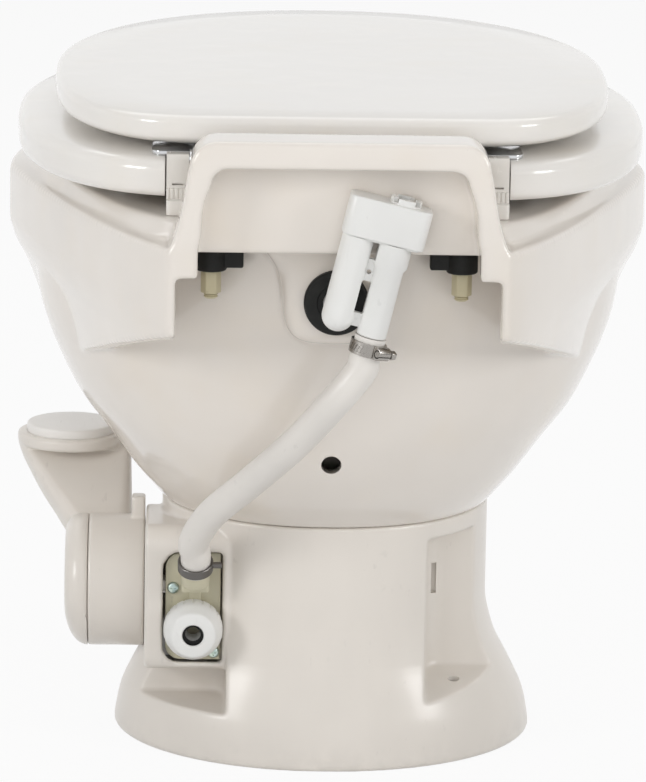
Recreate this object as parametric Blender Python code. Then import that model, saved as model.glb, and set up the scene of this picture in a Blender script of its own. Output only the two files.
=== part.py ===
"""Low-profile gravity-flush toilet for a recreational vehicle, in metres.

+Z is up, the front of the bowl faces -Y and the pedal is on the +X side.
The origin is under the middle of the bounding box, on the floor.
"""

import math

import bmesh
import bpy
from mathutils import Matrix, Vector

# Fits shared by every piece
GAP = 0.0003
RUN_GAP = 0.0005
OVERRUN = 0.004
EDGE_RADIUS = 0.0008

# Whole object: reach to the front and rear, and the outlet's place
FRONT_REACH = 0.244
REAR_REACH = 0.244
OUTLET_Y = 0.028
OUTLET_RADIUS = 0.027

# Pedestal base
BASE_HEIGHT = 0.142
BASE_DECK = 0.008
BASE_WALL = 0.004
NECK_HALF_WIDTH = 0.0965
NECK_HALF_DEPTH = 0.094
FOOT_HALF_WIDTH = 0.124
FOOT_HALF_DEPTH = 0.109
POCKET_INNER_X = 0.058
POCKET_BACK_Y = 0.040
POCKET_RIGHT_FLOOR = 0.052
POCKET_LEFT_FLOOR = 0.029
POCKET_HEADROOM = 0.011
POCKET_CORNER = 0.012
FLOOR_BOLT_RADIUS = 0.0035
FLOOR_BOLT_INSET = 0.018

# Flush chamber, ball, seals and shaft
BALL_RADIUS = 0.060
BALL_WALL = 0.004
BALL_AXIS_Z = 0.086
BALL_SPREAD = math.radians(33)
BALL_HUB_RADIUS = 0.023
BALL_HUB_X = 0.050
BALL_HUB_LENGTH = 0.0065
CHAMBER_RADIUS = 0.065
CHAMBER_WALL = 0.004
CHAMBER_FLOOR = 0.012
DRAIN_RADIUS = 0.045
DECK_HOLE_RADIUS = 0.0385
SEAL_OUTER_RADIUS = 0.0437
SEAL_TOP_RADIUS = 0.0284
SEAL_LOW_RADIUS = 0.0314
SEAL_HEIGHT = 0.0042
FLOOR_SEAL_WIDTH = 0.014
FLOOR_SEAL_HEIGHT = 0.006
SHAFT_RADIUS = 0.008
SHAFT_END_X = 0.1465
BUSH_WALL = 0.0025
BUSH_FLANGE_RADIUS = 0.0135
BUSH_FLANGE_THICK = 0.0025
IDLE_RADIUS = 0.005
IDLE_HEAD_RADIUS = 0.009
IDLE_HEAD_THICK = 0.003
FLUSH_ANGLE = math.radians(60)

# Cam on the shaft and the rod it pushes
CAM_RADIUS = 0.0175
CAM_LIFT = 0.004
CAM_X = 0.077
CAM_WIDTH = 0.010
ROD_RADIUS = 0.0032
ROD_TAIL = 0.008

# Valve housing on the pedestal
HOUSING_INNER_X = 0.0575
HOUSING_OUTER_X = 0.1060
HOUSING_REAR_Y = 0.106
HOUSING_DRUM_RADIUS = 0.045
HOUSING_TOP_Z = 0.1365
HOUSING_BOTTOM_Z = 0.051
HOUSING_CORNER = 0.013
HOUSING_FOOT_CORNER = 0.009
HOUSING_WALL = 0.0035
MOUTH_LEFT_X = 0.0950
MOUTH_RIGHT_X = 0.0605
MOUTH_TOP_Z = 0.1225
MOUTH_BOTTOM_Z = 0.0560
MOUTH_CORNER = 0.010

# Water valve, its inlet, screws and hose barb
VALVE_PLATE_INSET = 0.0012
VALVE_PLATE_THICK = 0.003
VALVE_PLATE_RECESS = 0.005
VALVE_RIB_WIDTH = 0.007
VALVE_RIB_DEPTH = 0.003
VALVE_GUIDE_RADIUS = 0.007
VALVE_GUIDE_LENGTH = 0.016
INLET_X = 0.0775
INLET_Z = 0.0784
INLET_SOCKET_RADIUS = 0.0115
INLET_SOCKET_LENGTH = 0.005
INLET_TUBE_RADIUS = 0.0085
INLET_BORE_RADIUS = 0.0045
INLET_TUBE_LENGTH = 0.0145
INLET_COLLAR_RADIUS = 0.0105
INLET_COLLAR_THICK = 0.003
COUPLING_RADIUS = 0.0172
COUPLING_END_RADIUS = 0.0135
COUPLING_MOUTH_RADIUS = 0.0062
COUPLING_LENGTH = 0.0195
COUPLING_WALL = 0.003
COUPLING_SETBACK = 0.0012
WASHER_THICK = 0.0022
SCREW_HEAD_RADIUS = 0.0034
SCREW_HEAD_HEIGHT = 0.0022
SCREW_SHANK_RADIUS = 0.0017
SCREW_LENGTH = 0.010
SCREW_UPPER_X = 0.0893
SCREW_UPPER_Z = 0.1005
SCREW_LOWER_X = 0.0655
SCREW_LOWER_Z = 0.0620
BARB_RADIUS = 0.0054
BARB_LENGTH = 0.013
BARB_BORE_RADIUS = 0.0035
BARB_BLOCK = 0.016

# Hose and its clamps
HOSE_RADIUS = 0.0088
HOSE_BORE_RADIUS = 0.0062
HOSE_END_X = 0.0765
HOSE_END_Y = 0.1175
HOSE_END_Z = 0.1150
HOSE_END_LEAN = math.radians(28)
CLAMP_BAND_THICK = 0.0010
CLAMP_BAND_WIDTH = 0.0075
CLAMP_SETBACK = 0.003
CLAMP_BLOCK_LENGTH = 0.009
CLAMP_BLOCK_DEPTH = 0.0055
CLAMP_TURN = math.radians(20)
CLAMP_SCREW_RADIUS = 0.0028
CLAMP_SCREW_LENGTH = 0.013
SPRING_CLAMP_WIDTH = 0.006
SPRING_CLAMP_THICK = 0.0012
SPRING_EAR_LENGTH = 0.006
SPRING_EAR_WIDTH = 0.004

# Vacuum breaker
BREAKER_SETBACK = 0.0135
BREAKER_Z = 0.2905
BREAKER_LEAN = math.radians(13.5)
BREAKER_PITCH = 0.0205
LEG_RADIUS = 0.0090
LEG_BORE_RADIUS = 0.0058
LEG_COLLAR_RADIUS = 0.0098
LEG_COLLAR_LENGTH = 0.012
OUTLET_LEG_RADIUS = 0.0083
BREAKER_HEIGHT = 0.046
BREAKER_DROP = 0.007
FLANGE_THICK = 0.004
CAP_WIDTH = 0.046
CAP_DEPTH = 0.0205
CAP_HEIGHT = 0.0225
CAP_OVERHANG = 0.010
CAP_WALL = 0.002
VENT_COUNT = 4
VENT_HEIGHT = 0.0035
VENT_RADIUS = 0.0082
FLOAT_RADIUS = 0.0064
FLOAT_HEIGHT = 0.004
WEB_THICK = 0.004
WEB_SLOT_WIDTH = 0.0052
WEB_SLOT_LENGTH = 0.0185
WEB_DOT_RADIUS = 0.0013
SPOUT_RADIUS = 0.0075
SPOUT_BORE_RADIUS = 0.0050
SPOUT_LENGTH = 0.046

# Bowl: heights, rim, walls and rear ledge
BOWL_HEIGHT = 0.186
RIM_HALF_WIDTH = 0.190
RIM_SETBACK = 0.004
CROWN_RISE = 0.010
DECK_THICK = 0.016
APRON_WALL = 0.013
SHELL_WALL = 0.011
BODY_SETBACK = 0.057
BASIN_WALL = 0.010
BASIN_HALF_WIDTH = 0.126
BASIN_FRONT = 0.200
BASIN_SETBACK = 0.040
APRON_REAR_DROP = 0.050
APRON_SLOPE = 0.275
APRON_HALF_GAP = 0.0895
LEDGE_RISE = 0.060
LEDGE_DEPTH = 0.034
LEDGE_WALL = 0.010
LEDGE_HALF_FOOT = 0.093
LEDGE_HALF_TOP = 0.082
LEDGE_CORNER = 0.015
LEDGE_FRAME = 0.0115
LEDGE_ROUND = 0.0035
BOSS_HALF_WIDTH = 0.036
BOSS_HALF_HEIGHT = 0.024
BOSS_DEPTH = 0.030
BOSS_RISE = 0.009
INLET_HOLE_RADIUS = 0.0140
DUCT_RADIUS = 0.019
WEEP_RADIUS = 0.0058
WEEP_Z = 0.187
GROMMET_RADIUS = 0.0182
GROMMET_FLANGE = 0.0045
GROMMET_NECK = 0.020

# Seat and lid
SEAT_LIFT = 0.012
SEAT_THICK = 0.018
SEAT_HALF_WIDTH = 0.184
SEAT_TAIL = 0.0065
SEAT_ROUND = 0.006
SEAT_HOLE_HALF_WIDTH = 0.104
SEAT_HOLE_FRONT = 0.172
SEAT_HOLE_SETBACK = 0.039
LID_GAP = 0.007
LID_THICK = 0.0165
LID_HALF_WIDTH = 0.162
LID_FRONT = 0.237
LID_TAIL = 0.012
LID_ROUND = 0.008
LID_CROWN = 0.0008
SEAT_BUMPER_RADIUS = 0.009
LID_BUMPER_RADIUS = 0.008

# Seat hinges
HINGE_SETBACK = 0.030
HINGE_DROP = 0.001
BOLT_SPACING = 0.1397
BOLT_SETBACK = 0.009
KNUCKLE_RADIUS = 0.006
PIN_RADIUS = 0.0025
LEAF_THICK = 0.0022
LEAF_REACH = 0.040
LEAF_WIDTH = 0.0095
POST_WIDTH = 0.0110
POST_BASE_HEIGHT = 0.008
POST_BASE_FRONT = 0.013
POST_BASE_REAR = 0.016
NOTCH_FRONT = 0.014
NOTCH_MARGIN = 0.0025
BOLT_RADIUS = 0.0040
BOLT_HEAD_RADIUS = 0.0070
BOLT_HEAD_HEIGHT = 0.0040
BUSHING_RADIUS = 0.0078
BUSHING_HEIGHT = 0.0130
BUSHING_TAB_LENGTH = 0.0180
BUSHING_TAB_WIDTH = 0.0090
BUSHING_TAB_THICK = 0.0070
NUT_RADIUS = 0.0058
NUT_HEIGHT = 0.0090
BOLT_TAIL = 0.0030

# Pedal
DRUM_RADIUS = 0.0392
DRUM_INNER_X = 0.1066
DRUM_OUTER_X = 0.1400
DRUM_WALL = 0.0035
DRUM_WEB = 0.0060
CAP_DOME = 0.0135
CAP_EDGE = 0.010
CARTRIDGE_RADIUS = 0.030
CARTRIDGE_BORE = 0.012
PAD_X = 0.1530
PAD_FORWARD = 0.086
PAD_TOP_RISE = 0.0765
PAD_RADIUS = 0.0270
PAD_THICK = 0.0075
TRAY_RADIUS = 0.0325
TRAY_THICK = 0.0075
ARM_ROOT_THICK = 0.030
ARM_TIP_THICK = 0.012
TAB_WIDTH = 0.0070
TAB_HEIGHT = 0.0100
TAB_DEPTH = 0.012

# Levels worked out from the sizes above
BOWL_FLOOR_Z = BASE_HEIGHT + GAP
RIM_EDGE_Z = BASE_HEIGHT + BOWL_HEIGHT
CROWN_Z = RIM_EDGE_Z + CROWN_RISE
DECK_UNDER_Z = CROWN_Z - DECK_THICK
SEAT_LOW_Z = CROWN_Z + SEAT_LIFT
SEAT_TOP_Z = SEAT_LOW_Z + SEAT_THICK
LID_LOW_Z = SEAT_TOP_Z + LID_GAP
LID_TOP_Z = LID_LOW_Z + LID_THICK
LEDGE_TOP_Z = RIM_EDGE_Z + LEDGE_RISE
LEDGE_FRONT_Y = REAR_REACH - LEDGE_DEPTH
BODY_REAR = REAR_REACH - BODY_SETBACK
BASIN_REAR = BODY_REAR - BASIN_SETBACK
BOSS_FACE_Y = BODY_REAR + BOSS_RISE
HINGE_Y = LEDGE_FRONT_Y - HINGE_SETBACK
BOLT_Y = HINGE_Y + BOLT_SETBACK
SEAT_REAR = HINGE_Y + SEAT_TAIL
SEAT_HOLE_REAR = BASIN_REAR - SEAT_HOLE_SETBACK
LID_REAR = HINGE_Y + LID_TAIL
BREAKER_Y = REAR_REACH - BREAKER_SETBACK
HINGE_Z = SEAT_TOP_Z - HINGE_DROP
BALL_CENTRE = Vector((0, OUTLET_Y, BALL_AXIS_Z))
HINGE_CENTRE = Vector((0, HINGE_Y, HINGE_Z))
BREAKER_CENTRE = Vector((0, BREAKER_Y, BREAKER_Z))

# Colours as they read in daylight, then roughness and metallic
CHINA = ((0.865, 0.835, 0.805), 0.12, 0.0)
ENAMEL = ((0.895, 0.875, 0.850), 0.15, 0.0)
SHELL_PLASTIC = ((0.850, 0.825, 0.790), 0.30, 0.0)
PAD_PLASTIC = ((0.840, 0.815, 0.785), 0.38, 0.0)
WHITE_PLASTIC = ((0.910, 0.910, 0.900), 0.28, 0.0)
HOSE_VINYL = ((0.855, 0.840, 0.815), 0.30, 0.0)
BLACK_RUBBER = ((0.165, 0.165, 0.158), 0.65, 0.0)
NATURAL_PLASTIC = ((0.660, 0.625, 0.500), 0.40, 0.0)
NYLON = ((0.740, 0.685, 0.480), 0.42, 0.0)
CHROME = ((0.780, 0.780, 0.770), 0.10, 1.0)
STAINLESS = ((0.600, 0.580, 0.560), 0.30, 1.0)
ZINC = ((0.750, 0.815, 0.800), 0.35, 1.0)
BEARING_PLASTIC = ((0.250, 0.250, 0.255), 0.50, 0.0)
BALL_PLASTIC = ((0.820, 0.800, 0.760), 0.22, 0.0)

CURVE_STEPS = 8
ROUND_STEPS = 28
SMALL_STEPS = 16
SMOOTH_ANGLE = math.radians(35)


# Scene helpers

def clear_scene():
    """Remove the objects that the scene starts with."""
    for thing in list(bpy.data.objects):
        bpy.data.objects.remove(thing, do_unlink=True)


def finish(name, look):
    """A Principled material in the given colour, roughness and metallic value."""
    colour, roughness, metallic = look
    result = bpy.data.materials.new(name)
    result.use_nodes = True
    shader = result.node_tree.nodes["Principled BSDF"]
    linear = [channel ** 2.2 for channel in colour]
    shader.inputs["Base Color"].default_value = (*linear, 1.0)
    shader.inputs["Roughness"].default_value = roughness
    shader.inputs["Metallic"].default_value = metallic
    return result


def axis_frame(name, place, lean=0.0):
    """An empty on a joint's axis, or one that leans its pieces about Y."""
    frame = bpy.data.objects.new(name, None)
    frame.location = place
    frame.rotation_euler = (0, -lean, 0)
    bpy.context.scene.collection.objects.link(frame)
    return frame


def piece(name, mesh, look, frame=None, local=False):
    """A finished piece; a mesh made in world places is carried by its frame."""
    thing = bpy.data.objects.new(name, mesh)
    bpy.context.scene.collection.objects.link(thing)
    mesh.materials.append(finish(name, look))
    if frame is not None:
        if not local:
            mesh.transform(Matrix.Translation(-frame.location))
        thing.parent = frame
    return thing


def helper(name, mesh, frame=None):
    """A shape that only cuts or joins, left out of the render."""
    thing = bpy.data.objects.new(name, mesh)
    bpy.context.scene.collection.objects.link(thing)
    thing.display_type = "WIRE"
    thing.hide_render = True
    if frame is not None:
        thing.parent = frame
    return thing


def cut(thing, *tools):
    """Take each tool's shape out of a piece."""
    for tool in tools:
        change = thing.modifiers.new("cut " + tool.name, "BOOLEAN")
        change.operation = "DIFFERENCE"
        change.solver = "EXACT"
        change.object = tool


def fuse(thing, *tools):
    """Add each tool's shape to a piece."""
    for tool in tools:
        change = thing.modifiers.new("fuse " + tool.name, "BOOLEAN")
        change.operation = "UNION"
        change.solver = "EXACT"
        change.object = tool


def soften(thing, width, segments=2):
    """Round the sharp edges of a piece."""
    change = thing.modifiers.new("soften", "BEVEL")
    change.width = width
    change.segments = segments
    change.limit_method = "ANGLE"
    change.angle_limit = SMOOTH_ANGLE


# Mesh helpers

def link_rows(shape, low, high):
    """Faces between two rows of points; a row of one point is a tip."""
    count = max(len(low), len(high))
    for index in range(count):
        following = (index + 1) % count
        corners = [low[index % len(low)], low[following % len(low)]]
        corners += [high[following % len(high)], high[index % len(high)]]
        unique = list(dict.fromkeys(corners))
        shape.faces.new(unique)


def skin(name, rings, wrap=False):
    """A closed mesh through rings of points, capped or joined end to end."""
    shape = bmesh.new()
    rows = [[shape.verts.new(point) for point in ring] for ring in rings]
    for low, high in zip(rows, rows[1:]):
        link_rows(shape, low, high)
    if wrap:
        link_rows(shape, rows[-1], rows[0])
    else:
        for row in (rows[0], rows[-1]):
            if len(row) > 1:
                shape.faces.new(row)
    bmesh.ops.recalc_face_normals(shape, faces=shape.faces)
    mesh = bpy.data.meshes.new(name)
    shape.to_mesh(mesh)
    shape.free()
    mesh.shade_smooth()
    mesh.set_sharp_from_angle(angle=SMOOTH_ANGLE)
    return mesh


def side_axes(axis):
    """Two unit vectors square to an axis and to each other."""
    axis = Vector(axis).normalized()
    start = Vector((0, 0, 1)) if abs(axis.z) < 0.9 else Vector((1, 0, 0))
    first = start.cross(axis).normalized()
    return first, axis.cross(first)


def circle(centre, radius, axis, steps):
    """Points of a circle about an axis; no radius gives its centre alone."""
    if radius == 0:
        return [Vector(centre)]
    first, second = side_axes(axis)
    ring = []
    for step in range(steps):
        turn = 2 * math.pi * step / steps
        ring.append(Vector(centre) + radius * (math.cos(turn) * first + math.sin(turn) * second))
    return ring


def turned(name, profile, centre, axis, steps=ROUND_STEPS, wrap=False):
    """A turned shape from (radius, height) points along an axis."""
    axis = Vector(axis).normalized()
    rings = [circle(Vector(centre) + axis * height, radius, axis, steps) for radius, height in profile]
    return skin(name, rings, wrap)


def rod(name, radius, start, end, steps=ROUND_STEPS):
    """A plain round bar between two points."""
    axis = Vector(end) - Vector(start)
    return turned(name, [(radius, 0), (radius, axis.length)], start, axis, steps)


def ring_bar(name, inner, outer, start, end, steps=ROUND_STEPS):
    """A round bar with a bore right through."""
    axis = Vector(end) - Vector(start)
    profile = [(inner, 0), (outer, 0), (outer, axis.length), (inner, axis.length)]
    return turned(name, profile, start, axis, steps, wrap=True)


def prism(name, outline, axis, low, high):
    """An outline in the plane square to X, Y or Z, drawn from low to high."""
    places = {
        "X": lambda a, b, level: Vector((level, a, b)),
        "Y": lambda a, b, level: Vector((a, level, b)),
        "Z": lambda a, b, level: Vector((a, b, level)),
    }
    rings = [[places[axis](a, b, level) for a, b in outline] for level in (low, high)]
    return skin(name, rings)


def block(name, low, high):
    """A box between two opposite corners."""
    outline = [(low[0], low[1]), (high[0], low[1]), (high[0], high[1]), (low[0], high[1])]
    return prism(name, outline, "Z", low[2], high[2])


def arc(centre, radius, start, end, steps):
    """Points along an arc in a plane, from one angle to another."""
    points = []
    for step in range(steps + 1):
        turn = start + (end - start) * step / steps
        points.append((centre[0] + radius * math.cos(turn), centre[1] + radius * math.sin(turn)))
    return points


def rounded_outline(low, high, radii, steps=4):
    """A rectangle whose corners are rounded, given from low-low round to low-high."""
    corners = [(low[0], low[1], 1, 1), (high[0], low[1], -1, 1)]
    corners += [(high[0], high[1], -1, -1), (low[0], high[1], 1, -1)]
    outline = []
    for index, (a, b, way_a, way_b) in enumerate(corners):
        radius = radii[index]
        if radius == 0:
            outline.append((a, b))
            continue
        start = math.pi + index * math.pi / 2
        centre = (a + way_a * radius, b + way_b * radius)
        outline += arc(centre, radius, start, start + math.pi / 2, steps)
    return outline


# Egg-shaped plans of the bowl, seat and lid

def mix(low, high, share):
    """The value a share of the way from low to high."""
    return low + (high - low) * share


def power_arc(power, step, steps):
    """Shares along and across for a rounded quarter of the given power."""
    turn = math.pi / 2 * step / steps
    across = max(math.cos(turn), 0) ** (2 / power)
    along = max(math.sin(turn), 0) ** (2 / power)
    return (1, 0) if step == 0 else (0, 1) if step == steps else (across, along)


def egg(half_width, front, rear, wide_y, flat, front_power, rear_power, steps=CURVE_STEPS):
    """Plan outline: round front, widest at wide_y, drawn in to a flat rear."""
    right = []
    for step in range(steps, -1, -1):
        across, along = power_arc(rear_power, step, steps)
        right.append((mix(flat, half_width, across), mix(wide_y, rear, along)))
    for step in range(1, steps + 1):
        across, along = power_arc(front_power, step, steps)
        right.append((half_width * across, mix(wide_y, front, along)))
    left = [(-x, y) for x, y in reversed(right[:-1])]
    return right + left


def level(outline, height):
    """A plan outline lifted to a height."""
    return [Vector((x, y, height)) for x, y in outline]


# Pedestal base

foot_level_shares = (0, 0.014, 0.085, 0.140, 0.185, 0.225, 0.30, 0.42, 0.60, 1.0)
foot_spread_shares = (0.93, 1.0, 0.95, 0.83, 0.68, 0.52, 0.34, 0.16, 0.06, 0)


def pedestal_rings(inset, low_z, high_z):
    """Rings of the pedestal's surface, drawn in by a wall and cut off by height."""
    rings = []
    for level_share, spread in zip(foot_level_shares, foot_spread_shares):
        height = min(max(BASE_HEIGHT * level_share, low_z), high_z)
        half_width = mix(NECK_HALF_WIDTH, FOOT_HALF_WIDTH, spread) - inset
        half_depth = mix(NECK_HALF_DEPTH, FOOT_HALF_DEPTH, spread) - inset
        outline = egg(half_width, OUTLET_Y - half_depth, OUTLET_Y + half_depth, OUTLET_Y, 0.02 * half_width,
                      2, 2)
        rings.append(level(outline, height))
    return rings


def housing_outline(inset):
    """Side outline of the valve housing: a drum in front, a box behind."""
    radius = HOUSING_DRUM_RADIUS - inset
    corner = HOUSING_CORNER - inset
    foot = HOUSING_FOOT_CORNER - inset
    rear = HOUSING_REAR_Y - inset
    top = HOUSING_TOP_Z - inset
    bottom = HOUSING_BOTTOM_Z + inset
    outline = arc((OUTLET_Y, BALL_AXIS_Z), radius, math.pi / 2, 3 * math.pi / 2, 14)
    outline += arc((rear - foot, bottom + foot), foot, -math.pi / 2, 0, 4)
    outline += arc((rear - corner, top - corner), corner, 0, math.pi / 2, 4)
    return outline


def pocket(name, side, floor, grow):
    """Cutter for the fastening pocket at one rear corner of the pedestal."""
    inner = POCKET_INNER_X - grow
    back = POCKET_BACK_Y + OUTLET_Y - grow
    outer = FOOT_HALF_WIDTH + OVERRUN
    rear = OUTLET_Y + FOOT_HALF_DEPTH + OVERRUN
    outline = rounded_outline((inner, back), (outer, rear), (POCKET_CORNER, 0, 0, 0))
    outline = [(side * x, y) for x, y in outline]
    top = BASE_HEIGHT - POCKET_HEADROOM + grow
    return helper(name, prism(name, outline, "Z", floor - grow, top))


def make_base():
    """Moulded pedestal, open below, with its flush chamber and valve housing."""
    base = piece("base_pedestal", skin("base_pedestal", pedestal_rings(0, 0, BASE_HEIGHT)), SHELL_PLASTIC)
    left = pocket("left pocket", 1, POCKET_LEFT_FLOOR, 0)
    right = pocket("right pocket", -1, POCKET_RIGHT_FLOOR, 0)
    cut(base, left, right)
    shape = prism("housing", housing_outline(0), "X", HOUSING_INNER_X, HOUSING_OUTER_X)
    fuse(base, helper("housing", shape))
    cut(base, dry_space())
    inner = housing_outline(HOUSING_WALL)
    room = prism("housing room", inner, "X", HOUSING_INNER_X + HOUSING_WALL, HOUSING_OUTER_X - HOUSING_WALL)
    cut(base, helper("housing room", room))
    fuse(base, chamber_wall())
    cut(base, chamber_room(), deck_hole(), floor_seal_groove())
    fuse(base,
         screw_boss("upper screw boss", SCREW_UPPER_X, SCREW_UPPER_Z, HOUSING_OUTER_X - HOUSING_WALL / 2))
    fuse(base,
         screw_boss("lower screw boss", SCREW_LOWER_X, SCREW_LOWER_Z, HOUSING_INNER_X + HOUSING_WALL / 2))
    cut(base, housing_mouth(), shaft_hole(), idle_hole())
    for name, x, z in (("upper screw hole", SCREW_UPPER_X, SCREW_UPPER_Z),
                       ("lower screw hole", SCREW_LOWER_X, SCREW_LOWER_Z)):
        start = Vector((x, valve_plate_front() - SCREW_LENGTH, z))
        end = Vector((x, HOUSING_REAR_Y, z))
        cut(base, helper(name, rod(name, SCREW_SHANK_RADIUS + GAP, start, end, SMALL_STEPS)))
    bolt_x = -(POCKET_INNER_X + FLOOR_BOLT_INSET)
    bolt_y = OUTLET_Y + POCKET_BACK_Y + FLOOR_BOLT_INSET
    hole = rod("floor bolt hole", FLOOR_BOLT_RADIUS, (bolt_x, bolt_y, -OVERRUN),
               (bolt_x, bolt_y, BASE_HEIGHT / 2), SMALL_STEPS)
    cut(base, helper("floor bolt hole", hole))
    return base


def dry_space():
    """Cutter for the hollow between the outer wall and the flush chamber."""
    top = BASE_HEIGHT - BASE_DECK
    rings = pedestal_rings(BASE_WALL, 0, top)
    rings[0] = [Vector((point.x, point.y, -OVERRUN)) for point in rings[0]]
    space = helper("dry space", skin("dry space", rings))
    for name, side, floor in (("left pocket wall", 1, POCKET_LEFT_FLOOR),
                              ("right pocket wall", -1, POCKET_RIGHT_FLOOR)):
        wall = pocket(name, side, floor, BASE_WALL)
        if side < 0:
            pillar = block(name + " pillar",
                           (-FOOT_HALF_WIDTH, POCKET_BACK_Y + OUTLET_Y - BASE_WALL, -2 * OVERRUN),
                           (-POCKET_INNER_X + BASE_WALL, FOOT_HALF_DEPTH + OUTLET_Y, POCKET_RIGHT_FLOOR))
            cut(space, helper(name + " pillar", pillar))
        cut(space, wall)
    return space


def chamber_wall():
    """The flush chamber's round wall from the floor up into the deck."""
    outer = CHAMBER_RADIUS + CHAMBER_WALL
    low = Vector((0, OUTLET_Y, 0))
    high = Vector((0, OUTLET_Y, BASE_HEIGHT - BASE_DECK / 2))
    return helper("chamber wall", rod("chamber wall", outer, low, high, 48))


def chamber_room():
    """Cutter for the room that the flush ball turns in, and its drain."""
    bottom = CHAMBER_FLOOR
    top = BASE_HEIGHT - BASE_DECK
    profile = [(0, -OVERRUN), (DRAIN_RADIUS, -OVERRUN), (DRAIN_RADIUS, bottom), (CHAMBER_RADIUS, bottom),
               (CHAMBER_RADIUS, top), (0, top)]
    return helper("chamber room", turned("chamber room", profile, (0, OUTLET_Y, 0), (0, 0, 1), 48))


def deck_hole():
    """Cutter for the deck's opening and the seal's seat above it."""
    seat = BASE_HEIGHT - SEAL_HEIGHT - GAP
    outer = SEAL_OUTER_RADIUS + GAP
    low = BASE_HEIGHT - BASE_DECK - OVERRUN
    profile = [(0, low), (DECK_HOLE_RADIUS, low), (DECK_HOLE_RADIUS, seat), (outer, seat),
               (outer, BASE_HEIGHT + OVERRUN), (0, BASE_HEIGHT + OVERRUN)]
    return helper("deck hole", turned("deck hole", profile, (0, OUTLET_Y, 0), (0, 0, 1), 40))


def floor_seal_groove():
    """Cutter for the seal's seat under the drain."""
    outer = DRAIN_RADIUS + FLOOR_SEAL_WIDTH + GAP
    profile = [(0, -OVERRUN), (outer, -OVERRUN), (outer, FLOOR_SEAL_HEIGHT + GAP),
               (0, FLOOR_SEAL_HEIGHT + GAP)]
    return helper("floor seal groove", turned("floor seal groove", profile, (0, OUTLET_Y, 0), (0, 0, 1), 40))


def valve_plate_front():
    """The forward face of the water valve's plate."""
    return HOUSING_REAR_Y - VALVE_PLATE_RECESS - VALVE_PLATE_THICK


def screw_boss(name, x, z, wall_x):
    """A square boss on the housing's wall that a valve screw bites into."""
    half = 2.2 * SCREW_SHANK_RADIUS
    rear = valve_plate_front() - GAP
    front = rear - SCREW_LENGTH - SCREW_SHANK_RADIUS
    low_x = min(x - half, wall_x)
    high_x = max(x + half, wall_x)
    return helper(name, block(name, (low_x, front, z - half), (high_x, rear, z + half)))


def housing_mouth():
    """Cutter for the rear opening that shows the water valve."""
    radii = (0, MOUTH_CORNER, MOUTH_CORNER, 0)
    outline = rounded_outline((MOUTH_RIGHT_X, MOUTH_BOTTOM_Z), (MOUTH_LEFT_X, MOUTH_TOP_Z), radii)
    front = HOUSING_REAR_Y - HOUSING_WALL - OVERRUN / 2
    return helper("housing mouth", prism("housing mouth", outline, "Y", front, HOUSING_REAR_Y + OVERRUN))


def shaft_hole():
    """Cutter for the bush in the chamber wall and the hole in the housing."""
    radius = SHAFT_RADIUS + GAP + BUSH_WALL + GAP
    start = Vector((CHAMBER_RADIUS - OVERRUN, OUTLET_Y, BALL_AXIS_Z))
    end = Vector((HOUSING_OUTER_X + OVERRUN, OUTLET_Y, BALL_AXIS_Z))
    return helper("shaft hole", rod("shaft hole", radius, start, end))


def idle_hole():
    """Cutter for the pivot pin's hole in the chamber wall."""
    start = Vector((-CHAMBER_RADIUS - CHAMBER_WALL - OVERRUN, OUTLET_Y, BALL_AXIS_Z))
    end = Vector((-CHAMBER_RADIUS + OVERRUN, OUTLET_Y, BALL_AXIS_Z))
    return helper("idle hole", rod("idle hole", IDLE_RADIUS + GAP, start, end))


def make_floor_seal():
    """Rubber ring pressed up round the drain."""
    inner = DRAIN_RADIUS + GAP
    outer = DRAIN_RADIUS + FLOOR_SEAL_WIDTH
    mesh = ring_bar("floor_seal", inner, outer, (0, OUTLET_Y, 0), (0, OUTLET_Y, FLOOR_SEAL_HEIGHT), 40)
    return piece("floor_seal", mesh, BLACK_RUBBER)


def make_ball_seal():
    """Rubber ring whose sloped bore wipes the flush ball."""
    low = BASE_HEIGHT - SEAL_HEIGHT
    profile = [(SEAL_LOW_RADIUS, 0), (SEAL_OUTER_RADIUS, 0), (SEAL_OUTER_RADIUS, SEAL_HEIGHT),
               (SEAL_TOP_RADIUS, SEAL_HEIGHT)]
    mesh = turned("ball_seal", profile, (0, OUTLET_Y, low), (0, 0, 1), 40, wrap=True)
    return piece("ball_seal", mesh, BLACK_RUBBER)


# Flush ball, shaft, cam and pedal, which turn together

def ball_band():
    """Part of a thin sphere that spans both poles and closes the outlet."""
    rings = []
    steps = 6
    reach = math.asin((BALL_HUB_RADIUS - BALL_WALL / 2) / BALL_RADIUS)
    for step in range(steps + 1):
        lean = mix(-BALL_SPREAD, BALL_SPREAD, step / steps)
        out = Vector((0, -math.sin(lean), math.cos(lean)))
        row = []
        for radius, order in ((BALL_RADIUS, range(13)), (BALL_RADIUS - BALL_WALL, range(12, -1, -1))):
            for index in order:
                turn = mix(reach, math.pi - reach, index / 12)
                row.append(BALL_CENTRE + radius * (Vector((math.cos(turn), 0, 0)) + math.sin(turn) * out))
        rings.append(row)
    return skin("flush_ball", rings)


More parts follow.
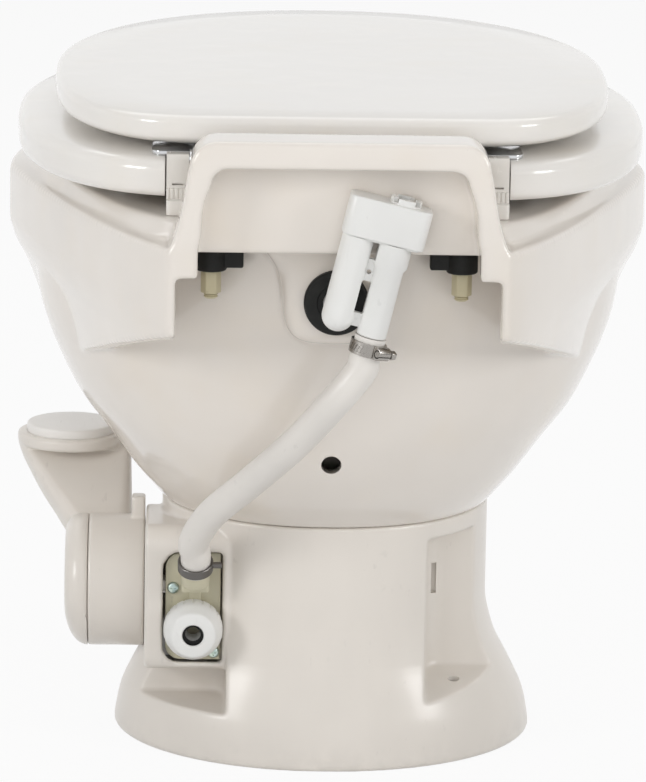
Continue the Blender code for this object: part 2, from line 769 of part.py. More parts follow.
def make_ball(frame):
    """Half ball that shuts the outlet, on a hub at each pole."""
    ball = piece("flush_ball", ball_band(), BALL_PLASTIC, frame)
    for name, side in (("drive hub", 1), ("idle hub", -1)):
        start = BALL_CENTRE + Vector((side * BALL_HUB_X, 0, 0))
        end = BALL_CENTRE + Vector((side * (BALL_HUB_X + BALL_HUB_LENGTH), 0, 0))
        fuse(ball, helper(name, rod(name, BALL_HUB_RADIUS, start, end)))
    reach = Vector((BALL_RADIUS + OVERRUN, 0, 0))
    back = Vector((BALL_HUB_X - OVERRUN, 0, 0))
    cut(ball,
        helper("drive bore", rod("drive bore", SHAFT_RADIUS + GAP, BALL_CENTRE + back, BALL_CENTRE + reach)))
    cut(ball,
        helper("idle bore", rod("idle bore", IDLE_RADIUS + GAP, BALL_CENTRE - reach, BALL_CENTRE - back)))
    return ball


def make_shaft(frame):
    """Straight drive shaft from the ball to the pedal."""
    start = BALL_CENTRE + Vector((BALL_HUB_X, 0, 0))
    end = Vector((SHAFT_END_X, OUTLET_Y, BALL_AXIS_Z))
    mesh = rod("drive_shaft", SHAFT_RADIUS, start, end)
    return piece("drive_shaft", mesh, STAINLESS, frame)


def make_bush():
    """Flanged bush that carries the shaft in the chamber wall."""
    inner = SHAFT_RADIUS + GAP
    outer = inner + BUSH_WALL
    inside = CHAMBER_RADIUS - 2 * GAP
    wall_end = CHAMBER_RADIUS + CHAMBER_WALL + 2 * GAP
    far = wall_end + BUSH_FLANGE_THICK
    profile = [(inner, inside), (outer, inside), (outer, wall_end), (BUSH_FLANGE_RADIUS, wall_end),
               (BUSH_FLANGE_RADIUS, far), (inner, far)]
    mesh = turned("shaft_bush", profile, (0, OUTLET_Y, BALL_AXIS_Z), (1, 0, 0), ROUND_STEPS, wrap=True)
    return piece("shaft_bush", mesh, BEARING_PLASTIC)


def make_idle_pin():
    """Headed pin that the ball's far hub turns on."""
    tip = BALL_HUB_X
    wall_end = CHAMBER_RADIUS + CHAMBER_WALL + 2 * GAP
    far = wall_end + IDLE_HEAD_THICK
    profile = [(0, tip), (IDLE_RADIUS, tip), (IDLE_RADIUS, wall_end), (IDLE_HEAD_RADIUS, wall_end),
               (IDLE_HEAD_RADIUS, far), (0, far)]
    mesh = turned("idle_pin", profile, (0, OUTLET_Y, BALL_AXIS_Z), (-1, 0, 0))
    return piece("idle_pin", mesh, STAINLESS)


def cam_radius(turn):
    """Cam radius at an angle; it climbs steadily over the pedal's stroke."""
    hold = math.radians(20)
    back = math.radians(70)
    low = CAM_RADIUS - CAM_LIFT / 4
    if turn < 0:
        return mix(CAM_RADIUS, low, min(-turn / back, 1))
    if turn <= FLUSH_ANGLE:
        return mix(CAM_RADIUS, CAM_RADIUS + CAM_LIFT, turn / FLUSH_ANGLE)
    if turn <= FLUSH_ANGLE + hold:
        return CAM_RADIUS + CAM_LIFT
    past = (turn - FLUSH_ANGLE - hold) / back
    return mix(CAM_RADIUS + CAM_LIFT, low, min(past, 1))


def make_cam(frame):
    """Rising cam on the shaft that pushes the valve's rod rearward."""
    steps = 60
    outer = []
    inner = []
    for step in range(steps):
        turn = 2 * math.pi * step / steps
        signed = turn if turn <= math.pi else turn - 2 * math.pi
        radius = cam_radius(signed)
        outer.append((OUTLET_Y + radius * math.cos(turn), BALL_AXIS_Z - radius * math.sin(turn)))
        bore = SHAFT_RADIUS + GAP
        inner.append((OUTLET_Y + bore * math.cos(turn), BALL_AXIS_Z - bore * math.sin(turn)))
    rings = []
    for outline, x in ((outer, CAM_X), (outer, CAM_X + CAM_WIDTH), (inner, CAM_X + CAM_WIDTH),
                       (inner, CAM_X)):
        rings.append([Vector((x, y, z)) for y, z in outline])
    return piece("shaft_cam", skin("shaft_cam", rings, wrap=True), NATURAL_PLASTIC, frame)


def make_cartridge(frame):
    """Return-spring cartridge keyed inside the pedal's drum."""
    start = Vector((DRUM_INNER_X + RUN_GAP, OUTLET_Y, BALL_AXIS_Z))
    end = Vector((DRUM_OUTER_X - DRUM_WEB - GAP, OUTLET_Y, BALL_AXIS_Z))
    mesh = ring_bar("spring_cartridge", CARTRIDGE_BORE, CARTRIDGE_RADIUS, start, end)
    return piece("spring_cartridge", mesh, BEARING_PLASTIC, frame)


def pad_centre():
    """Middle of the pad's top at rest."""
    return Vector((PAD_X, OUTLET_Y - PAD_FORWARD, BALL_AXIS_Z + PAD_TOP_RISE))


def arm_mesh():
    """Arm that widens and leans outward from the drum to the tray."""
    root_x = (DRUM_INNER_X + DRUM_OUTER_X) / 2
    root = Vector((root_x, OUTLET_Y, BALL_AXIS_Z))
    tip = pad_centre() - Vector((0, 0, PAD_THICK + TRAY_THICK / 2))
    along = Vector((0, tip.y - root.y, tip.z - root.z)).normalized()
    across = Vector((0, along.z, -along.y))
    rings = []
    shares = (0.22, 0.36, 0.50, 0.64, 0.78, 0.90, 1.0)
    spread_shares = (0, 0.30, 0.48, 0.66, 0.81, 0.93, 1.0)
    root_half = (DRUM_OUTER_X - DRUM_INNER_X) / 2 - GAP
    for share, spread in zip(shares, spread_shares):
        middle = root.lerp(tip, share)
        middle.x = mix(root.x, tip.x, spread)
        half = mix(root_half, TRAY_RADIUS, spread)
        thick = mix(ARM_ROOT_THICK, ARM_TIP_THICK, share) / 2
        half = min(half, middle.x - DRUM_INNER_X)
        outline = rounded_outline((-half, -thick), (half, thick), (thick * 0.7,) * 4, 3)
        rings.append([middle + Vector((a, 0, 0)) + across * b for a, b in outline])
    return skin("pedal arm", rings)


def make_pedal(frame):
    """Pedal moulding: hollow drum, arm and the tray that holds the pad."""
    centre = Vector((0, OUTLET_Y, BALL_AXIS_Z))
    profile = [(SHAFT_RADIUS + GAP, DRUM_OUTER_X - DRUM_WEB),
               (DRUM_RADIUS - DRUM_WALL, DRUM_OUTER_X - DRUM_WEB),
               (DRUM_RADIUS - DRUM_WALL, DRUM_INNER_X), (DRUM_RADIUS, DRUM_INNER_X),
               (DRUM_RADIUS, DRUM_OUTER_X),
               (SHAFT_RADIUS + GAP, DRUM_OUTER_X)]
    pedal = piece("pedal", turned("pedal", profile, centre, (1, 0, 0), 40, wrap=True), SHELL_PLASTIC, frame)
    arm = helper("pedal arm", arm_mesh())
    room = rod("drum room", DRUM_RADIUS - DRUM_WALL / 2, centre + Vector((DRUM_INNER_X - OVERRUN, 0, 0)),
               centre + Vector((DRUM_OUTER_X + OVERRUN, 0, 0)), 48)
    cap_room = rod("cap room", DRUM_RADIUS + GAP, centre + Vector((DRUM_OUTER_X - GAP, 0, 0)),
                   centre + Vector((PAD_X + TRAY_RADIUS, 0, 0)), 48)
    cut(arm, helper("drum room", room), helper("cap room", cap_room))
    top = pad_centre() - Vector((0, 0, PAD_THICK - TRAY_THICK * 0.3))
    low = pad_centre() - Vector((0, 0, PAD_THICK + TRAY_THICK * 0.7))
    height = (top - low).length
    edge = TRAY_THICK / 4
    rim = [(0, 0), (TRAY_RADIUS - edge, 0), (TRAY_RADIUS, edge), (TRAY_RADIUS, height - edge),
           (TRAY_RADIUS - edge, height), (0, height)]
    tray = helper("pedal tray", turned("pedal tray", rim, low, (0, 0, 1)))
    tab_low = Vector((DRUM_INNER_X, OUTLET_Y - TAB_DEPTH / 2, BALL_AXIS_Z + DRUM_RADIUS - DRUM_WALL / 2))
    tab_high = tab_low + Vector((TAB_WIDTH, TAB_DEPTH, DRUM_WALL / 2 + TAB_HEIGHT))
    fuse(pedal, arm, tray, helper("pedal tab", block("pedal tab", tab_low, tab_high)))
    seat = rod("pad seat", PAD_RADIUS + GAP, pad_centre() - Vector((0, 0, PAD_THICK + GAP)),
               pad_centre() + Vector((0, 0, OVERRUN)))
    cut(pedal, helper("pad seat", seat))
    return pedal


def make_pad(frame):
    """Oval foot pad set in the tray, with a rounded edge."""
    edge = PAD_THICK / 4
    low = pad_centre() - Vector((0, 0, PAD_THICK))
    profile = [(0, 0), (PAD_RADIUS, 0), (PAD_RADIUS, PAD_THICK - edge),
               (PAD_RADIUS - edge / 3, PAD_THICK - edge / 3),
               (PAD_RADIUS - edge, PAD_THICK), (0, PAD_THICK)]
    return piece("pedal_pad", turned("pedal_pad", profile, low, (0, 0, 1)), PAD_PLASTIC, frame)


def make_hub_cap(frame):
    """Domed cover on the drum's outer end, hollowed for the shaft's end."""
    start = DRUM_OUTER_X + GAP
    profile = [(0, SHAFT_END_X - start + GAP), (SHAFT_RADIUS + 2 * GAP, SHAFT_END_X - start + GAP),
               (SHAFT_RADIUS + 2 * GAP, 0),
               (DRUM_RADIUS, 0)]
    for step in range(6):
        turn = math.pi / 2 * step / 5
        profile.append((DRUM_RADIUS - CAP_EDGE * (1 - math.cos(turn)),
                        CAP_DOME - CAP_EDGE * (1 - math.sin(turn))))
    profile.append((0, CAP_DOME + CAP_EDGE * 0.05))
    mesh = turned("hub_cap", profile, (start, OUTLET_Y, BALL_AXIS_Z), (1, 0, 0), 40)
    return piece("hub_cap", mesh, SHELL_PLASTIC, frame)


# Water valve

def make_plunger(frame):
    """Round-nosed rod that the cam pushes into the water valve."""
    nose = OUTLET_Y + CAM_RADIUS + RUN_GAP
    tail = valve_plate_front() - GAP
    profile = [(0, 0)]
    for step in range(1, 5):
        turn = math.pi / 2 * step / 4
        profile.append((ROD_RADIUS * math.sin(turn), ROD_RADIUS * (1 - math.cos(turn))))
    length = tail - CAM_LIFT - nose - GAP
    profile += [(ROD_RADIUS, length), (0, length)]
    centre = Vector((CAM_X + CAM_WIDTH / 2, nose, BALL_AXIS_Z))
    return piece("valve_plunger", turned("valve_plunger", profile, centre, (0, 1, 0), SMALL_STEPS),
                 STAINLESS, frame)


def barb_direction():
    """Unit vector up along the hose barb, which leans to the rear."""
    return Vector((0, math.sin(HOSE_END_LEAN), math.cos(HOSE_END_LEAN)))


def make_water_valve():
    """Valve body: plate, rib, rod guide, inlet socket and leaning barb."""
    front = valve_plate_front()
    rear = front + VALVE_PLATE_THICK
    inset = VALVE_PLATE_INSET
    low = (MOUTH_RIGHT_X + inset, MOUTH_BOTTOM_Z + inset)
    high = (MOUTH_LEFT_X - inset, MOUTH_TOP_Z - inset)
    corner = MOUTH_CORNER - inset
    outline = rounded_outline(low, high, (0, corner, corner, 0))
    valve = piece("water_valve", prism("water_valve", outline, "Y", front, rear), NATURAL_PLASTIC)
    rib_x = HOSE_END_X
    rib = block("valve rib", (rib_x - VALVE_RIB_WIDTH / 2, rear - VALVE_RIB_DEPTH / 2, INLET_Z),
                (rib_x + VALVE_RIB_WIDTH / 2, rear + VALVE_RIB_DEPTH, HOSE_END_Z - BARB_BLOCK / 2))
    socket = rod("inlet socket", INLET_SOCKET_RADIUS, (INLET_X, front, INLET_Z),
                 (INLET_X, rear + INLET_SOCKET_LENGTH, INLET_Z))
    guide_x = CAM_X + CAM_WIDTH / 2
    guide = rod("rod guide", VALVE_GUIDE_RADIUS, (guide_x, front - VALVE_GUIDE_LENGTH, BALL_AXIS_Z),
                (guide_x, rear, BALL_AXIS_Z), 24)
    hose_end = Vector((HOSE_END_X, HOSE_END_Y, HOSE_END_Z))
    foot = hose_end - barb_direction() * (GAP + BARB_BLOCK / 2)
    elbow = rod("barb elbow", HOSE_RADIUS * 0.95, foot, hose_end - barb_direction() * GAP, 20)
    bridge = block("barb bridge",
                   (foot.x - BARB_BLOCK / 2, rear - VALVE_PLATE_THICK / 2, foot.z - BARB_BLOCK * 0.4),
                   (foot.x + BARB_BLOCK / 2, foot.y + BARB_RADIUS / 2, foot.z + BARB_BLOCK * 0.2))
    barb = rod("hose barb", BARB_RADIUS, foot, hose_end + barb_direction() * BARB_LENGTH, 20)
    fuse(valve, helper("valve rib", rib), helper("inlet socket", socket), helper("rod guide", guide))
    fuse(valve, helper("barb bridge", bridge), helper("barb elbow", elbow), helper("hose barb", barb))
    tip = hose_end + barb_direction() * (BARB_LENGTH + OVERRUN)
    bore = rod("barb bore", BARB_BORE_RADIUS, hose_end - barb_direction() * BARB_BLOCK / 4, tip, 12)
    rod_room = rod("rod room", ROD_RADIUS + GAP, (guide_x, front - VALVE_GUIDE_LENGTH - OVERRUN, BALL_AXIS_Z),
                   (guide_x, front, BALL_AXIS_Z), SMALL_STEPS)
    inlet = rod("inlet room", INLET_TUBE_RADIUS - INLET_BORE_RADIUS / 2, (INLET_X, rear, INLET_Z),
                (INLET_X, rear + INLET_SOCKET_LENGTH + OVERRUN, INLET_Z), 24)
    cut(valve, helper("barb bore", bore), helper("rod room", rod_room), helper("inlet room", inlet))
    for name, x, z in (("upper plate hole", SCREW_UPPER_X, SCREW_UPPER_Z),
                       ("lower plate hole", SCREW_LOWER_X, SCREW_LOWER_Z)):
        hole = rod(name, SCREW_SHANK_RADIUS + GAP, (x, front - OVERRUN, z), (x, rear + OVERRUN, z),
                   SMALL_STEPS)
        room = rod(name + " room", SCREW_HEAD_RADIUS + GAP, (x, rear, z), (x, rear + BARB_BLOCK, z),
                   SMALL_STEPS)
        cut(valve, helper(name + " room", room), helper(name, hole))
    return valve


def make_screw(name, x, z):
    """Pan-head screw that holds the valve plate to its boss."""
    rear = valve_plate_front() + VALVE_PLATE_THICK + GAP
    head = SCREW_HEAD_HEIGHT
    profile = [(0, -SCREW_LENGTH), (SCREW_SHANK_RADIUS, -SCREW_LENGTH), (SCREW_SHANK_RADIUS, 0),
               (SCREW_HEAD_RADIUS, 0),
               (SCREW_HEAD_RADIUS, head * 0.5), (SCREW_HEAD_RADIUS * 0.7, head), (0, head)]
    return piece(name, turned(name, profile, (x, rear, z), (0, 1, 0), SMALL_STEPS), ZINC)


def fitting_start():
    """Where the inlet tube meets the valve's socket."""
    return valve_plate_front() + VALVE_PLATE_THICK + INLET_SOCKET_LENGTH + GAP


def make_fitting():
    """White inlet tube with the collar that keeps the coupling on."""
    end = INLET_TUBE_LENGTH
    collar = end - INLET_COLLAR_THICK
    profile = [(INLET_BORE_RADIUS, 0), (INLET_TUBE_RADIUS, 0), (INLET_TUBE_RADIUS, collar),
               (INLET_COLLAR_RADIUS, collar),
               (INLET_COLLAR_RADIUS, end), (INLET_BORE_RADIUS, end)]
    mesh = turned("inlet_fitting", profile, (INLET_X, fitting_start(), INLET_Z), (0, 1, 0), 24, wrap=True)
    return piece("inlet_fitting", mesh, WHITE_PLASTIC)


def make_coupling(frame):
    """White coupling that turns freely behind the inlet tube's collar."""
    end = COUPLING_LENGTH
    wall = COUPLING_WALL
    neck = INLET_TUBE_RADIUS + RUN_GAP
    room = INLET_COLLAR_RADIUS + RUN_GAP
    shelf = INLET_TUBE_LENGTH - INLET_COLLAR_THICK - COUPLING_SETBACK - RUN_GAP
    shoulder = end * 0.62
    profile = [(neck, 0), (COUPLING_RADIUS, 0), (COUPLING_RADIUS, shoulder * 0.6),
               (COUPLING_RADIUS * 0.94, shoulder),
               (COUPLING_END_RADIUS, end - wall / 2), (COUPLING_END_RADIUS - wall / 3, end),
               (COUPLING_MOUTH_RADIUS, end),
               (COUPLING_MOUTH_RADIUS, end - wall / 2), (room * 0.85, end - wall), (room, end - wall * 1.2),
               (room, shelf), (neck, shelf)]
    centre = Vector((INLET_X, fitting_start() + COUPLING_SETBACK, INLET_Z))
    coupling = piece("inlet_coupling", turned("inlet_coupling", profile, centre, (0, 1, 0), 24, wrap=True),
                     WHITE_PLASTIC, frame)
    return coupling


def make_washer():
    """Rubber washer held between the inlet tube and the supply pipe."""
    start = fitting_start() + INLET_TUBE_LENGTH + GAP
    mesh = ring_bar("inlet_washer", INLET_BORE_RADIUS, INLET_COLLAR_RADIUS * 0.75, (INLET_X, start, INLET_Z),
                    (INLET_X, start + WASHER_THICK, INLET_Z), 20)
    return piece("inlet_washer", mesh, BLACK_RUBBER)


# Hose and clamps

def breaker_point(across, up):
    """World place of a point in the vacuum breaker's leaning frame."""
    lean = BREAKER_LEAN
    side = Vector((math.cos(lean), 0, math.sin(lean)))
    rise = Vector((-math.sin(lean), 0, math.cos(lean)))
    return BREAKER_CENTRE + side * across + rise * up


hose_side_shares = (0.060, 0.215, 0.420, 0.680, 0.905, 1.010)
hose_depth_shares = (0.000, 0.045, 0.230, 0.480, 0.720, 0.885)
hose_drop_shares = (0.125, 0.245, 0.410, 0.590, 0.745, 0.870)


def hose_points():
    """Smooth centre line from the vacuum breaker down to the water valve."""
    top = breaker_point(-BREAKER_PITCH, -BREAKER_DROP - GAP)
    high = breaker_point(-BREAKER_PITCH, -BREAKER_DROP - GAP - BARB_LENGTH)
    end = Vector((HOSE_END_X, HOSE_END_Y, HOSE_END_Z))
    low = end + barb_direction() * BARB_LENGTH
    route = [top, high]
    for side, depth, drop in zip(hose_side_shares, hose_depth_shares, hose_drop_shares):
        place = Vector((mix(top.x, end.x, side), mix(top.y, end.y, depth), mix(top.z, end.z, drop)))
        if (place - high).dot(high - top) > 0:
            route.append(place)
    route += [low, end]
    return curve_through(route, 3)


def curve_through(route, steps):
    """Points along a smooth curve through the route's own points."""
    points = []
    ends = [2 * route[0] - route[1]] + route + [2 * route[-1] - route[-2]]
    for before, first, second, after in zip(ends, ends[1:], ends[2:], ends[3:]):
        for step in range(steps):
            share = step / steps
            square = share * share
            cube = square * share
            place = (2 * first + (second - before) * share
                     + (2 * before - 5 * first + 4 * second - after) * square
                     + (3 * first - before - 3 * second + after) * cube) / 2
            points.append(place)
    points.append(Vector(route[-1]))
    return points


def carried_rings(points, radius, steps):
    """Rings square to a path, turned as little as possible from one to the next."""
    rings = []
    first = None
    for index, point in enumerate(points):
        before = points[max(index - 1, 0)]
        after = points[min(index + 1, len(points) - 1)]
        along = (after - before).normalized()
        if first is None:
            first = side_axes(along)[0]
        first = (first - along * first.dot(along)).normalized()
        second = along.cross(first)
        ring = []
        for step in range(steps):
            turn = 2 * math.pi * step / steps
            ring.append(point + radius * (math.cos(turn) * first + math.sin(turn) * second))
        rings.append(ring)
    return rings


def make_hose():
    """White hose with an open bore from end to end."""
    points = hose_points()
    outer = carried_rings(points, HOSE_RADIUS, 12)
    inner = carried_rings(points, HOSE_BORE_RADIUS, 12)
    rings = outer + inner[::-1]
    return piece("supply_hose", skin("supply_hose", rings, wrap=True), HOSE_VINYL)


def make_upper_clamp():
    """Worm-drive clamp: band, screw block and screw."""
    start = breaker_point(-BREAKER_PITCH, -BREAKER_DROP - CLAMP_SETBACK - CLAMP_BAND_WIDTH)
    end = breaker_point(-BREAKER_PITCH, -BREAKER_DROP - CLAMP_SETBACK)
    inner = HOSE_RADIUS + GAP
    outer = inner + CLAMP_BAND_THICK
    band = piece("upper_clamp_band", ring_bar("upper_clamp_band", inner, outer, start, end, 28), STAINLESS)
    middle = (start + end) / 2
    rise = (end - start).normalized()
    across = (breaker_point(-1, 0) - breaker_point(0, 0)).normalized()
    out = across * math.cos(CLAMP_TURN) + Vector((0, 1, 0)) * math.sin(CLAMP_TURN)
    side = out.cross(rise)
    up = rise * CLAMP_BAND_WIDTH / 2
    near = middle + out * (outer - CLAMP_BAND_THICK / 2)
    far = middle + out * (outer + CLAMP_BLOCK_DEPTH)
    half = side * CLAMP_BLOCK_LENGTH / 2
    low = [near - half - up, near + half - up, far + half - up, far - half - up]
    high = [point + 2 * up for point in low]
    fuse(band, helper("clamp block", skin("clamp block", [low, high])))
    core = middle + out * (outer + CLAMP_BLOCK_DEPTH * 0.56)
    reach = side * CLAMP_SCREW_LENGTH / 2
    room = rod("clamp screw room", CLAMP_SCREW_RADIUS * 0.75 + GAP, core - 2 * reach, core + 2 * reach,
               SMALL_STEPS)
    cut(band, helper("clamp screw room", room))
    head = CLAMP_SCREW_LENGTH * 0.25
    shank = CLAMP_SCREW_RADIUS * 0.75
    long = CLAMP_BLOCK_LENGTH + 2 * GAP
    profile = [(0, 0), (shank, 0), (shank, long), (CLAMP_SCREW_RADIUS, long),
               (CLAMP_SCREW_RADIUS, long + head), (0, long + head)]
    mesh = turned("upper_clamp_screw", profile, core + half, -side, SMALL_STEPS)
    piece("upper_clamp_screw", mesh, STAINLESS)
    return band


def make_lower_clamp():
    """Spring clamp round the hose's lower end, with its two ears."""
    end = Vector((HOSE_END_X, HOSE_END_Y, HOSE_END_Z))
    up = barb_direction()
    start = end + up * CLAMP_SETBACK * 0.5
    finish_at = start + up * SPRING_CLAMP_WIDTH
    inner = HOSE_RADIUS + GAP
    outer = inner + SPRING_CLAMP_THICK
    clamp = piece("lower_clamp", ring_bar("lower_clamp", inner, outer, start, finish_at, 24), STAINLESS)
    out = Vector((-1, 0, 0))
    side = up.cross(out)
    for name, way, level_share in (("near ear", 1, 0.0), ("far ear", -1, 0.45)):
        root = start + up * SPRING_CLAMP_WIDTH * level_share
        near = root + out * (outer - SPRING_CLAMP_THICK * 0.8) + side * way * SPRING_EAR_WIDTH / 2
        reach = out * SPRING_EAR_LENGTH
        half = side * SPRING_CLAMP_THICK / 2
        rise = up * SPRING_CLAMP_WIDTH * 0.55
        low = [near - half, near + half, near + half + reach, near - half + reach]
        fuse(clamp, helper(name, skin(name, [low, [point + rise for point in low]])))
    return clamp


# Vacuum breaker, modelled upright in its own leaning frame

def make_breaker_body(frame):
    """Two legs joined by a slotted web under a flange, with a spout forward."""
    height = BREAKER_HEIGHT
    steps = 24
    left = [(0, -LEG_RADIUS)]
    for step in range(1, 5):
        turn = math.pi / 2 * step / 4
        left.append((LEG_RADIUS * math.sin(turn), -LEG_RADIUS * math.cos(turn)))
    left += [(LEG_RADIUS, height - FLANGE_THICK / 2), (0, height - FLANGE_THICK / 2)]
    body = piece("breaker_body", turned("breaker_body", left, (0, 0, 0), (0, 0, 1), steps), WHITE_PLASTIC,
                 frame, True)
    right = Vector((-BREAKER_PITCH, 0, 0))
    collar = height - LEG_COLLAR_LENGTH
    tail = -BREAKER_DROP - BARB_LENGTH
    top = height - FLANGE_THICK * 0.6
    profile = [(BARB_BORE_RADIUS, tail), (BARB_RADIUS, tail), (BARB_RADIUS, -BREAKER_DROP),
               (OUTLET_LEG_RADIUS, -BREAKER_DROP),
               (OUTLET_LEG_RADIUS, collar - LEG_RADIUS / 4), (LEG_COLLAR_RADIUS, collar),
               (LEG_COLLAR_RADIUS, top),
               (BARB_BORE_RADIUS, top)]
    fuse(body, helper("right leg", turned("right leg", profile, right, (0, 0, 1), steps, wrap=True), frame))
    web = block("web",
                (-BREAKER_PITCH + (BARB_BORE_RADIUS + OUTLET_LEG_RADIUS) / 2, -WEB_THICK / 2,
                 -BREAKER_DROP / 2), (0, WEB_THICK / 2, height - FLANGE_THICK * 0.4))
    outline = cap_outline(0)
    flange = prism("flange", outline, "Z", height - FLANGE_THICK, height)
    fuse(body, helper("web", web, frame), helper("flange", flange, frame))
    spout = rod("spout", SPOUT_RADIUS, (0, 0, 0), (0, -SPOUT_LENGTH, 0), 20)
    fuse(body, helper("spout", spout, frame))
    middle = -BREAKER_PITCH / 2
    slot = block("web slot", (middle - WEB_SLOT_WIDTH / 2, -LEG_RADIUS, 0),
                 (middle + WEB_SLOT_WIDTH / 2, LEG_RADIUS, WEB_SLOT_LENGTH))
    dot = rod("web dot", WEB_DOT_RADIUS, (middle, -LEG_RADIUS, WEB_SLOT_LENGTH + 2 * WEB_SLOT_WIDTH / 2),
              (middle, LEG_RADIUS, WEB_SLOT_LENGTH + 2 * WEB_SLOT_WIDTH / 2), 12)
    high = height - FLANGE_THICK - WEB_SLOT_WIDTH * 1.6
    small = block("high slot", (middle - WEB_SLOT_WIDTH / 3, -LEG_RADIUS, high),
                  (middle + WEB_SLOT_WIDTH / 3, LEG_RADIUS, height - FLANGE_THICK - WEB_DOT_RADIUS))
    cut(body, helper("web slot", slot, frame), helper("web dot", dot, frame),
        helper("high slot", small, frame))
    left_bore = rod("left bore", LEG_BORE_RADIUS, (0, 0, -SPOUT_BORE_RADIUS), (0, 0, height + OVERRUN), 18)
    right_bore = rod("right bore", BARB_BORE_RADIUS * 0.9, right + Vector((0, 0, height - 2 * FLANGE_THICK)),
                     right + Vector((0, 0, height + OVERRUN)), 18)
    spout_bore = rod("spout bore", SPOUT_BORE_RADIUS, (0, LEG_BORE_RADIUS / 2, 0),
                     (0, -SPOUT_LENGTH - OVERRUN, 0), 18)
    cut(body, helper("left bore", left_bore, frame), helper("right bore", right_bore, frame),
        helper("spout bore", spout_bore, frame))
    return body


def cap_outline(inset):
    """Plan of the cap and of the flange that it sits on."""
    high_x = CAP_OVERHANG - inset
    low_x = CAP_OVERHANG - CAP_WIDTH + inset
    half = CAP_DEPTH / 2 - inset
    corner = CAP_DEPTH / 4 - inset / 2
    return rounded_outline((low_x, -half), (high_x, half), (corner,) * 4, 3)


def make_breaker_cap(frame):
    """Cap over both legs, with vent teeth over the float."""
    low = BREAKER_HEIGHT + GAP
    high = low + CAP_HEIGHT
    cap = piece("breaker_cap", prism("breaker_cap", cap_outline(0), "Z", low, high), WHITE_PLASTIC, frame,
                True)
    room = prism("cap room", cap_outline(CAP_WALL), "Z", low - OVERRUN, high - CAP_WALL)
    cut(cap, helper("cap room", room, frame))
    centre = Vector((-BREAKER_PITCH, 0, 0))
    tower = rod("vent tower", VENT_RADIUS, centre + Vector((0, 0, high - CAP_WALL / 2)),
                centre + Vector((0, 0, high + VENT_HEIGHT)), 24)
    fuse(cap, helper("vent tower", tower, frame))
    bore = rod("vent bore", VENT_RADIUS * 0.62, centre + Vector((0, 0, high - CAP_WALL - OVERRUN)),
               centre + Vector((0, 0, high + VENT_HEIGHT + OVERRUN)), 16)
    cut(cap, helper("vent bore", bore, frame))
    half = VENT_RADIUS * 0.22
    for index in range(VENT_COUNT // 2):
        turn = math.pi * index / (VENT_COUNT // 2) + math.pi / 4
        along = Vector((math.cos(turn), math.sin(turn), 0)) * (VENT_RADIUS + OVERRUN)
        side = Vector((-math.sin(turn), math.cos(turn), 0)) * half
        foot = centre + Vector((0, 0, high + VENT_HEIGHT * 0.25))
        row = [foot - along - side, foot + along - side, foot + along + side, foot - along + side]
        lift = Vector((0, 0, VENT_HEIGHT + OVERRUN))
        name = f"vent cut {index + 1}"
        cut(cap, helper(name, skin(name, [row, [point + lift for point in row]]), frame))
    return cap


def make_float(frame):
    """Float disc that lifts off the inlet leg when water flows."""
    mesh = turned("breaker_float",
                  [(0, 0), (FLOAT_RADIUS, 0), (FLOAT_RADIUS, FLOAT_HEIGHT), (0, FLOAT_HEIGHT)], (0, 0, 0),
                  (0, 0, 1), 20)
    return piece("breaker_float", mesh, BLACK_RUBBER, frame, True)


def make_grommet():
    """Black grommet that the spout passes through into the bowl."""
    inner = SPOUT_RADIUS + GAP
    face = BOSS_FACE_Y + GAP
    neck = INLET_HOLE_RADIUS - GAP
    edge = GROMMET_FLANGE / 3
    profile = [(inner, -GROMMET_NECK), (neck, -GROMMET_NECK), (neck, 0), (GROMMET_RADIUS, 0),
               (GROMMET_RADIUS, GROMMET_FLANGE - edge),
               (GROMMET_RADIUS - edge, GROMMET_FLANGE), (inner, GROMMET_FLANGE)]
    mesh = turned("breaker_grommet", profile, (0, face, BREAKER_Z), (0, 1, 0), ROUND_STEPS, wrap=True)
    return piece("breaker_grommet", mesh, BLACK_RUBBER)


# Bowl

body_level_shares = (0, 0.043, 0.097, 0.220, 0.323, 0.4355, 0.527, 0.618, 0.704, 0.817, 0.903, 0.985)
body_width_shares = (0, 0.105, 0.215, 0.387, 0.527, 0.640, 0.705, 0.765, 0.800, 0.865, 0.870, 0.830)
body_front_shares = (0, 0.085, 0.190, 0.392, 0.532, 0.667, 0.750, 0.822, 0.870, 0.930, 0.935, 0.900)
body_rear_shares = (0, 0.123, 0.246, 0.446, 0.585, 0.708, 0.800, 0.877, 0.938, 0.985, 1.000, 1.000)
body_middle_shares = (0, 0.10, 0.20, 0.35, 0.50, 0.62, 0.70, 0.78, 0.84, 0.92, 0.97, 1.0)
BODY_MIDDLE_SHIFT = 0.045


def body_rings(inset, low_z, high_z):
    """Rings of the bowl's outer body from the pedestal up to the rim."""
    neck_front = OUTLET_Y - NECK_HALF_DEPTH
    neck_rear = OUTLET_Y + NECK_HALF_DEPTH
    rings = []
    table = zip(body_level_shares, body_width_shares, body_front_shares, body_rear_shares, body_middle_shares)
    for level_share, width, front, rear, middle in table:
        height = min(max(BOWL_FLOOR_Z + (RIM_EDGE_Z - BOWL_FLOOR_Z) * level_share, low_z), high_z)
        half_width = mix(NECK_HALF_WIDTH, RIM_HALF_WIDTH, width) - inset
        front_y = mix(neck_front, -FRONT_REACH + RIM_SETBACK, front) + inset
        rear_y = mix(neck_rear, BODY_REAR, rear) - inset
        wide_y = OUTLET_Y - BODY_MIDDLE_SHIFT * middle
        outline = egg(half_width, front_y, rear_y, wide_y, 0.02 * half_width, 2.1, 2.05)
        rings.append(level(outline, height))
    return rings


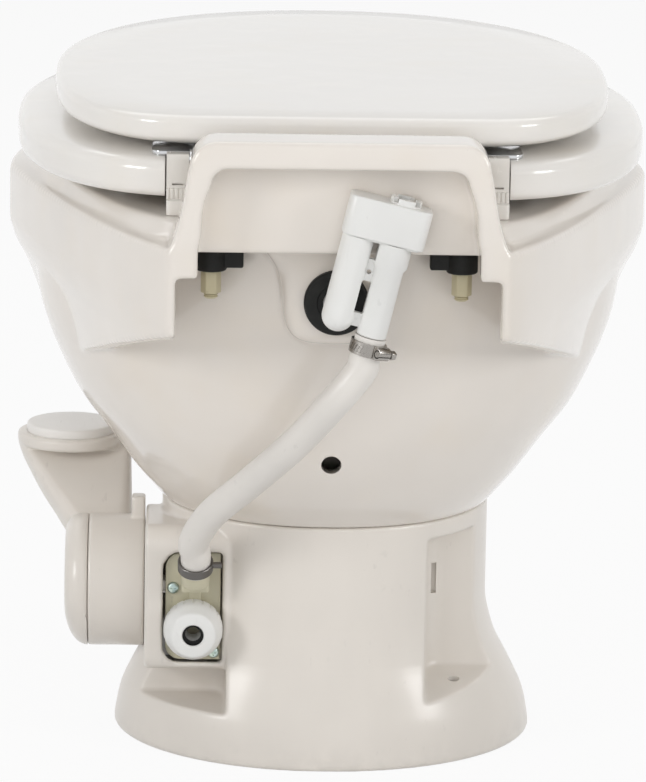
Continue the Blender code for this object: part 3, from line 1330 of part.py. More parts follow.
apron_level_shares = (0.312, 0.4355, 0.527, 0.618, 0.704, 0.742, 0.780, 0.828, 0.914, 0.968, 1.0)
apron_width_shares = (0.460, 0.662, 0.742, 0.812, 0.855, 0.903, 0.968, 1.000, 1.000, 0.980, 0.940)
apron_rear_shares = (0.88, 0.93, 0.955, 0.975, 0.985, 0.99, 1.0, 1.0, 1.0, 1.0, 1.0)
apron_wide_y_share = -0.12


def apron_rings(inset):
    """Rings of the rim band and the skirt that runs back from it."""
    neck_front = OUTLET_Y - NECK_HALF_DEPTH
    rings = []
    for level_share, width, rear in zip(apron_level_shares, apron_width_shares, apron_rear_shares):
        height = BOWL_FLOOR_Z + (RIM_EDGE_Z - BOWL_FLOOR_Z) * level_share
        half_width = mix(NECK_HALF_WIDTH, RIM_HALF_WIDTH, width) - inset
        front_y = mix(neck_front, -FRONT_REACH + RIM_SETBACK, width) + inset
        rear_y = mix(BODY_REAR, REAR_REACH, rear) - inset
        flat = LEDGE_HALF_FOOT - inset * 0.6
        outline = egg(half_width, front_y, rear_y, FRONT_REACH * apron_wide_y_share, flat, 2.15, 1.2)
        rings.append(level(outline, height))
    return rings


def crown_rings():
    """Rings that close the rim's top: a soft edge, a slope and a flat crown."""
    rings = []
    crown_half = SEAT_HALF_WIDTH - 2.5 * SEAT_ROUND
    edge_half = mix(NECK_HALF_WIDTH, RIM_HALF_WIDTH, apron_width_shares[-1])
    edge_front = mix(OUTLET_Y - NECK_HALF_DEPTH, -FRONT_REACH + RIM_SETBACK, apron_width_shares[-1])
    crown_rear = LEDGE_FRONT_Y - OVERRUN
    for share, rise in ((0.18, 0.22), (0.55, 0.60), (0.90, 0.93), (1.0, 1.0)):
        half_width = mix(edge_half, crown_half, share)
        front_y = mix(edge_front, -FRONT_REACH + 3.5 * SEAT_ROUND, share)
        rear_y = mix(REAR_REACH, crown_rear, share)
        flat = mix(LEDGE_HALF_FOOT, LEDGE_HALF_FOOT * 0.92, share)
        outline = egg(half_width, front_y, rear_y, FRONT_REACH * apron_wide_y_share, flat, 2.15,
                      mix(1.2, 1.5, share))
        rings.append(level(outline, mix(RIM_EDGE_Z, CROWN_Z, rise)))
    return rings


def apron_solid():
    """Rim and skirt, hollow under the rear deck and cut off on a slope below."""
    apron = helper("apron", skin("apron", apron_rings(0) + crown_rings()))
    inner = [ring for ring in apron_rings(APRON_WALL) if ring[0].z < DECK_UNDER_Z - OVERRUN]
    inner.append([Vector((point.x, point.y, DECK_UNDER_Z)) for point in inner[-1]])
    inner.insert(0, [Vector((point.x, point.y, BASE_HEIGHT)) for point in inner[0]])
    hollow = helper("apron hollow", skin("apron hollow", inner))
    reach = RIM_HALF_WIDTH + OVERRUN
    ahead = block("hollow front", (-reach, -FRONT_REACH, BASE_HEIGHT - OVERRUN), (reach, 0, CROWN_Z))
    cut(hollow, helper("hollow front", ahead))
    rear_low = RIM_EDGE_Z - APRON_REAR_DROP
    front_y = -FRONT_REACH / 8
    front_low = rear_low - (REAR_REACH - front_y) * APRON_SLOPE
    far = REAR_REACH + 2 * OVERRUN
    bottom = BASE_HEIGHT
    outline = [(front_y, bottom), (far, bottom), (far, rear_low), (front_y, front_low)]
    slope = helper("skirt slope",
                   prism("skirt slope", outline, "X", -RIM_HALF_WIDTH - OVERRUN, RIM_HALF_WIDTH + OVERRUN))
    cut(apron, hollow, slope)
    return apron


def ledge_outline(low_z):
    """Rear outline of the raised ledge, leaning in to rounded top corners."""
    turn = LEDGE_CORNER
    corner = LEDGE_TOP_Z - turn
    half = LEDGE_HALF_TOP - turn
    right = [(LEDGE_HALF_FOOT, low_z), (LEDGE_HALF_FOOT, RIM_EDGE_Z)]
    for share, spread in ((0.16, 0.66), (0.42, 0.34), (0.62, 0.16)):
        right.append((mix(LEDGE_HALF_TOP, LEDGE_HALF_FOOT, spread), mix(RIM_EDGE_Z, LEDGE_TOP_Z, share)))
    right += arc((half, corner), turn, 0, math.pi / 2, 5)
    return right + [(-x, z) for x, z in reversed(right)]


def recess_outline():
    """Rear outline of the bay in the ledge, open below into the skirt's bay."""
    frame = LEDGE_FRAME
    turn = LEDGE_CORNER - LEDGE_FRAME / 2
    top = LEDGE_TOP_Z - frame - LEDGE_ROUND
    half = LEDGE_HALF_TOP - frame - turn
    low = DECK_UNDER_Z - LEDGE_WALL - OVERRUN
    right = [(LEDGE_HALF_FOOT - frame, low), (LEDGE_HALF_FOOT - frame, RIM_EDGE_Z)]
    for share, spread in ((0.16, 0.66), (0.42, 0.34)):
        right.append((mix(LEDGE_HALF_TOP, LEDGE_HALF_FOOT, spread) - frame,
                      mix(RIM_EDGE_Z, LEDGE_TOP_Z, share)))
    right += arc((half, top - turn), turn, 0, math.pi / 2, 5)
    return right + [(-x, z) for x, z in reversed(right)]


def ledge_solid():
    """Raised rear ledge with its edges rounded."""
    low_z = DECK_UNDER_Z + OVERRUN
    shape = prism("ledge", ledge_outline(low_z), "Y", LEDGE_FRONT_Y, REAR_REACH)
    ledge = helper("ledge", shape)
    soften(ledge, LEDGE_ROUND)
    return ledge


basin_level_shares = (-0.04, 0.02, 0.075, 0.14, 0.245, 0.385, 0.54, 0.73, 0.90, 1.0, 1.08)
basin_spread_shares = (0, 0, 0.16, 0.38, 0.62, 0.79, 0.92, 0.99, 1.0, 0.96, 0.92)
basin_middle_shares = (0, 0, 0.15, 0.35, 0.60, 0.78, 0.90, 1.0, 1.0, 1.0, 1.0)


def basin_rings(grow, low_z):
    """Rings of the basin from the round outlet to the egg-shaped mouth."""
    rings = []
    for level_share, spread, middle in zip(basin_level_shares, basin_spread_shares, basin_middle_shares):
        height = max(BOWL_FLOOR_Z + (RIM_EDGE_Z - BOWL_FLOOR_Z) * level_share, low_z)
        half_width = mix(OUTLET_RADIUS, BASIN_HALF_WIDTH, spread) + grow
        front_y = mix(OUTLET_Y - OUTLET_RADIUS, -BASIN_FRONT, spread) - grow
        rear_y = mix(OUTLET_Y + OUTLET_RADIUS, BASIN_REAR, spread) + grow
        wide_y = OUTLET_Y - BODY_MIDDLE_SHIFT * middle
        outline = egg(half_width, front_y, rear_y, wide_y, 0.03 * half_width, 2.05, 2.05, 8)
        rings.append(level(outline, height))
    return rings


def basin_shell():
    """Outside of the basin's wall, from the outlet up into the rim."""
    rings = basin_rings(BASIN_WALL, BOWL_FLOOR_Z)
    top = DECK_UNDER_Z - OVERRUN
    kept = [ring for ring in rings if ring[0].z < top]
    kept.append([Vector((point.x, point.y, top)) for point in kept[-1]])
    return helper("basin shell", skin("basin shell", kept[1:]))


def under_hollow():
    """Cutter for the hollow between the outer skin and the basin."""
    top = DECK_UNDER_Z - 2 * OVERRUN
    rings = body_rings(SHELL_WALL, BOWL_FLOOR_Z, top)
    rings[0] = [Vector((point.x, point.y, BOWL_FLOOR_Z - OVERRUN)) for point in rings[0]]
    kept = [ring for ring in rings if ring[0].z < top]
    kept.append([Vector((point.x, point.y, top)) for point in kept[-1]])
    return helper("under hollow", skin("under hollow", kept))


def inlet_boss():
    """Rounded swelling on the body's rear that carries the grommet."""
    rings = []
    for share, size in ((0, 1.10), (0.55, 1.06), (0.80, 0.98), (0.94, 0.88), (1.0, 0.78)):
        y = mix(BOSS_FACE_Y - BOSS_DEPTH, BOSS_FACE_Y, share)
        ring = []
        for x, z in arc((0, 0), 1, 0, 2 * math.pi * 23 / 24, 23):
            ring.append(Vector((x * BOSS_HALF_WIDTH * size, y, BREAKER_Z + z * BOSS_HALF_HEIGHT * size)))
        rings.append(ring)
    return helper("inlet boss", skin("inlet boss", rings))


def make_bowl():
    """China bowl: body, rim, skirt, ledge and basin as one casting."""
    bowl = piece("bowl", skin("bowl", body_rings(0, BOWL_FLOOR_Z, CROWN_Z)), CHINA)
    cut(bowl, under_hollow())
    fuse(bowl, apron_solid(), ledge_solid(), inlet_boss(), basin_shell())
    duct = rod("water duct", DUCT_RADIUS, (0, BASIN_REAR - BASIN_WALL, BREAKER_Z),
               (0, BODY_REAR - SHELL_WALL / 2, BREAKER_Z), 20)
    fuse(bowl, helper("water duct", duct))
    cut(bowl, helper("basin", skin("basin", basin_rings(0, BASE_HEIGHT - OVERRUN))))
    recess = prism("ledge bay", recess_outline(), "Y", LEDGE_FRONT_Y + LEDGE_WALL, REAR_REACH + OVERRUN)
    gap_low = (-APRON_HALF_GAP, BODY_REAR + 2 * APRON_WALL, BASE_HEIGHT)
    gap_high = (APRON_HALF_GAP, REAR_REACH + OVERRUN, DECK_UNDER_Z - LEDGE_WALL)
    cut(bowl, helper("ledge bay", recess), helper("skirt gap", block("skirt gap", gap_low, gap_high)))
    inlet = rod("inlet hole", INLET_HOLE_RADIUS, (0, OUTLET_Y, BREAKER_Z), (0, REAR_REACH, BREAKER_Z))
    weep = rod("weep hole", WEEP_RADIUS, (0, OUTLET_Y + NECK_HALF_DEPTH, WEEP_Z), (0, REAR_REACH, WEEP_Z),
               SMALL_STEPS)
    cut(bowl, helper("inlet hole", inlet), helper("weep hole", weep))
    for name, side in (("left bolt hole", 1), ("right bolt hole", -1)):
        x = side * BOLT_SPACING / 2
        hole = rod(name, BOLT_RADIUS + GAP, (x, BOLT_Y, DECK_UNDER_Z - OVERRUN),
                   (x, BOLT_Y, CROWN_Z + OVERRUN), SMALL_STEPS)
        cut(bowl, helper(name, hole))
    return bowl


# Seat and lid

def seat_outline(inset):
    """Plan of the seat's outside."""
    flat = SEAT_HALF_WIDTH * 0.38
    return egg(SEAT_HALF_WIDTH - inset, -FRONT_REACH + inset, SEAT_REAR - inset, -FRONT_REACH * 0.08,
               flat - inset / 2, 2.15, 2.4, 12)


def hole_outline(grow):
    """Plan of the seat's opening."""
    flat = SEAT_HOLE_HALF_WIDTH * 0.12
    return egg(SEAT_HOLE_HALF_WIDTH + grow, -SEAT_HOLE_FRONT - grow, SEAT_HOLE_REAR + grow,
               -FRONT_REACH * 0.08, flat, 2.1, 2.2, 10)


def lid_outline(inset):
    """Plan of the lid."""
    flat = LID_HALF_WIDTH * 0.43
    return egg(LID_HALF_WIDTH - inset, -LID_FRONT + inset, LID_REAR - inset, -FRONT_REACH * 0.06,
               flat - inset / 2, 2.15, 2.6, 12)


def make_seat(frame):
    """Ring seat with rounded edges, notched for the hinge posts."""
    table = ((0, 0.55), (0.12, 0.12), (0.28, 0), (0.68, 0), (0.88, 0.30), (1.0, 1.0))
    rings = []
    for share, inset in table:
        rings.append(level(seat_outline(SEAT_ROUND * inset), mix(SEAT_LOW_Z, SEAT_TOP_Z, share)))
    seat = piece("seat", skin("seat", rings), ENAMEL, frame)
    opening = []
    for share, grow in ((-0.1, 0.9), (0, 0.55), (0.2, 0), (0.75, 0), (0.92, 0.35), (1.0, 1.0), (1.1, 1.3)):
        opening.append(level(hole_outline(SEAT_ROUND * grow), mix(SEAT_LOW_Z, SEAT_TOP_Z, share)))
    cut(seat, helper("seat opening", skin("seat opening", opening)))
    for name, side in (("left notch", 1), ("right notch", -1)):
        inner = hinge_inner_x() - NOTCH_MARGIN
        outer = post_outer_x() + NOTCH_MARGIN
        low = (min(side * inner, side * outer), HINGE_Y - NOTCH_FRONT, SEAT_LOW_Z - OVERRUN)
        high = (max(side * inner, side * outer), SEAT_REAR + OVERRUN, SEAT_TOP_Z + OVERRUN)
        cut(seat, helper(name, block(name, low, high)))
    return seat


def make_lid(frame):
    """Plain lid, rounded at the edge and slightly crowned."""
    table = ((0, 1.0), (0.10, 0.45), (0.25, 0.08), (0.45, 0), (0.70, 0.08), (0.88, 0.38), (1.0, 1.0))
    rings = []
    for share, inset in table:
        rings.append(level(lid_outline(LID_ROUND * inset), mix(LID_LOW_Z, LID_TOP_Z, share)))
    rings.append(level(lid_outline(6 * LID_ROUND), LID_TOP_Z + LID_CROWN))
    return piece("lid", skin("lid", rings), ENAMEL, frame)


def bumper(name, x, y, low, high, radius, frame):
    """A round rubber bumper with a softened foot."""
    height = high - low
    edge = radius * 0.15
    profile = [(0, 0), (radius * 0.8, 0), (radius, edge), (radius, height), (0, height)]
    return piece(name, turned(name, profile, (x, y, low), (0, 0, 1), SMALL_STEPS), PAD_PLASTIC, frame)


def make_bumpers(seat_frame, lid_frame):
    """Four bumpers under the seat and four under the lid."""
    side_x = (SEAT_HALF_WIDTH + SEAT_HOLE_HALF_WIDTH) / 2
    front_x = SEAT_HOLE_HALF_WIDTH
    rear_y = FRONT_REACH * 0.14
    front_y = -FRONT_REACH * 0.62
    places = ((side_x, rear_y), (-side_x, rear_y), (front_x, front_y), (-front_x, front_y))
    for index, (x, y) in enumerate(places):
        number = index + 1
        bumper(f"seat_bumper_{number}", x * 0.96, y, CROWN_Z + GAP, SEAT_LOW_Z - GAP, SEAT_BUMPER_RADIUS,
               seat_frame)
        bumper(f"lid_bumper_{number}", x * 0.93, y + LID_BUMPER_RADIUS, SEAT_TOP_Z + GAP, LID_LOW_Z - GAP,
               LID_BUMPER_RADIUS, lid_frame)


# Seat hinges

def hinge_inner_x():
    """Inner end of the hinge knuckles."""
    return BOLT_SPACING / 2 - BOLT_HEAD_RADIUS


def post_inner_x():
    """Inner face of the hinge post, past both leaves' knuckles."""
    return hinge_inner_x() + 2 * LEAF_WIDTH + 3 * GAP


def post_outer_x():
    """Outer face of the hinge post."""
    return post_inner_x() + POST_WIDTH


def mirrored(side, low, high):
    """Two distances from the middle, set on one side and in rising order."""
    return min(side * low, side * high), max(side * low, side * high)


def make_post(side, tag):
    """Plastic hinge post: a foot on the rim and an upright with the pin's bore."""
    name = "hinge_post_" + tag
    low_x, high_x = mirrored(side, post_inner_x(), post_outer_x())
    foot_z = CROWN_Z + GAP
    outline = [(HINGE_Y - KNUCKLE_RADIUS, foot_z), (HINGE_Y + KNUCKLE_RADIUS, foot_z)]
    outline += arc((HINGE_Y, HINGE_Z), KNUCKLE_RADIUS, 0, math.pi, 8)
    post = piece(name, prism(name, outline, "X", low_x, high_x), SHELL_PLASTIC)
    foot_low, foot_high = mirrored(side, hinge_inner_x(), post_outer_x())
    foot = block("foot " + tag, (foot_low, HINGE_Y - POST_BASE_FRONT, foot_z),
                 (foot_high, HINGE_Y + POST_BASE_REAR, foot_z + POST_BASE_HEIGHT))
    foot_tool = helper("foot " + tag, foot)
    soften(foot_tool, EDGE_RADIUS)
    fuse(post, foot_tool)
    pin = rod("pin bore " + tag, PIN_RADIUS + GAP, (low_x - OVERRUN, HINGE_Y, HINGE_Z),
              (high_x + OVERRUN, HINGE_Y, HINGE_Z), SMALL_STEPS)
    bolt_x = side * BOLT_SPACING / 2
    bolt = rod("bolt bore " + tag, BOLT_RADIUS + GAP, (bolt_x, BOLT_Y, foot_z - OVERRUN),
               (bolt_x, BOLT_Y, foot_z + 2 * POST_BASE_HEIGHT), SMALL_STEPS)
    cut(post, helper("pin bore " + tag, pin), helper("bolt bore " + tag, bolt))
    return post


def make_leaf(name, side, start, low, frame):
    """Chrome hinge leaf: a flat strap ending in a knuckle round the pin."""
    low_x, high_x = mirrored(side, start, start + LEAF_WIDTH)
    outline = [(HINGE_Y - LEAF_REACH, low), (HINGE_Y, low), (HINGE_Y, low + LEAF_THICK),
               (HINGE_Y - LEAF_REACH, low + LEAF_THICK)]
    leaf = piece(name, prism(name, outline, "X", low_x, high_x), CHROME, frame)
    knuckle = rod(name + " knuckle", KNUCKLE_RADIUS, (low_x, HINGE_Y, HINGE_Z), (high_x, HINGE_Y, HINGE_Z),
                  20)
    bore = rod(name + " bore", PIN_RADIUS + GAP, (low_x - OVERRUN, HINGE_Y, HINGE_Z),
               (high_x + OVERRUN, HINGE_Y, HINGE_Z), SMALL_STEPS)
    fuse(leaf, helper(name + " knuckle", knuckle))
    cut(leaf, helper(name + " bore", bore))
    return leaf


def make_pin(side, tag):
    """Hinge pin from the inner leaf through the post."""
    low_x, high_x = mirrored(side, hinge_inner_x(), post_outer_x() + GAP)
    mesh = rod("hinge_pin_" + tag, PIN_RADIUS, (low_x, HINGE_Y, HINGE_Z), (high_x, HINGE_Y, HINGE_Z),
               SMALL_STEPS)
    return piece("hinge_pin_" + tag, mesh, CHROME)


def nut_bottom():
    """Underside of the nut below its rubber bushing."""
    return DECK_UNDER_Z - GAP - BUSHING_HEIGHT - GAP - NUT_HEIGHT


def make_bolt(side, tag):
    """Nylon hinge bolt from the post's foot down through the rim."""
    x = side * BOLT_SPACING / 2
    head = CROWN_Z + GAP + POST_BASE_HEIGHT + GAP
    low = nut_bottom() - BOLT_TAIL
    profile = [(0, low), (BOLT_RADIUS, low), (BOLT_RADIUS, head), (BOLT_HEAD_RADIUS, head),
               (BOLT_HEAD_RADIUS * 0.8, head + BOLT_HEAD_HEIGHT), (0, head + BOLT_HEAD_HEIGHT)]
    mesh = turned("hinge_bolt_" + tag, profile, (x, BOLT_Y, 0), (0, 0, 1), SMALL_STEPS)
    return piece("hinge_bolt_" + tag, mesh, NYLON)


def make_bushing(side, tag):
    """Black rubber bushing under the rim, with a tab toward the middle."""
    x = side * BOLT_SPACING / 2
    top = DECK_UNDER_Z - GAP
    low = top - BUSHING_HEIGHT
    name = "bolt_bushing_" + tag
    bushing = piece(name, rod(name, BUSHING_RADIUS, (x, BOLT_Y, low), (x, BOLT_Y, top), 24), BLACK_RUBBER)
    low_x, high_x = mirrored(side, BOLT_SPACING / 2 - BUSHING_TAB_LENGTH, BOLT_SPACING / 2)
    tab = block("tab " + tag, (low_x, BOLT_Y - BUSHING_TAB_WIDTH / 2, top - BUSHING_TAB_THICK),
                (high_x, BOLT_Y + BUSHING_TAB_WIDTH / 2, top - GAP))
    bore = rod("bushing bore " + tag, BOLT_RADIUS + GAP, (x, BOLT_Y, low - OVERRUN),
               (x, BOLT_Y, top + OVERRUN), SMALL_STEPS)
    fuse(bushing, helper("tab " + tag, tab))
    cut(bushing, helper("bushing bore " + tag, bore))
    return bushing


def make_nut(side, tag):
    """Hexagon nylon nut on the hinge bolt."""
    x = side * BOLT_SPACING / 2
    low = nut_bottom()
    name = "bolt_nut_" + tag
    inner = BOLT_RADIUS + GAP
    mesh = ring_bar(name, inner, NUT_RADIUS, (x, BOLT_Y, low), (x, BOLT_Y, low + NUT_HEIGHT), 18)
    return piece(name, mesh, NYLON)


def make_hinges(seat_frame, lid_frame):
    """Both hinges with their fixings through the rim."""
    inner = hinge_inner_x()
    for side, tag in ((1, "left"), (-1, "right")):
        make_post(side, tag)
        make_leaf("lid_leaf_" + tag, side, inner + GAP, LID_LOW_Z - GAP - LEAF_THICK, lid_frame)
        make_leaf("seat_leaf_" + tag, side, inner + LEAF_WIDTH + 2 * GAP, SEAT_TOP_Z + GAP, seat_frame)
        make_pin(side, tag)
        make_bolt(side, tag)
        make_bushing(side, tag)
        make_nut(side, tag)


# Whole toilet

def make_fixed():
    """Everything that stays still."""
    make_base()
    make_floor_seal()
    make_ball_seal()
    make_bowl()
    make_bush()
    make_idle_pin()
    make_water_valve()
    make_screw("valve_screw_upper", SCREW_UPPER_X, SCREW_UPPER_Z)
    make_screw("valve_screw_lower", SCREW_LOWER_X, SCREW_LOWER_Z)
    make_fitting()
    make_washer()
    make_hose()
    make_upper_clamp()
    make_lower_clamp()
    make_grommet()


def make_moving():
    """Everything on a joint, each group under an empty on its axis."""
    drive = axis_frame("pedal axis", BALL_CENTRE)
    make_ball(drive)
    make_shaft(drive)
    make_cam(drive)
    make_cartridge(drive)
    make_pedal(drive)
    make_pad(drive)
    make_hub_cap(drive)
    push = axis_frame("plunger axis", Vector((CAM_X + CAM_WIDTH / 2, valve_plate_front(), BALL_AXIS_Z)))
    make_plunger(push)
    swivel = axis_frame("coupling axis", Vector((INLET_X, fitting_start(), INLET_Z)))
    make_coupling(swivel)
    seat_frame = axis_frame("seat axis", HINGE_CENTRE)
    lid_frame = axis_frame("lid axis", HINGE_CENTRE)
    make_seat(seat_frame)
    make_lid(lid_frame)
    make_bumpers(seat_frame, lid_frame)
    make_hinges(seat_frame, lid_frame)


def make_breaker():
    """Vacuum breaker in its leaning frame, with the float on its own axis."""
    frame = axis_frame("breaker frame", BREAKER_CENTRE, BREAKER_LEAN)
    make_breaker_body(frame)
    make_breaker_cap(frame)
    seat = breaker_point(-BREAKER_PITCH, BREAKER_HEIGHT + RUN_GAP)
    float_frame = axis_frame("float axis", seat, BREAKER_LEAN)
    make_float(float_frame)


def main():
    """Build the whole toilet."""
    clear_scene()
    make_fixed()
    make_moving()
    make_breaker()


main()
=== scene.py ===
"""Looks of a low-profile recreational-vehicle toilet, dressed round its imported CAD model.

Lengths are in metres, in the CAD model's frame: +Z is up, the front of the bowl
faces -Y, and the pedal is on the +X side.
"""

import logging
from dataclasses import dataclass
from enum import Enum
from math import cos, pi, radians, sin
from typing import Sequence

import bmesh
import bpy
from mathutils import Matrix, Vector


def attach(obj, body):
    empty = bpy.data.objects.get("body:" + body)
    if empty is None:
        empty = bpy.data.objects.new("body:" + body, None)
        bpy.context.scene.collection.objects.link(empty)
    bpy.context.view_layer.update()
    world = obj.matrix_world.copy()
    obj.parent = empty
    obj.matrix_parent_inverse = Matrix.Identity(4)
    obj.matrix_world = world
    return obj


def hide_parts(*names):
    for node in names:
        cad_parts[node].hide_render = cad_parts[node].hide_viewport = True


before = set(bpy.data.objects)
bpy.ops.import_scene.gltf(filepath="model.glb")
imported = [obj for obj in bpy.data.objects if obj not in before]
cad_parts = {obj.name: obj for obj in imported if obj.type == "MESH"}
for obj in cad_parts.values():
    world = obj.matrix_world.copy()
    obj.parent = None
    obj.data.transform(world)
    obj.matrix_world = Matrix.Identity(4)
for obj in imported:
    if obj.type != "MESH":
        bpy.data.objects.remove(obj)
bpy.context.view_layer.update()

LOG = logging.getLogger("toilet")
Pair = tuple[float, float]
Outline = list[Pair]
Ring = list[Vector]
Colour = tuple[float, float, float]

# The gap between pieces that touch, and how far a cutter reaches past what it cuts.
GAP = 0.0003
OVERRUN = 0.004


# Shader maths


class Field:
    """A shader socket that takes part in Python expressions."""

    def __init__(self, graph: "Graph", socket: bpy.types.NodeSocket) -> None:
        """Keep the graph that the socket belongs to.

        Args:
            graph: The node tree being built.
            socket: The output that this field stands for.
        """
        self.graph = graph
        self.socket = socket

    def maths(self, operation: str, *terms: "Field | float") -> "Field":
        """Add one Math node.

        Args:
            operation: The node's operation.
            terms: What goes into its sockets, in order.

        Returns:
            The node's result.
        """
        return self.graph.node("ShaderNodeMath", {"operation": operation}, dict(enumerate(terms)))

    def __add__(self, other: "Field | float") -> "Field":
        """Sum of two values."""
        return self.maths("ADD", self, other)

    def __radd__(self, other: float) -> "Field":
        """Sum with a number on the left."""
        return self.maths("ADD", other, self)

    def __sub__(self, other: "Field | float") -> "Field":
        """Difference of two values."""
        return self.maths("SUBTRACT", self, other)

    def __rsub__(self, other: float) -> "Field":
        """A number less this value."""
        return self.maths("SUBTRACT", other, self)

    def __mul__(self, other: "Field | float") -> "Field":
        """Product of two values."""
        return self.maths("MULTIPLY", self, other)

    def __rmul__(self, other: float) -> "Field":
        """Product with a number on the left."""
        return self.maths("MULTIPLY", other, self)

    def larger(self, other: "Field | float") -> "Field":
        """The larger of two values."""
        return self.maths("MAXIMUM", self, other)

    def ramp(self, low: float, high: float) -> "Field":
        """Ease from 0 at one value to 1 at another.

        Args:
            low: Where the result is 0.
            high: Where the result is 1.

        Returns:
            The eased share.
        """
        settings = {"interpolation_type": "SMOOTHSTEP"}
        return self.graph.node("ShaderNodeMapRange", settings, {0: self, 1: low, 2: high})


class Graph:
    """The node tree of one material or of the world."""

    def __init__(self, owner: bpy.types.ID) -> None:
        """Empty the owner's node tree."""
        owner.use_nodes = True
        self.owner = owner
        self.tree = owner.node_tree
        self.tree.nodes.clear()

    def node(self, kind: str, settings: dict | None = None, values: dict | None = None,
             output: int | str = 0) -> Field:
        """Add a node, settings first.

        Args:
            kind: The node's type.
            settings: Properties of the node.
            values: Numbers, colours or fields for its sockets, by index or name.
            output: Which output is wanted.

        Returns:
            That output.
        """
        made = self.tree.nodes.new(kind)
        for key, setting in (settings or {}).items():
            setattr(made, key, setting)
        for key, value in (values or {}).items():
            if isinstance(value, Field):
                self.tree.links.new(value.socket, made.inputs[key])
            else:
                made.inputs[key].default_value = value
        return Field(self, made.outputs[output])

    def place(self, stretch: Colour = (1, 1, 1)) -> Field:
        """Metres on the piece, stretched along its axes.

        Args:
            stretch: How many times finer a pattern is along X, Y and Z.

        Returns:
            The place as a vector.
        """
        here = self.node("ShaderNodeTexCoord", output="Object")
        if stretch == (1, 1, 1):
            return here
        return self.node("ShaderNodeVectorMath", {"operation": "MULTIPLY"}, {0: here, 1: stretch})

    def noise(self, per_metre: float, detail: float = 2.0, stretch: Colour = (1, 1, 1),
              rough: float = 0.5) -> Field:
        """Soft noise about 0.5.

        Args:
            per_metre: How many features a metre holds.
            detail: Octaves of finer noise.
            stretch: How many times finer it is along each axis.
            rough: How strong the finer octaves are.

        Returns:
            The noise's value.
        """
        values = {"Vector": self.place(stretch), "Scale": per_metre, "Detail": detail, "Roughness": rough}
        return self.node("ShaderNodeTexNoise", None, values)

    def blend(self, low: "Field | Colour", high: "Field | Colour", share: Field) -> Field:
        """Mix two colours.

        Args:
            low: The colour where the share is 0.
            high: The colour where the share is 1.
            share: How far from one to the other.

        Returns:
            The mixed colour.
        """
        ends = [end if isinstance(end, Field) else daylight(end) for end in (low, high)]
        return self.node("ShaderNodeMix", {"data_type": "RGBA"}, {0: share, 6: ends[0], 7: ends[1]}, 2)

    def bump(self, height: Field, depth: float) -> Field:
        """Bend the surface's normal by a height field.

        Args:
            height: The height, from 0 to 1.
            depth: How deep that range is, in metres.

        Returns:
            The bent normal.
        """
        return self.node("ShaderNodeBump", None, {"Height": height, "Distance": depth, "Strength": 1.0})

    def surface(self, varying: dict[str, Field], constant: dict[str, object]) -> bpy.types.Material:
        """Close the material with a Principled shader.

        Args:
            varying: Fields for the sockets that change over the surface.
            constant: Values for the sockets that are the same all over.

        Returns:
            The finished material.
        """
        shader = self.node("ShaderNodeBsdfPrincipled", None, {**constant, **varying})
        self.end(shader)
        return self.owner

    def end(self, shader: Field, kind: str = "ShaderNodeOutputMaterial") -> None:
        """Send a shader to the output."""
        self.tree.links.new(shader.socket, self.tree.nodes.new(kind).inputs["Surface"])

    def seen(self) -> Field:
        """1 on rays from the camera and on those that gloss or glass sends on."""
        rays = self.tree.nodes.new("ShaderNodeLightPath").outputs
        camera, gloss, glass = (Field(self, rays[f"Is {kind} Ray"])
                                for kind in ("Camera", "Glossy", "Transmission"))
        return camera.larger(gloss).larger(glass)


def daylight(colour: Colour) -> tuple[float, float, float, float]:
    """A colour as it reads in daylight, in the shader's linear values.

    Args:
        colour: Red, green and blue from 0 to 1 as they read on a screen.

    Returns:
        Linear red, green, blue and a full alpha.
    """
    linear = [part / 12.92 if part <= 0.04045 else ((part + 0.055) / 1.055) ** 2.4 for part in colour]
    return (linear[0], linear[1], linear[2], 1.0)


def toned(colour: Colour, change: float) -> Colour:
    """A colour made lighter or darker by a share."""
    return tuple(min(max(part * (1 + change), 0.0), 1.0) for part in colour)


# Finishes


@dataclass(frozen=True)
class Finish:
    """A named finish; each kind shades itself."""

    name: str
    colour: Colour
    roughness: float

    def material(self) -> bpy.types.Material:
        """The finish's material, made once."""
        known = bpy.data.materials.get(self.name)
        return known if known is not None else self.shade(Graph(bpy.data.materials.new(self.name)))

    def shade(self, graph: Graph) -> bpy.types.Material:
        """Build the finish's nodes."""
        raise NotImplementedError


@dataclass(frozen=True)
class Glaze(Finish):
    """Fired glaze over a pale body: deep gloss, faint waves and fine specks."""

    wave_depth: float = 0.00010
    peel_depth: float = 0.000010
    cloud: float = 0.020

    def shade(self, graph: Graph) -> bpy.types.Material:
        """Build the glaze's nodes."""
        clouds = graph.noise(7, 3).ramp(0.30, 0.70)
        tone = graph.blend(toned(self.colour, -self.cloud), toned(self.colour, self.cloud), clouds)
        warm = (self.colour[0], self.colour[1] * 0.985, self.colour[2] * 0.955)
        tone = graph.blend(tone, warm, graph.noise(19, 2).ramp(0.45, 0.80) * 0.45)
        specks = graph.noise(1500, 1).ramp(0.74, 0.80) * graph.noise(60, 1).ramp(0.45, 0.65)
        tone = graph.blend(tone, toned(self.colour, -0.22), specks * 0.35)
        height = graph.noise(16, 2) * 0.9 + graph.noise(70, 2) * (self.peel_depth / self.wave_depth)
        rough = self.roughness + graph.noise(40, 3).ramp(0.35, 0.75) * 0.05
        varying = {"Base Color": tone, "Roughness": rough, "Normal": graph.bump(height, self.wave_depth)}
        return graph.surface(varying, {"IOR": 1.52, "Coat Weight": 0.35, "Coat Roughness": 0.04})


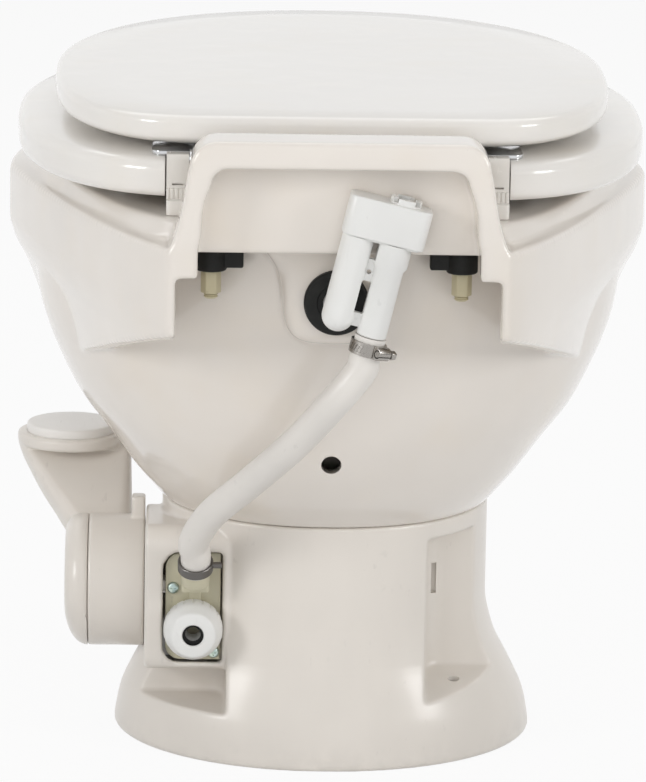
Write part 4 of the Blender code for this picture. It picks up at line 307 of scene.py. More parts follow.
@dataclass(frozen=True)
class Moulded(Finish):
    """Moulded plastic with a fine spark texture, flow marks and light scuffs."""

    grain_per_metre: float = 1500
    grain_depth: float = 0.000022
    scuff: float = 0.10
    floor_wear: float = 0.0
    coat: float = 0.0

    def shade(self, graph: Graph) -> bpy.types.Material:
        """Build the plastic's nodes."""
        flow = graph.noise(14, 3, (1, 1, 0.35))
        tone = graph.blend(toned(self.colour, -0.022), toned(self.colour, 0.016), flow.ramp(0.30, 0.72))
        marks = graph.noise(260, 3, (1, 0.12, 0.5)).ramp(0.64, 0.74) * graph.noise(22, 1).ramp(0.42, 0.68)
        tone = graph.blend(tone, toned(self.colour, -self.scuff), marks * 0.40)
        if self.floor_wear:
            height = graph.node("ShaderNodeSeparateXYZ", None, {0: graph.place()}, "Z")
            near_floor = (1 - height.ramp(0.001, 0.022)) * graph.noise(90, 4).ramp(0.40, 0.66)
            tone = graph.blend(tone, toned(self.colour, -self.floor_wear), near_floor)
        rough = self.roughness + flow * 0.06 + marks * 0.14
        height = graph.noise(self.grain_per_metre, 2)
        varying = {"Base Color": tone, "Roughness": rough, "Normal": graph.bump(height, self.grain_depth)}
        return graph.surface(varying, {"IOR": 1.48, "Coat Weight": self.coat, "Coat Roughness": 0.15})


@dataclass(frozen=True)
class Rubber(Finish):
    """Moulded rubber with a pale bloom on its skin."""

    bloom: float = 0.10

    def shade(self, graph: Graph) -> bpy.types.Material:
        """Build the rubber's nodes."""
        dust = graph.noise(150, 4).ramp(0.42, 0.78)
        tone = graph.blend(self.colour, tuple(part + self.bloom for part in self.colour), dust * 0.7)
        rough = self.roughness + dust * 0.15
        height = graph.noise(1900, 3)
        varying = {"Base Color": tone, "Roughness": rough, "Normal": graph.bump(height, 0.00004)}
        return graph.surface(varying, {"IOR": 1.5, "Specular IOR Level": 0.22})


@dataclass(frozen=True)
class Metal(Finish):
    """Bare or plated metal, brushed along one axis or polished."""

    brush: Colour = (1, 1, 1)
    brush_depth: float = 0.0
    cloud: Colour = (0.0, 0.0, 0.0)

    def shade(self, graph: Graph) -> bpy.types.Material:
        """Build the metal's nodes."""
        lines = graph.noise(420, 4, self.brush, 0.7)
        patches = graph.noise(210, 2).ramp(0.35, 0.70)
        second = tuple(min(a + b, 1.0) for a, b in zip(self.colour, self.cloud))
        tone = graph.blend(self.colour, second, patches)
        tone = graph.blend(tone, toned(self.colour, -0.28), lines.ramp(0.60, 0.85) * 0.4)
        rough = self.roughness + lines.ramp(0.35, 0.80) * (0.05 + self.brush_depth * 2500)
        varying = {"Base Color": tone, "Roughness": rough}
        if self.brush_depth:
            varying["Normal"] = graph.bump(lines, self.brush_depth)
        else:
            varying["Normal"] = graph.bump(graph.noise(120, 2), 0.00002)
        return graph.surface(varying, {"Metallic": 1.0})


class Finishes:
    """Every finish on the toilet, by what it is made of."""

    china = Glaze("bone_glaze", (0.905, 0.880, 0.850), 0.11)
    enamel = Glaze("baked_enamel", (0.925, 0.912, 0.893), 0.12, 0.00006, 0.000007, 0.008)
    shell = Moulded("bone_shell_plastic", (0.885, 0.862, 0.832), 0.26, floor_wear=0.03, coat=0.15)
    post = Moulded("cream_post_plastic", (0.915, 0.898, 0.872), 0.24, 1300, 0.00001, 0.06, coat=0.2)
    pad = Moulded("foot_pad_plastic", (0.925, 0.915, 0.900), 0.30, 900, 0.00003, 0.10, coat=0.1)
    white = Moulded("gloss_white_plastic", (0.895, 0.895, 0.886), 0.26, 1200, 0.00001, 0.08, coat=0.1)
    vinyl = Moulded("white_hose_vinyl", (0.888, 0.872, 0.850), 0.30, 700, 0.00003, 0.07, coat=0.1)
    rubber = Rubber("moulded_black_rubber", (0.115, 0.117, 0.113), 0.50, 0.050)
    acetal = Moulded("natural_acetal", (0.770, 0.750, 0.655), 0.34, 1000, 0.00003, 0.22, coat=0.15)
    nylon = Moulded("yellow_nylon", (0.800, 0.765, 0.640), 0.38, 1100, 0.00003, 0.18)
    bearing = Moulded("graphite_bearing_plastic", (0.255, 0.255, 0.262), 0.46, 1200, 0.00003, 0.20)
    ball = Moulded("polished_ball_plastic", (0.850, 0.830, 0.790), 0.20, 900, 0.00001, 0.06, coat=0.3)
    chrome = Metal("bright_chrome", (0.830, 0.835, 0.840), 0.07)
    spring = Metal("dark_spring_steel", (0.420, 0.410, 0.400), 0.34)
    stainless = Metal("rolled_stainless", (0.640, 0.625, 0.605), 0.24, (1, 1, 14), 0.000012)
    zinc = Metal("blue_zinc_plate", (0.720, 0.790, 0.780), 0.30, (1, 1, 1), 0.00001, (0.08, 0.06, 0.02))


# Plan and section outlines


def mix(low: float, high: float, share: float) -> float:
    """The value a share of the way from low to high."""
    return low + (high - low) * share


class Table:
    """A smooth curve through a table of values that never overshoots them."""

    def __init__(self, places: Sequence[float], values: Sequence[float]) -> None:
        """Work out the slope at each place.

        Args:
            places: Rising places.
            values: The value at each place.
        """
        self.places = list(places)
        self.values = list(values)
        spans = [b - a for a, b in zip(places, places[1:])]
        rises = [(b - a) / span for a, b, span in zip(values, values[1:], spans)]
        self.slopes = [rises[0]]
        for index in range(1, len(rises)):
            before, after = rises[index - 1], rises[index]
            both = 2 * before * after / (before + after) if before * after > 0 else 0.0
            self.slopes.append(both)
        self.slopes.append(rises[-1])

    def at(self, place: float) -> float:
        """The value at a place, held level beyond the ends."""
        if place <= self.places[0]:
            return self.values[0]
        if place >= self.places[-1]:
            return self.values[-1]
        index = max(i for i, known in enumerate(self.places) if known <= place)
        index = min(index, len(self.places) - 2)
        span = self.places[index + 1] - self.places[index]
        share = (place - self.places[index]) / span
        low, high = self.values[index], self.values[index + 1]
        rise = high - low
        first = self.slopes[index] * span - rise
        second = rise - self.slopes[index + 1] * span
        return mix(low, high, share) + share * (1 - share) * mix(first, second, share)


def sampled(low: float, high: float, count: int) -> list[float]:
    """Evenly spaced values with both ends."""
    return [mix(low, high, index / (count - 1)) for index in range(count)]


def egg(half_width: float, front: float, rear: float, wide_y: float, flat: float, front_power: float,
        rear_power: float, steps: int = 24) -> Outline:
    """Plan outline: round in front, widest at wide_y and drawn in to a flat rear.

    Args:
        half_width: Half the greatest width.
        front: Y of the front.
        rear: Y of the rear.
        wide_y: Y of the widest place.
        flat: Half the width of the flat rear.
        front_power: How square the front is; 2 is an ellipse.
        rear_power: How square the rear is.
        steps: Steps in each quarter.

    Returns:
        The outline's points.
    """
    right = []
    for step in range(steps, -1, -1):
        turn = pi / 2 * step / steps
        across = max(cos(turn), 0.0) ** (2 / rear_power)
        along = max(sin(turn), 0.0) ** (2 / rear_power)
        right.append((mix(flat, half_width, across), mix(wide_y, rear, along)))
    for step in range(1, steps + 1):
        turn = pi / 2 * step / steps
        across = max(cos(turn), 0.0) ** (2 / front_power) if step < steps else 0.0
        along = max(sin(turn), 0.0) ** (2 / front_power)
        right.append((half_width * across, mix(wide_y, front, along)))
    return right + [(-x, y) for x, y in reversed(right[:-1])]


def level(outline: Outline, height: float) -> Ring:
    """A plan outline lifted to a height."""
    return [Vector((x, y, height)) for x, y in outline]


def placed(axis: str, first: float, second: float, along: float) -> Vector:
    """A point some way along one axis, and at two places on the other two."""
    point = [first, second]
    point.insert("XYZ".index(axis), along)
    return Vector(point)


def circle(middle: Vector, radius: float, sides: tuple[Vector, Vector], steps: int) -> Ring:
    """A ring of points round a middle, in the plane of two unit vectors."""
    turns = [2 * pi * step / steps for step in range(steps)]
    return [middle + radius * (cos(turn) * sides[0] + sin(turn) * sides[1]) for turn in turns]


def both_sides(right: Outline) -> Outline:
    """An outline made whole with the mirror image of its right half."""
    return right + [(-across, up) for across, up in reversed(right)]


def arc(centre: Pair, radius: float, start: float, end: float, steps: int) -> Outline:
    """Points along an arc from one angle to another.

    Args:
        centre: Middle of the arc.
        radius: Its radius.
        start: First angle.
        end: Last angle.
        steps: Steps along it.

    Returns:
        The arc's points.
    """
    turns = sampled(start, end, steps + 1)
    return [(centre[0] + radius * cos(turn), centre[1] + radius * sin(turn)) for turn in turns]


def rounded_outline(low: Pair, high: Pair, radii: Sequence[float], steps: int = 8) -> Outline:
    """A rectangle with rounded corners, from the low corner round.

    Args:
        low: Low corner.
        high: High corner.
        radii: Radius of each corner; 0 leaves it square.
        steps: Steps in each corner.

    Returns:
        The outline's points.
    """
    corners = [(low[0], low[1], 1, 1), (high[0], low[1], -1, 1), (high[0], high[1], -1, -1),
               (low[0], high[1], 1, -1)]
    outline: Outline = []
    for index, (a, b, way_a, way_b) in enumerate(corners):
        radius = radii[index]
        if radius == 0:
            outline.append((a, b))
            continue
        start = pi + index * pi / 2
        outline += arc((a + way_a * radius, b + way_b * radius), radius, start, start + pi / 2, steps)
    return outline


def side_axes(axis: Vector) -> tuple[Vector, Vector]:
    """Two unit vectors square to an axis and to each other."""
    axis = Vector(axis).normalized()
    start = Vector((0, 0, 1)) if abs(axis.z) < 0.9 else Vector((1, 0, 0))
    first = start.cross(axis).normalized()
    return first, axis.cross(first)


def curve_through(route: Sequence[Vector], steps: int) -> list[Vector]:
    """Points along a smooth curve through the route's own points.

    Args:
        route: The points that the curve passes.
        steps: Steps between two of them.

    Returns:
        The curve's points.
    """
    points = []
    ends = [2 * route[0] - route[1], *route, 2 * route[-1] - route[-2]]
    for before, first, second, after in zip(ends, ends[1:], ends[2:], ends[3:]):
        for step in range(steps):
            share = step / steps
            square = share * share
            cube = square * share
            points.append((2 * first + (second - before) * share
                           + (2 * before - 5 * first + 4 * second - after) * square
                           + (3 * first - before - 3 * second + after) * cube) / 2)
    points.append(Vector(route[-1]))
    return points


# Solids


class Form:
    """A closed solid that is cut, joined and softened before it becomes a piece."""

    def __init__(self, mesh: bpy.types.Mesh) -> None:
        """Keep a closed mesh."""
        self.mesh = mesh

    @classmethod
    def skin(cls, rings: Sequence[Ring], wrap: bool = False) -> "Form":
        """A closed form through rings of points.

        Args:
            rings: Rings with the same number of points, or single points as tips.
            wrap: Whether the last ring joins the first, in place of caps.

        Returns:
            The form.
        """
        shape = bmesh.new()
        rows = [[shape.verts.new(point) for point in ring] for ring in rings]
        pairs = list(zip(rows, rows[1:]))
        if wrap:
            pairs.append((rows[-1], rows[0]))
        for low, high in pairs:
            count = max(len(low), len(high))
            for index in range(count):
                following = (index + 1) % count
                corners = [low[index % len(low)], low[following % len(low)],
                           high[following % len(high)], high[index % len(high)]]
                shape.faces.new(list(dict.fromkeys(corners)))
        if not wrap:
            for row in (rows[0], rows[-1]):
                if len(row) > 1:
                    shape.faces.new(row)
        bmesh.ops.recalc_face_normals(shape, faces=shape.faces)
        mesh = bpy.data.meshes.new("form")
        shape.to_mesh(mesh)
        shape.free()
        return cls(mesh)

    @classmethod
    def turned(cls, profile: Sequence[Pair], centre: Vector, axis: Vector, steps: int = 64,
               wrap: bool = False) -> "Form":
        """A turned form.

        Args:
            profile: Radius and height of each ring.
            centre: Where the heights start.
            axis: What it is turned about.
            steps: Steps round it.
            wrap: Whether it has a bore right through.

        Returns:
            The form.
        """
        axis = Vector(axis).normalized()
        sides = side_axes(axis)
        rings = []
        for radius, height in profile:
            middle = Vector(centre) + axis * height
            rings.append(circle(middle, radius, sides, steps) if radius else [middle])
        return cls.skin(rings, wrap)

    @classmethod
    def bar(cls, radius: float, start: Vector, end: Vector, steps: int = 48, edge: float = 0.0) -> "Form":
        """A round bar, its ends softened if asked.

        Args:
            radius: Its radius.
            start: Middle of one end.
            end: Middle of the other end.
            steps: Steps round it.
            edge: Radius of its end edges.

        Returns:
            The form.
        """
        axis = Vector(end) - Vector(start)
        length = axis.length
        profile = [(0.0, 0.0)]
        if edge:
            profile += [(radius - edge + edge * sin(turn), edge - edge * cos(turn))
                        for turn in sampled(0, pi / 2, 5)]
            profile += arc((radius - edge, length - edge), edge, 0, pi / 2, 4)
        else:
            profile += [(radius, 0.0), (radius, length)]
        profile.append((0.0, length))
        return cls.turned(profile, start, axis, steps)

    @classmethod
    def prism(cls, outline: Outline, axis: str, low: float, high: float) -> "Form":
        """An outline drawn along X, Y or Z.

        Args:
            outline: Its points in the plane square to the axis.
            axis: X, Y or Z.
            low: Where it starts.
            high: Where it ends.

        Returns:
            The form.
        """
        return cls.skin([[placed(axis, a, b, along) for a, b in outline] for along in (low, high)])

    @classmethod
    def rod(cls, radius: float, axis: str, place: Pair, low: float, high: float,
            steps: int = 48, edge: float = 0.0) -> "Form":
        """A round bar along X, Y or Z.

        Args:
            radius: Its radius.
            axis: X, Y or Z.
            place: Where it stands on the other two axes.
            low: Where it starts.
            high: Where it ends.
            steps: Steps round it.
            edge: Radius of its end edges.

        Returns:
            The form.
        """
        return cls.bar(radius, placed(axis, *place, low), placed(axis, *place, high), steps, edge)

    @classmethod
    def block(cls, low: Sequence[float], high: Sequence[float]) -> "Form":
        """A box between two opposite corners."""
        outline = [(low[0], low[1]), (high[0], low[1]), (high[0], high[1]), (low[0], high[1])]
        return cls.prism(outline, "Z", low[2], high[2])

    @classmethod
    def tube(cls, points: Sequence[Vector], outer: Sequence[float], inner: Sequence[float] | None = None,
             steps: int = 40) -> "Form":
        """A bar or tube that follows a path.

        Args:
            points: The path.
            outer: Outside radius at each point.
            inner: Bore radius at each point, or none for a solid bar.
            steps: Steps round it.

        Returns:
            The form.
        """
        sides = []
        first = None
        for index, point in enumerate(points):
            along = (points[min(index + 1, len(points) - 1)] - points[max(index - 1, 0)]).normalized()
            first = side_axes(along)[0] if first is None else first
            first = (first - along * first.dot(along)).normalized()
            sides.append((point, first.copy(), along.cross(first)))
        outside = [circle(point, radius, (a, b), steps) for (point, a, b), radius in zip(sides, outer)]
        if inner is None:
            return cls.skin(outside)
        bore = [circle(point, radius, (a, b), steps) for (point, a, b), radius in zip(sides, inner)]
        return cls.skin(outside + bore[::-1], wrap=True)

    def changed(self, *steps: tuple[str, dict]) -> "Form":
        """Put the form through modifiers and keep the result.

        Args:
            steps: Kind and settings of each modifier, in order.

        Returns:
            The new form.
        """
        holder = bpy.data.objects.new("work", self.mesh)
        bpy.context.scene.collection.objects.link(holder)
        for kind, settings in steps:
            change = holder.modifiers.new(kind, kind)
            for key, setting in settings.items():
                setattr(change, key, setting)
        bpy.context.view_layer.update()
        seen = holder.evaluated_get(bpy.context.evaluated_depsgraph_get())
        mesh = bpy.data.meshes.new_from_object(seen)
        bpy.data.objects.remove(holder)
        return Form(mesh)

    def combined(self, operation: str, others: Sequence["Form"]) -> "Form":
        """Cut other forms out of this one or join them to it.

        Args:
            operation: DIFFERENCE or UNION.
            others: The other forms.

        Returns:
            The new form.
        """
        result = self
        for other in others:
            tool = bpy.data.objects.new("tool", other.mesh)
            bpy.context.scene.collection.objects.link(tool)
            settings = {"operation": operation, "solver": "MANIFOLD", "object": tool}
            result = result.changed(("BOOLEAN", settings))
            bpy.data.objects.remove(tool)
        return result

    def __sub__(self, other: "Form") -> "Form":
        """This form with another cut out."""
        return self.combined("DIFFERENCE", [other])

    def __add__(self, other: "Form") -> "Form":
        """This form joined to another."""
        return self.combined("UNION", [other])

    def without(self, *others: "Form") -> "Form":
        """This form with several cut out."""
        return self.combined("DIFFERENCE", others)

    def joined(self, *others: "Form") -> "Form":
        """This form joined to several."""
        return self.combined("UNION", others)

    def moved(self, place: Matrix) -> "Form":
        """The same form somewhere else."""
        mesh = self.mesh.copy()
        mesh.transform(place)
        return Form(mesh)

    def bevelled(self, width: float, segments: int = 3, angle: float = 32) -> "Form":
        """Round the sharp edges.

        Args:
            width: How far the round reaches.
            segments: Steps across it.
            angle: The sharpest angle left alone, in degrees.

        Returns:
            The new form.
        """
        settings = {"width": width, "segments": segments, "limit_method": "ANGLE",
                    "angle_limit": radians(angle)}
        return self.changed(("BEVEL", settings))

    def melted(self, voxel: float, passes: int, keep: float) -> "Form":
        """Make one skin of the form, with its edges and corners run together.

        Args:
            voxel: Size of the skin's squares.
            passes: How often the skin is relaxed once it lies on the form again.
            keep: Share of the skin's faces that is kept, most of them where it bends.

        Returns:
            The new form.
        """
        guide = bpy.data.objects.new("guide", self.mesh)
        bpy.context.scene.collection.objects.link(guide)
        result = self.changed(("REMESH", {"mode": "VOXEL", "voxel_size": voxel}),
                              ("SMOOTH", {"iterations": 4}),
                              ("SHRINKWRAP", {"target": guide, "wrap_method": "NEAREST_SURFACEPOINT"}),
                              ("SMOOTH", {"iterations": passes}),
                              ("DECIMATE", {"ratio": keep}))
        bpy.data.objects.remove(guide)
        return result

    def piece(self, name: str, finish: Finish, body: str, slot: str, *nodes: str,
              angle: float = 34) -> bpy.types.Object:
        """Show the form as a piece that rides on a body.

        Args:
            name: The piece's name.
            finish: Its finish.
            body: The body that it moves with.
            slot: The record's material slot; not used.
            nodes: The CAD nodes that it stands for.
            angle: The sharpest angle that is shaded smooth, in degrees.

        Returns:
            The piece.
        """
        self.mesh.shade_smooth()
        self.mesh.set_sharp_from_angle(angle=radians(angle))
        self.mesh.materials.clear()
        self.mesh.materials.append(finish.material())
        thing = bpy.data.objects.new(name, self.mesh)
        bpy.context.scene.collection.objects.link(thing)
        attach(thing, body)
        if nodes:
            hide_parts(*nodes)
        LOG.info("%s: %d faces on %s", name, len(self.mesh.polygons), body)
        return thing


class Side(Enum):
    """The user's left and right, as signs of X."""

    LEFT = 1
    RIGHT = -1

    @property
    def tag(self) -> str:
        """The word that node names end in."""
        return self.name.lower()


@dataclass(frozen=True)
class Datum:
    """Levels and places that several sub-assemblies share."""

    front: float = 0.244
    rear: float = 0.244
    outlet_y: float = 0.028
    outlet_radius: float = 0.027
    base_top: float = 0.142
    neck_half_width: float = 0.0965
    neck_half_depth: float = 0.094
    ball_z: float = 0.086
    rim_edge: float = 0.328
    crown: float = 0.338
    deck_under: float = 0.322
    seat_top: float = 0.368
    lid_low: float = 0.375
    lid_top: float = 0.3915
    ledge_top: float = 0.388
    ledge_front: float = 0.210
    body_rear: float = 0.187
    basin_rear: float = 0.147
    boss_face: float = 0.196
    hinge_y: float = 0.180
    hinge_z: float = 0.367
    bolt_y: float = 0.189
    bolt_x: float = 0.06985
    bolt_bore: float = 0.0043
    breaker_y: float = 0.2305
    breaker_z: float = 0.2905

    def bolt_place(self, side: Side) -> Pair:
        """Where a hinge bolt stands in plan."""
        return (side.value * self.bolt_x, self.bolt_y)


DATUM = Datum()


# Bowl


@dataclass
class ChinaBowl:
    """The bowl: body, rim, skirt, raised ledge and basin as one china casting."""

    rim_half_width: float = 0.190
    rim_setback: float = 0.004
    shell_wall: float = 0.011
    apron_wall: float = 0.013
    basin_wall: float = 0.010
    basin_half_width: float = 0.126
    basin_front: float = 0.200
    middle_shift: float = 0.045
    skirt_drop: float = 0.0465
    skirt_slope: float = 0.275
    skirt_gap: float = 0.0895
    ledge_foot: float = 0.093
    ledge_half_top: float = 0.082
    ledge_corner: float = 0.015
    ledge_frame: float = 0.0115
    ledge_frame_low: float = 0.0157
    ledge_round: float = 0.0035
    ledge_wall: float = 0.010
    boss_depth: float = 0.030
    boss_edge: float = 0.0075
    boss_top: float = 0.3265
    boss_height: float = 0.0625
    boss_draw: float = 0.03
    seat_half_width: float = 0.184
    seat_round: float = 0.006
    crown_insets: Pair = (2.5, 3.5)
    crown_flat: float = 0.92
    crown_power: float = 1.5
    rim_wide_y: float = -0.12 * DATUM.front
    rim_powers: Pair = (2.15, 1.2)
    body_powers: Pair = (2.1, 2.05)
    body_flat: float = 0.02
    basin_powers: Pair = (2.05, 2.05)
    basin_flat: float = 0.03
    duct_radius: float = 0.019
    inlet_radius: float = 0.0140
    weep_radius: float = 0.0058
    weep_z: float = 0.187
    ring_gap: float = 0.0004
    voxel: float = 0.0015
    melt_passes: int = 11
    kept_share: float = 0.28
    quarter_steps: int = 80

    body_levels = (0, 0.043, 0.097, 0.220, 0.323, 0.4355, 0.527, 0.618, 0.704, 0.817, 0.903, 0.985)
    body_widths = (0, 0.085, 0.184, 0.376, 0.542, 0.662, 0.741, 0.797, 0.826, 0.865, 0.870, 0.830)
    body_fronts = (0, 0.085, 0.190, 0.392, 0.532, 0.667, 0.750, 0.822, 0.870, 0.930, 0.935, 0.900)
    body_rears = (0, 0.123, 0.246, 0.446, 0.585, 0.708, 0.800, 0.877, 0.938, 0.985, 1.000, 1.000)
    body_middles = (0, 0.10, 0.20, 0.35, 0.50, 0.62, 0.70, 0.78, 0.84, 0.92, 0.97, 1.0)
    apron_levels = (0.312, 0.4355, 0.527, 0.618, 0.704, 0.742, 0.780, 0.828, 0.914, 0.955, 0.980, 1.0)
    apron_widths = (0.475, 0.684, 0.768, 0.832, 0.904, 0.948, 0.978, 1.000, 1.000, 1.000, 0.999, 0.990)
    apron_rears = (0.88, 0.93, 0.955, 0.975, 0.985, 0.99, 1.0, 1.0, 1.0, 1.0, 1.0, 1.0)
    basin_levels = (-0.04, 0.02, 0.075, 0.14, 0.245, 0.385, 0.54, 0.73, 0.90, 1.0, 1.08)
    basin_spreads = (0, 0, 0.16, 0.38, 0.62, 0.79, 0.92, 0.99, 1.0, 0.96, 0.92)
    basin_middles = (0, 0, 0.15, 0.35, 0.60, 0.78, 0.90, 1.0, 1.0, 1.0, 1.0)
    boss_side = ((0.0470, 0.3265), (0.0400, 0.3170), (0.0338, 0.3075), (0.0312, 0.2955), (0.0290, 0.2790),
                 (0.0245, 0.2696), (0.0165, 0.2653), (0.0, 0.2640))

    def height(self, share: float) -> float:
        """Height of a share of the way from the pedestal to the rim."""
        return mix(DATUM.base_top + GAP, DATUM.rim_edge, share)

    def half_width(self, share: float) -> float:
        """Half width at a share of the way from the neck's to the rim's."""
        return mix(DATUM.neck_half_width, self.rim_half_width, share)

    def front_y(self, share: float) -> float:
        """Y of the front at a share of the way from the neck's to the rim's."""
        return mix(DATUM.outlet_y - DATUM.neck_half_depth, -DATUM.front + self.rim_setback, share)

    def body_rings(self, inset: float, low: float, high: float) -> list[Ring]:
        """Rings of the outer body.

        Args:
            inset: How far it is drawn in.
            low: Height of the first ring.
            high: Height of the last ring.

        Returns:
            The rings, lowest first.
        """
        tables = [Table(self.body_levels, values)
                  for values in (self.body_widths, self.body_fronts, self.body_rears, self.body_middles)]
        rings = []
        for share in sampled(0, self.body_levels[-1], 48):
            if low <= self.height(share) <= high:
                width, front, rear, middle = (table.at(share) for table in tables)
                half = self.half_width(width) - inset
                rear_y = mix(DATUM.outlet_y + DATUM.neck_half_depth, DATUM.body_rear, rear) - inset
                wide_y = DATUM.outlet_y - self.middle_shift * middle
                outline = egg(half, self.front_y(front) + inset, rear_y, wide_y, self.body_flat * half,
                              *self.body_powers, self.quarter_steps)
                rings.append(level(outline, self.height(share)))
        return self.closed_at(rings, low, high)

    @classmethod
    def closed_at(cls, rings: list[Ring], low: float, high: float) -> list[Ring]:
        """Carry the end rings straight down and up to two levels.

        Args:
            rings: The rings, lowest first.
            low: The lower level.
            high: The upper level.

        Returns:
            The rings from one level to the other.
        """
        first = [Vector((point.x, point.y, low)) for point in rings[0]]
        last = [Vector((point.x, point.y, high)) for point in rings[-1]]
        inner = [ring for ring in rings if low + cls.ring_gap < ring[0].z < high - cls.ring_gap]
        return [first, *inner, last]

    def apron_rings(self, inset: float) -> list[Ring]:
        """Rings of the skirt and the rim band above it.

        Args:
            inset: How far they are drawn in.

        Returns:
            The rings, lowest first.
        """
        widths = Table(self.apron_levels, self.apron_widths)
        rears = Table(self.apron_levels, self.apron_rears)
        shares = sampled(self.apron_levels[0], 0.70, 14) + sampled(0.71, 0.93, 22) + sampled(0.94, 1.0, 12)
        rings = []
        for share in shares:
            width = widths.at(share)
            rear_y = mix(DATUM.body_rear, DATUM.rear, rears.at(share)) - inset
            flat = self.ledge_foot - inset * 0.6
            outline = egg(self.half_width(width) - inset, self.front_y(width) + inset, rear_y,
                          self.rim_wide_y, flat, *self.rim_powers, self.quarter_steps)
            rings.append(level(outline, self.height(share)))
        return rings

    def crown_rings(self) -> list[Ring]:
        """Rings that close the rim's top with a slope and a flat crown."""
        rise = Table((0, 0.15, 0.45, 0.75, 0.90, 1.0), (0, 0.02, 0.14, 0.60, 0.93, 1.0))
        crown_half = self.seat_half_width - self.crown_insets[0] * self.seat_round
        crown_front = -DATUM.front + self.crown_insets[1] * self.seat_round
        edge = self.apron_widths[-1]
        rings = []
        for share in sampled(0.06, 1.0, 14):
            half = mix(self.half_width(edge), crown_half, share)
            front_y = mix(self.front_y(edge), crown_front, share)
            rear_y = mix(DATUM.rear, DATUM.ledge_front - OVERRUN, share)
            flat = mix(self.ledge_foot, self.ledge_foot * self.crown_flat, share)
            rear_power = mix(self.rim_powers[1], self.crown_power, share)
            outline = egg(half, front_y, rear_y, self.rim_wide_y, flat, self.rim_powers[0], rear_power,
                          self.quarter_steps)
            rings.append(level(outline, mix(DATUM.rim_edge, DATUM.crown, rise.at(share))))
        return rings

    def apron(self) -> Form:
        """Rim and skirt, hollow under the rear deck and cut on a slope below."""
        top = DATUM.deck_under
        inner = [ring for ring in self.apron_rings(self.apron_wall) if ring[0].z < top - OVERRUN]
        inner = self.closed_at(inner, DATUM.base_top, top)
        reach = self.rim_half_width + OVERRUN
        ahead = Form.block((-reach, -DATUM.front, DATUM.base_top - OVERRUN), (reach, 0, DATUM.crown))
        hollow = Form.skin(inner) - ahead
        rear_low = DATUM.rim_edge - self.skirt_drop
        start = -DATUM.front / 8
        front_low = rear_low - (DATUM.rear - start) * self.skirt_slope
        far = DATUM.rear + 2 * OVERRUN
        outline = [(start, DATUM.base_top), (far, DATUM.base_top), (far, rear_low), (start, front_low)]
        slope = Form.prism(outline, "X", -reach, reach)
        return Form.skin(self.apron_rings(0) + self.crown_rings()).without(hollow, slope)

    def ledge_side(self, inset: float, shares: Sequence[Pair]) -> Outline:
        """Points up one side of the ledge, from the rim's level."""
        return [(mix(self.ledge_half_top, self.ledge_foot, spread) - inset,
                 mix(DATUM.rim_edge, DATUM.ledge_top, share))
                for share, spread in shares]

    def ledge(self) -> Form:
        """The raised ledge, leaning in to rounded top corners."""
        turn = self.ledge_corner
        low = DATUM.deck_under + OVERRUN
        flare = Table((0, 0.16, 0.42, 0.62, 0.75), (1.0, 0.66, 0.34, 0.16, 0.0))
        right = [(self.ledge_foot, low)]
        right += self.ledge_side(0, [(share, flare.at(share)) for share in sampled(0, 0.72, 10)])
        right += arc((self.ledge_half_top - turn, DATUM.ledge_top - turn), turn, 0, pi / 2, 12)
        ledge = Form.prism(both_sides(right), "Y", DATUM.ledge_front, DATUM.rear)
        return ledge.bevelled(self.ledge_round, 4)

    def bay(self) -> Form:
        """Cutter for the bay in the ledge, open below."""
        turn = self.ledge_corner - self.ledge_frame / 2
        top = DATUM.ledge_top - self.ledge_frame - self.ledge_round
        half = self.ledge_half_top - self.ledge_frame - turn
        flare = Table((0, 0.16, 0.42, 0.62), (1.0, 0.66, 0.34, 0.0))
        frames = Table((0, 0.43, 1.0), (self.ledge_frame_low, self.ledge_frame, self.ledge_frame))
        right = [(self.ledge_foot - self.ledge_frame_low, DATUM.deck_under - self.ledge_wall - OVERRUN)]
        for share in sampled(0, 0.5, 8):
            right += self.ledge_side(frames.at(share), [(share, flare.at(share))])
        right += arc((half, top - turn), turn, 0, pi / 2, 12)
        start = DATUM.ledge_front + self.ledge_wall
        return Form.prism(both_sides(right), "Y", start, DATUM.rear + OVERRUN)

    def basin_rings(self, grow: float, low: float) -> list[Ring]:
        """Rings of the basin from the round outlet to the egg-shaped mouth.

        Args:
            grow: How far the rings stand out from the basin.
            low: The lowest level they reach.

        Returns:
            The rings, lowest first.
        """
        spreads = Table(self.basin_levels, self.basin_spreads)
        middles = Table(self.basin_levels, self.basin_middles)
        rings = []
        for share in sampled(self.basin_levels[0], self.basin_levels[-1], 44):
            height = self.height(share)
            if height < low:
                continue
            spread = spreads.at(share)
            half = mix(DATUM.outlet_radius, self.basin_half_width, spread) + grow
            front_y = mix(DATUM.outlet_y - DATUM.outlet_radius, -self.basin_front, spread) - grow
            rear_y = mix(DATUM.outlet_y + DATUM.outlet_radius, DATUM.basin_rear, spread) + grow
            wide_y = DATUM.outlet_y - self.middle_shift * middles.at(share)
            outline = egg(half, front_y, rear_y, wide_y, self.basin_flat * half, *self.basin_powers,
                          self.quarter_steps)
            rings.append(level(outline, height))
        return rings

    def boss(self) -> Form:
        """The tongue under the rear deck that carries the grommet."""
        side = curve_through([Vector((x, 0, z)) for x, z in self.boss_side], 8)
        insets = Table((0, 0.55, 0.80, 0.94, 1.0), (-0.20, 0, 0.15, 0.48, 1.0))
        rings = []
        for share in sampled(0, 1, 16):
            y = mix(DATUM.boss_face - self.boss_depth, DATUM.boss_face, share)
            inset = self.boss_edge * insets.at(share)
            right = [Vector((max(point.x - inset * min(point.x / self.boss_draw, 1), 0), y,
                             point.z + inset * (self.boss_top - point.z) / self.boss_height))
                     for point in side]
            rings.append(right + [Vector((-point.x, point.y, point.z)) for point in reversed(right[:-1])])
        return Form.skin(rings)

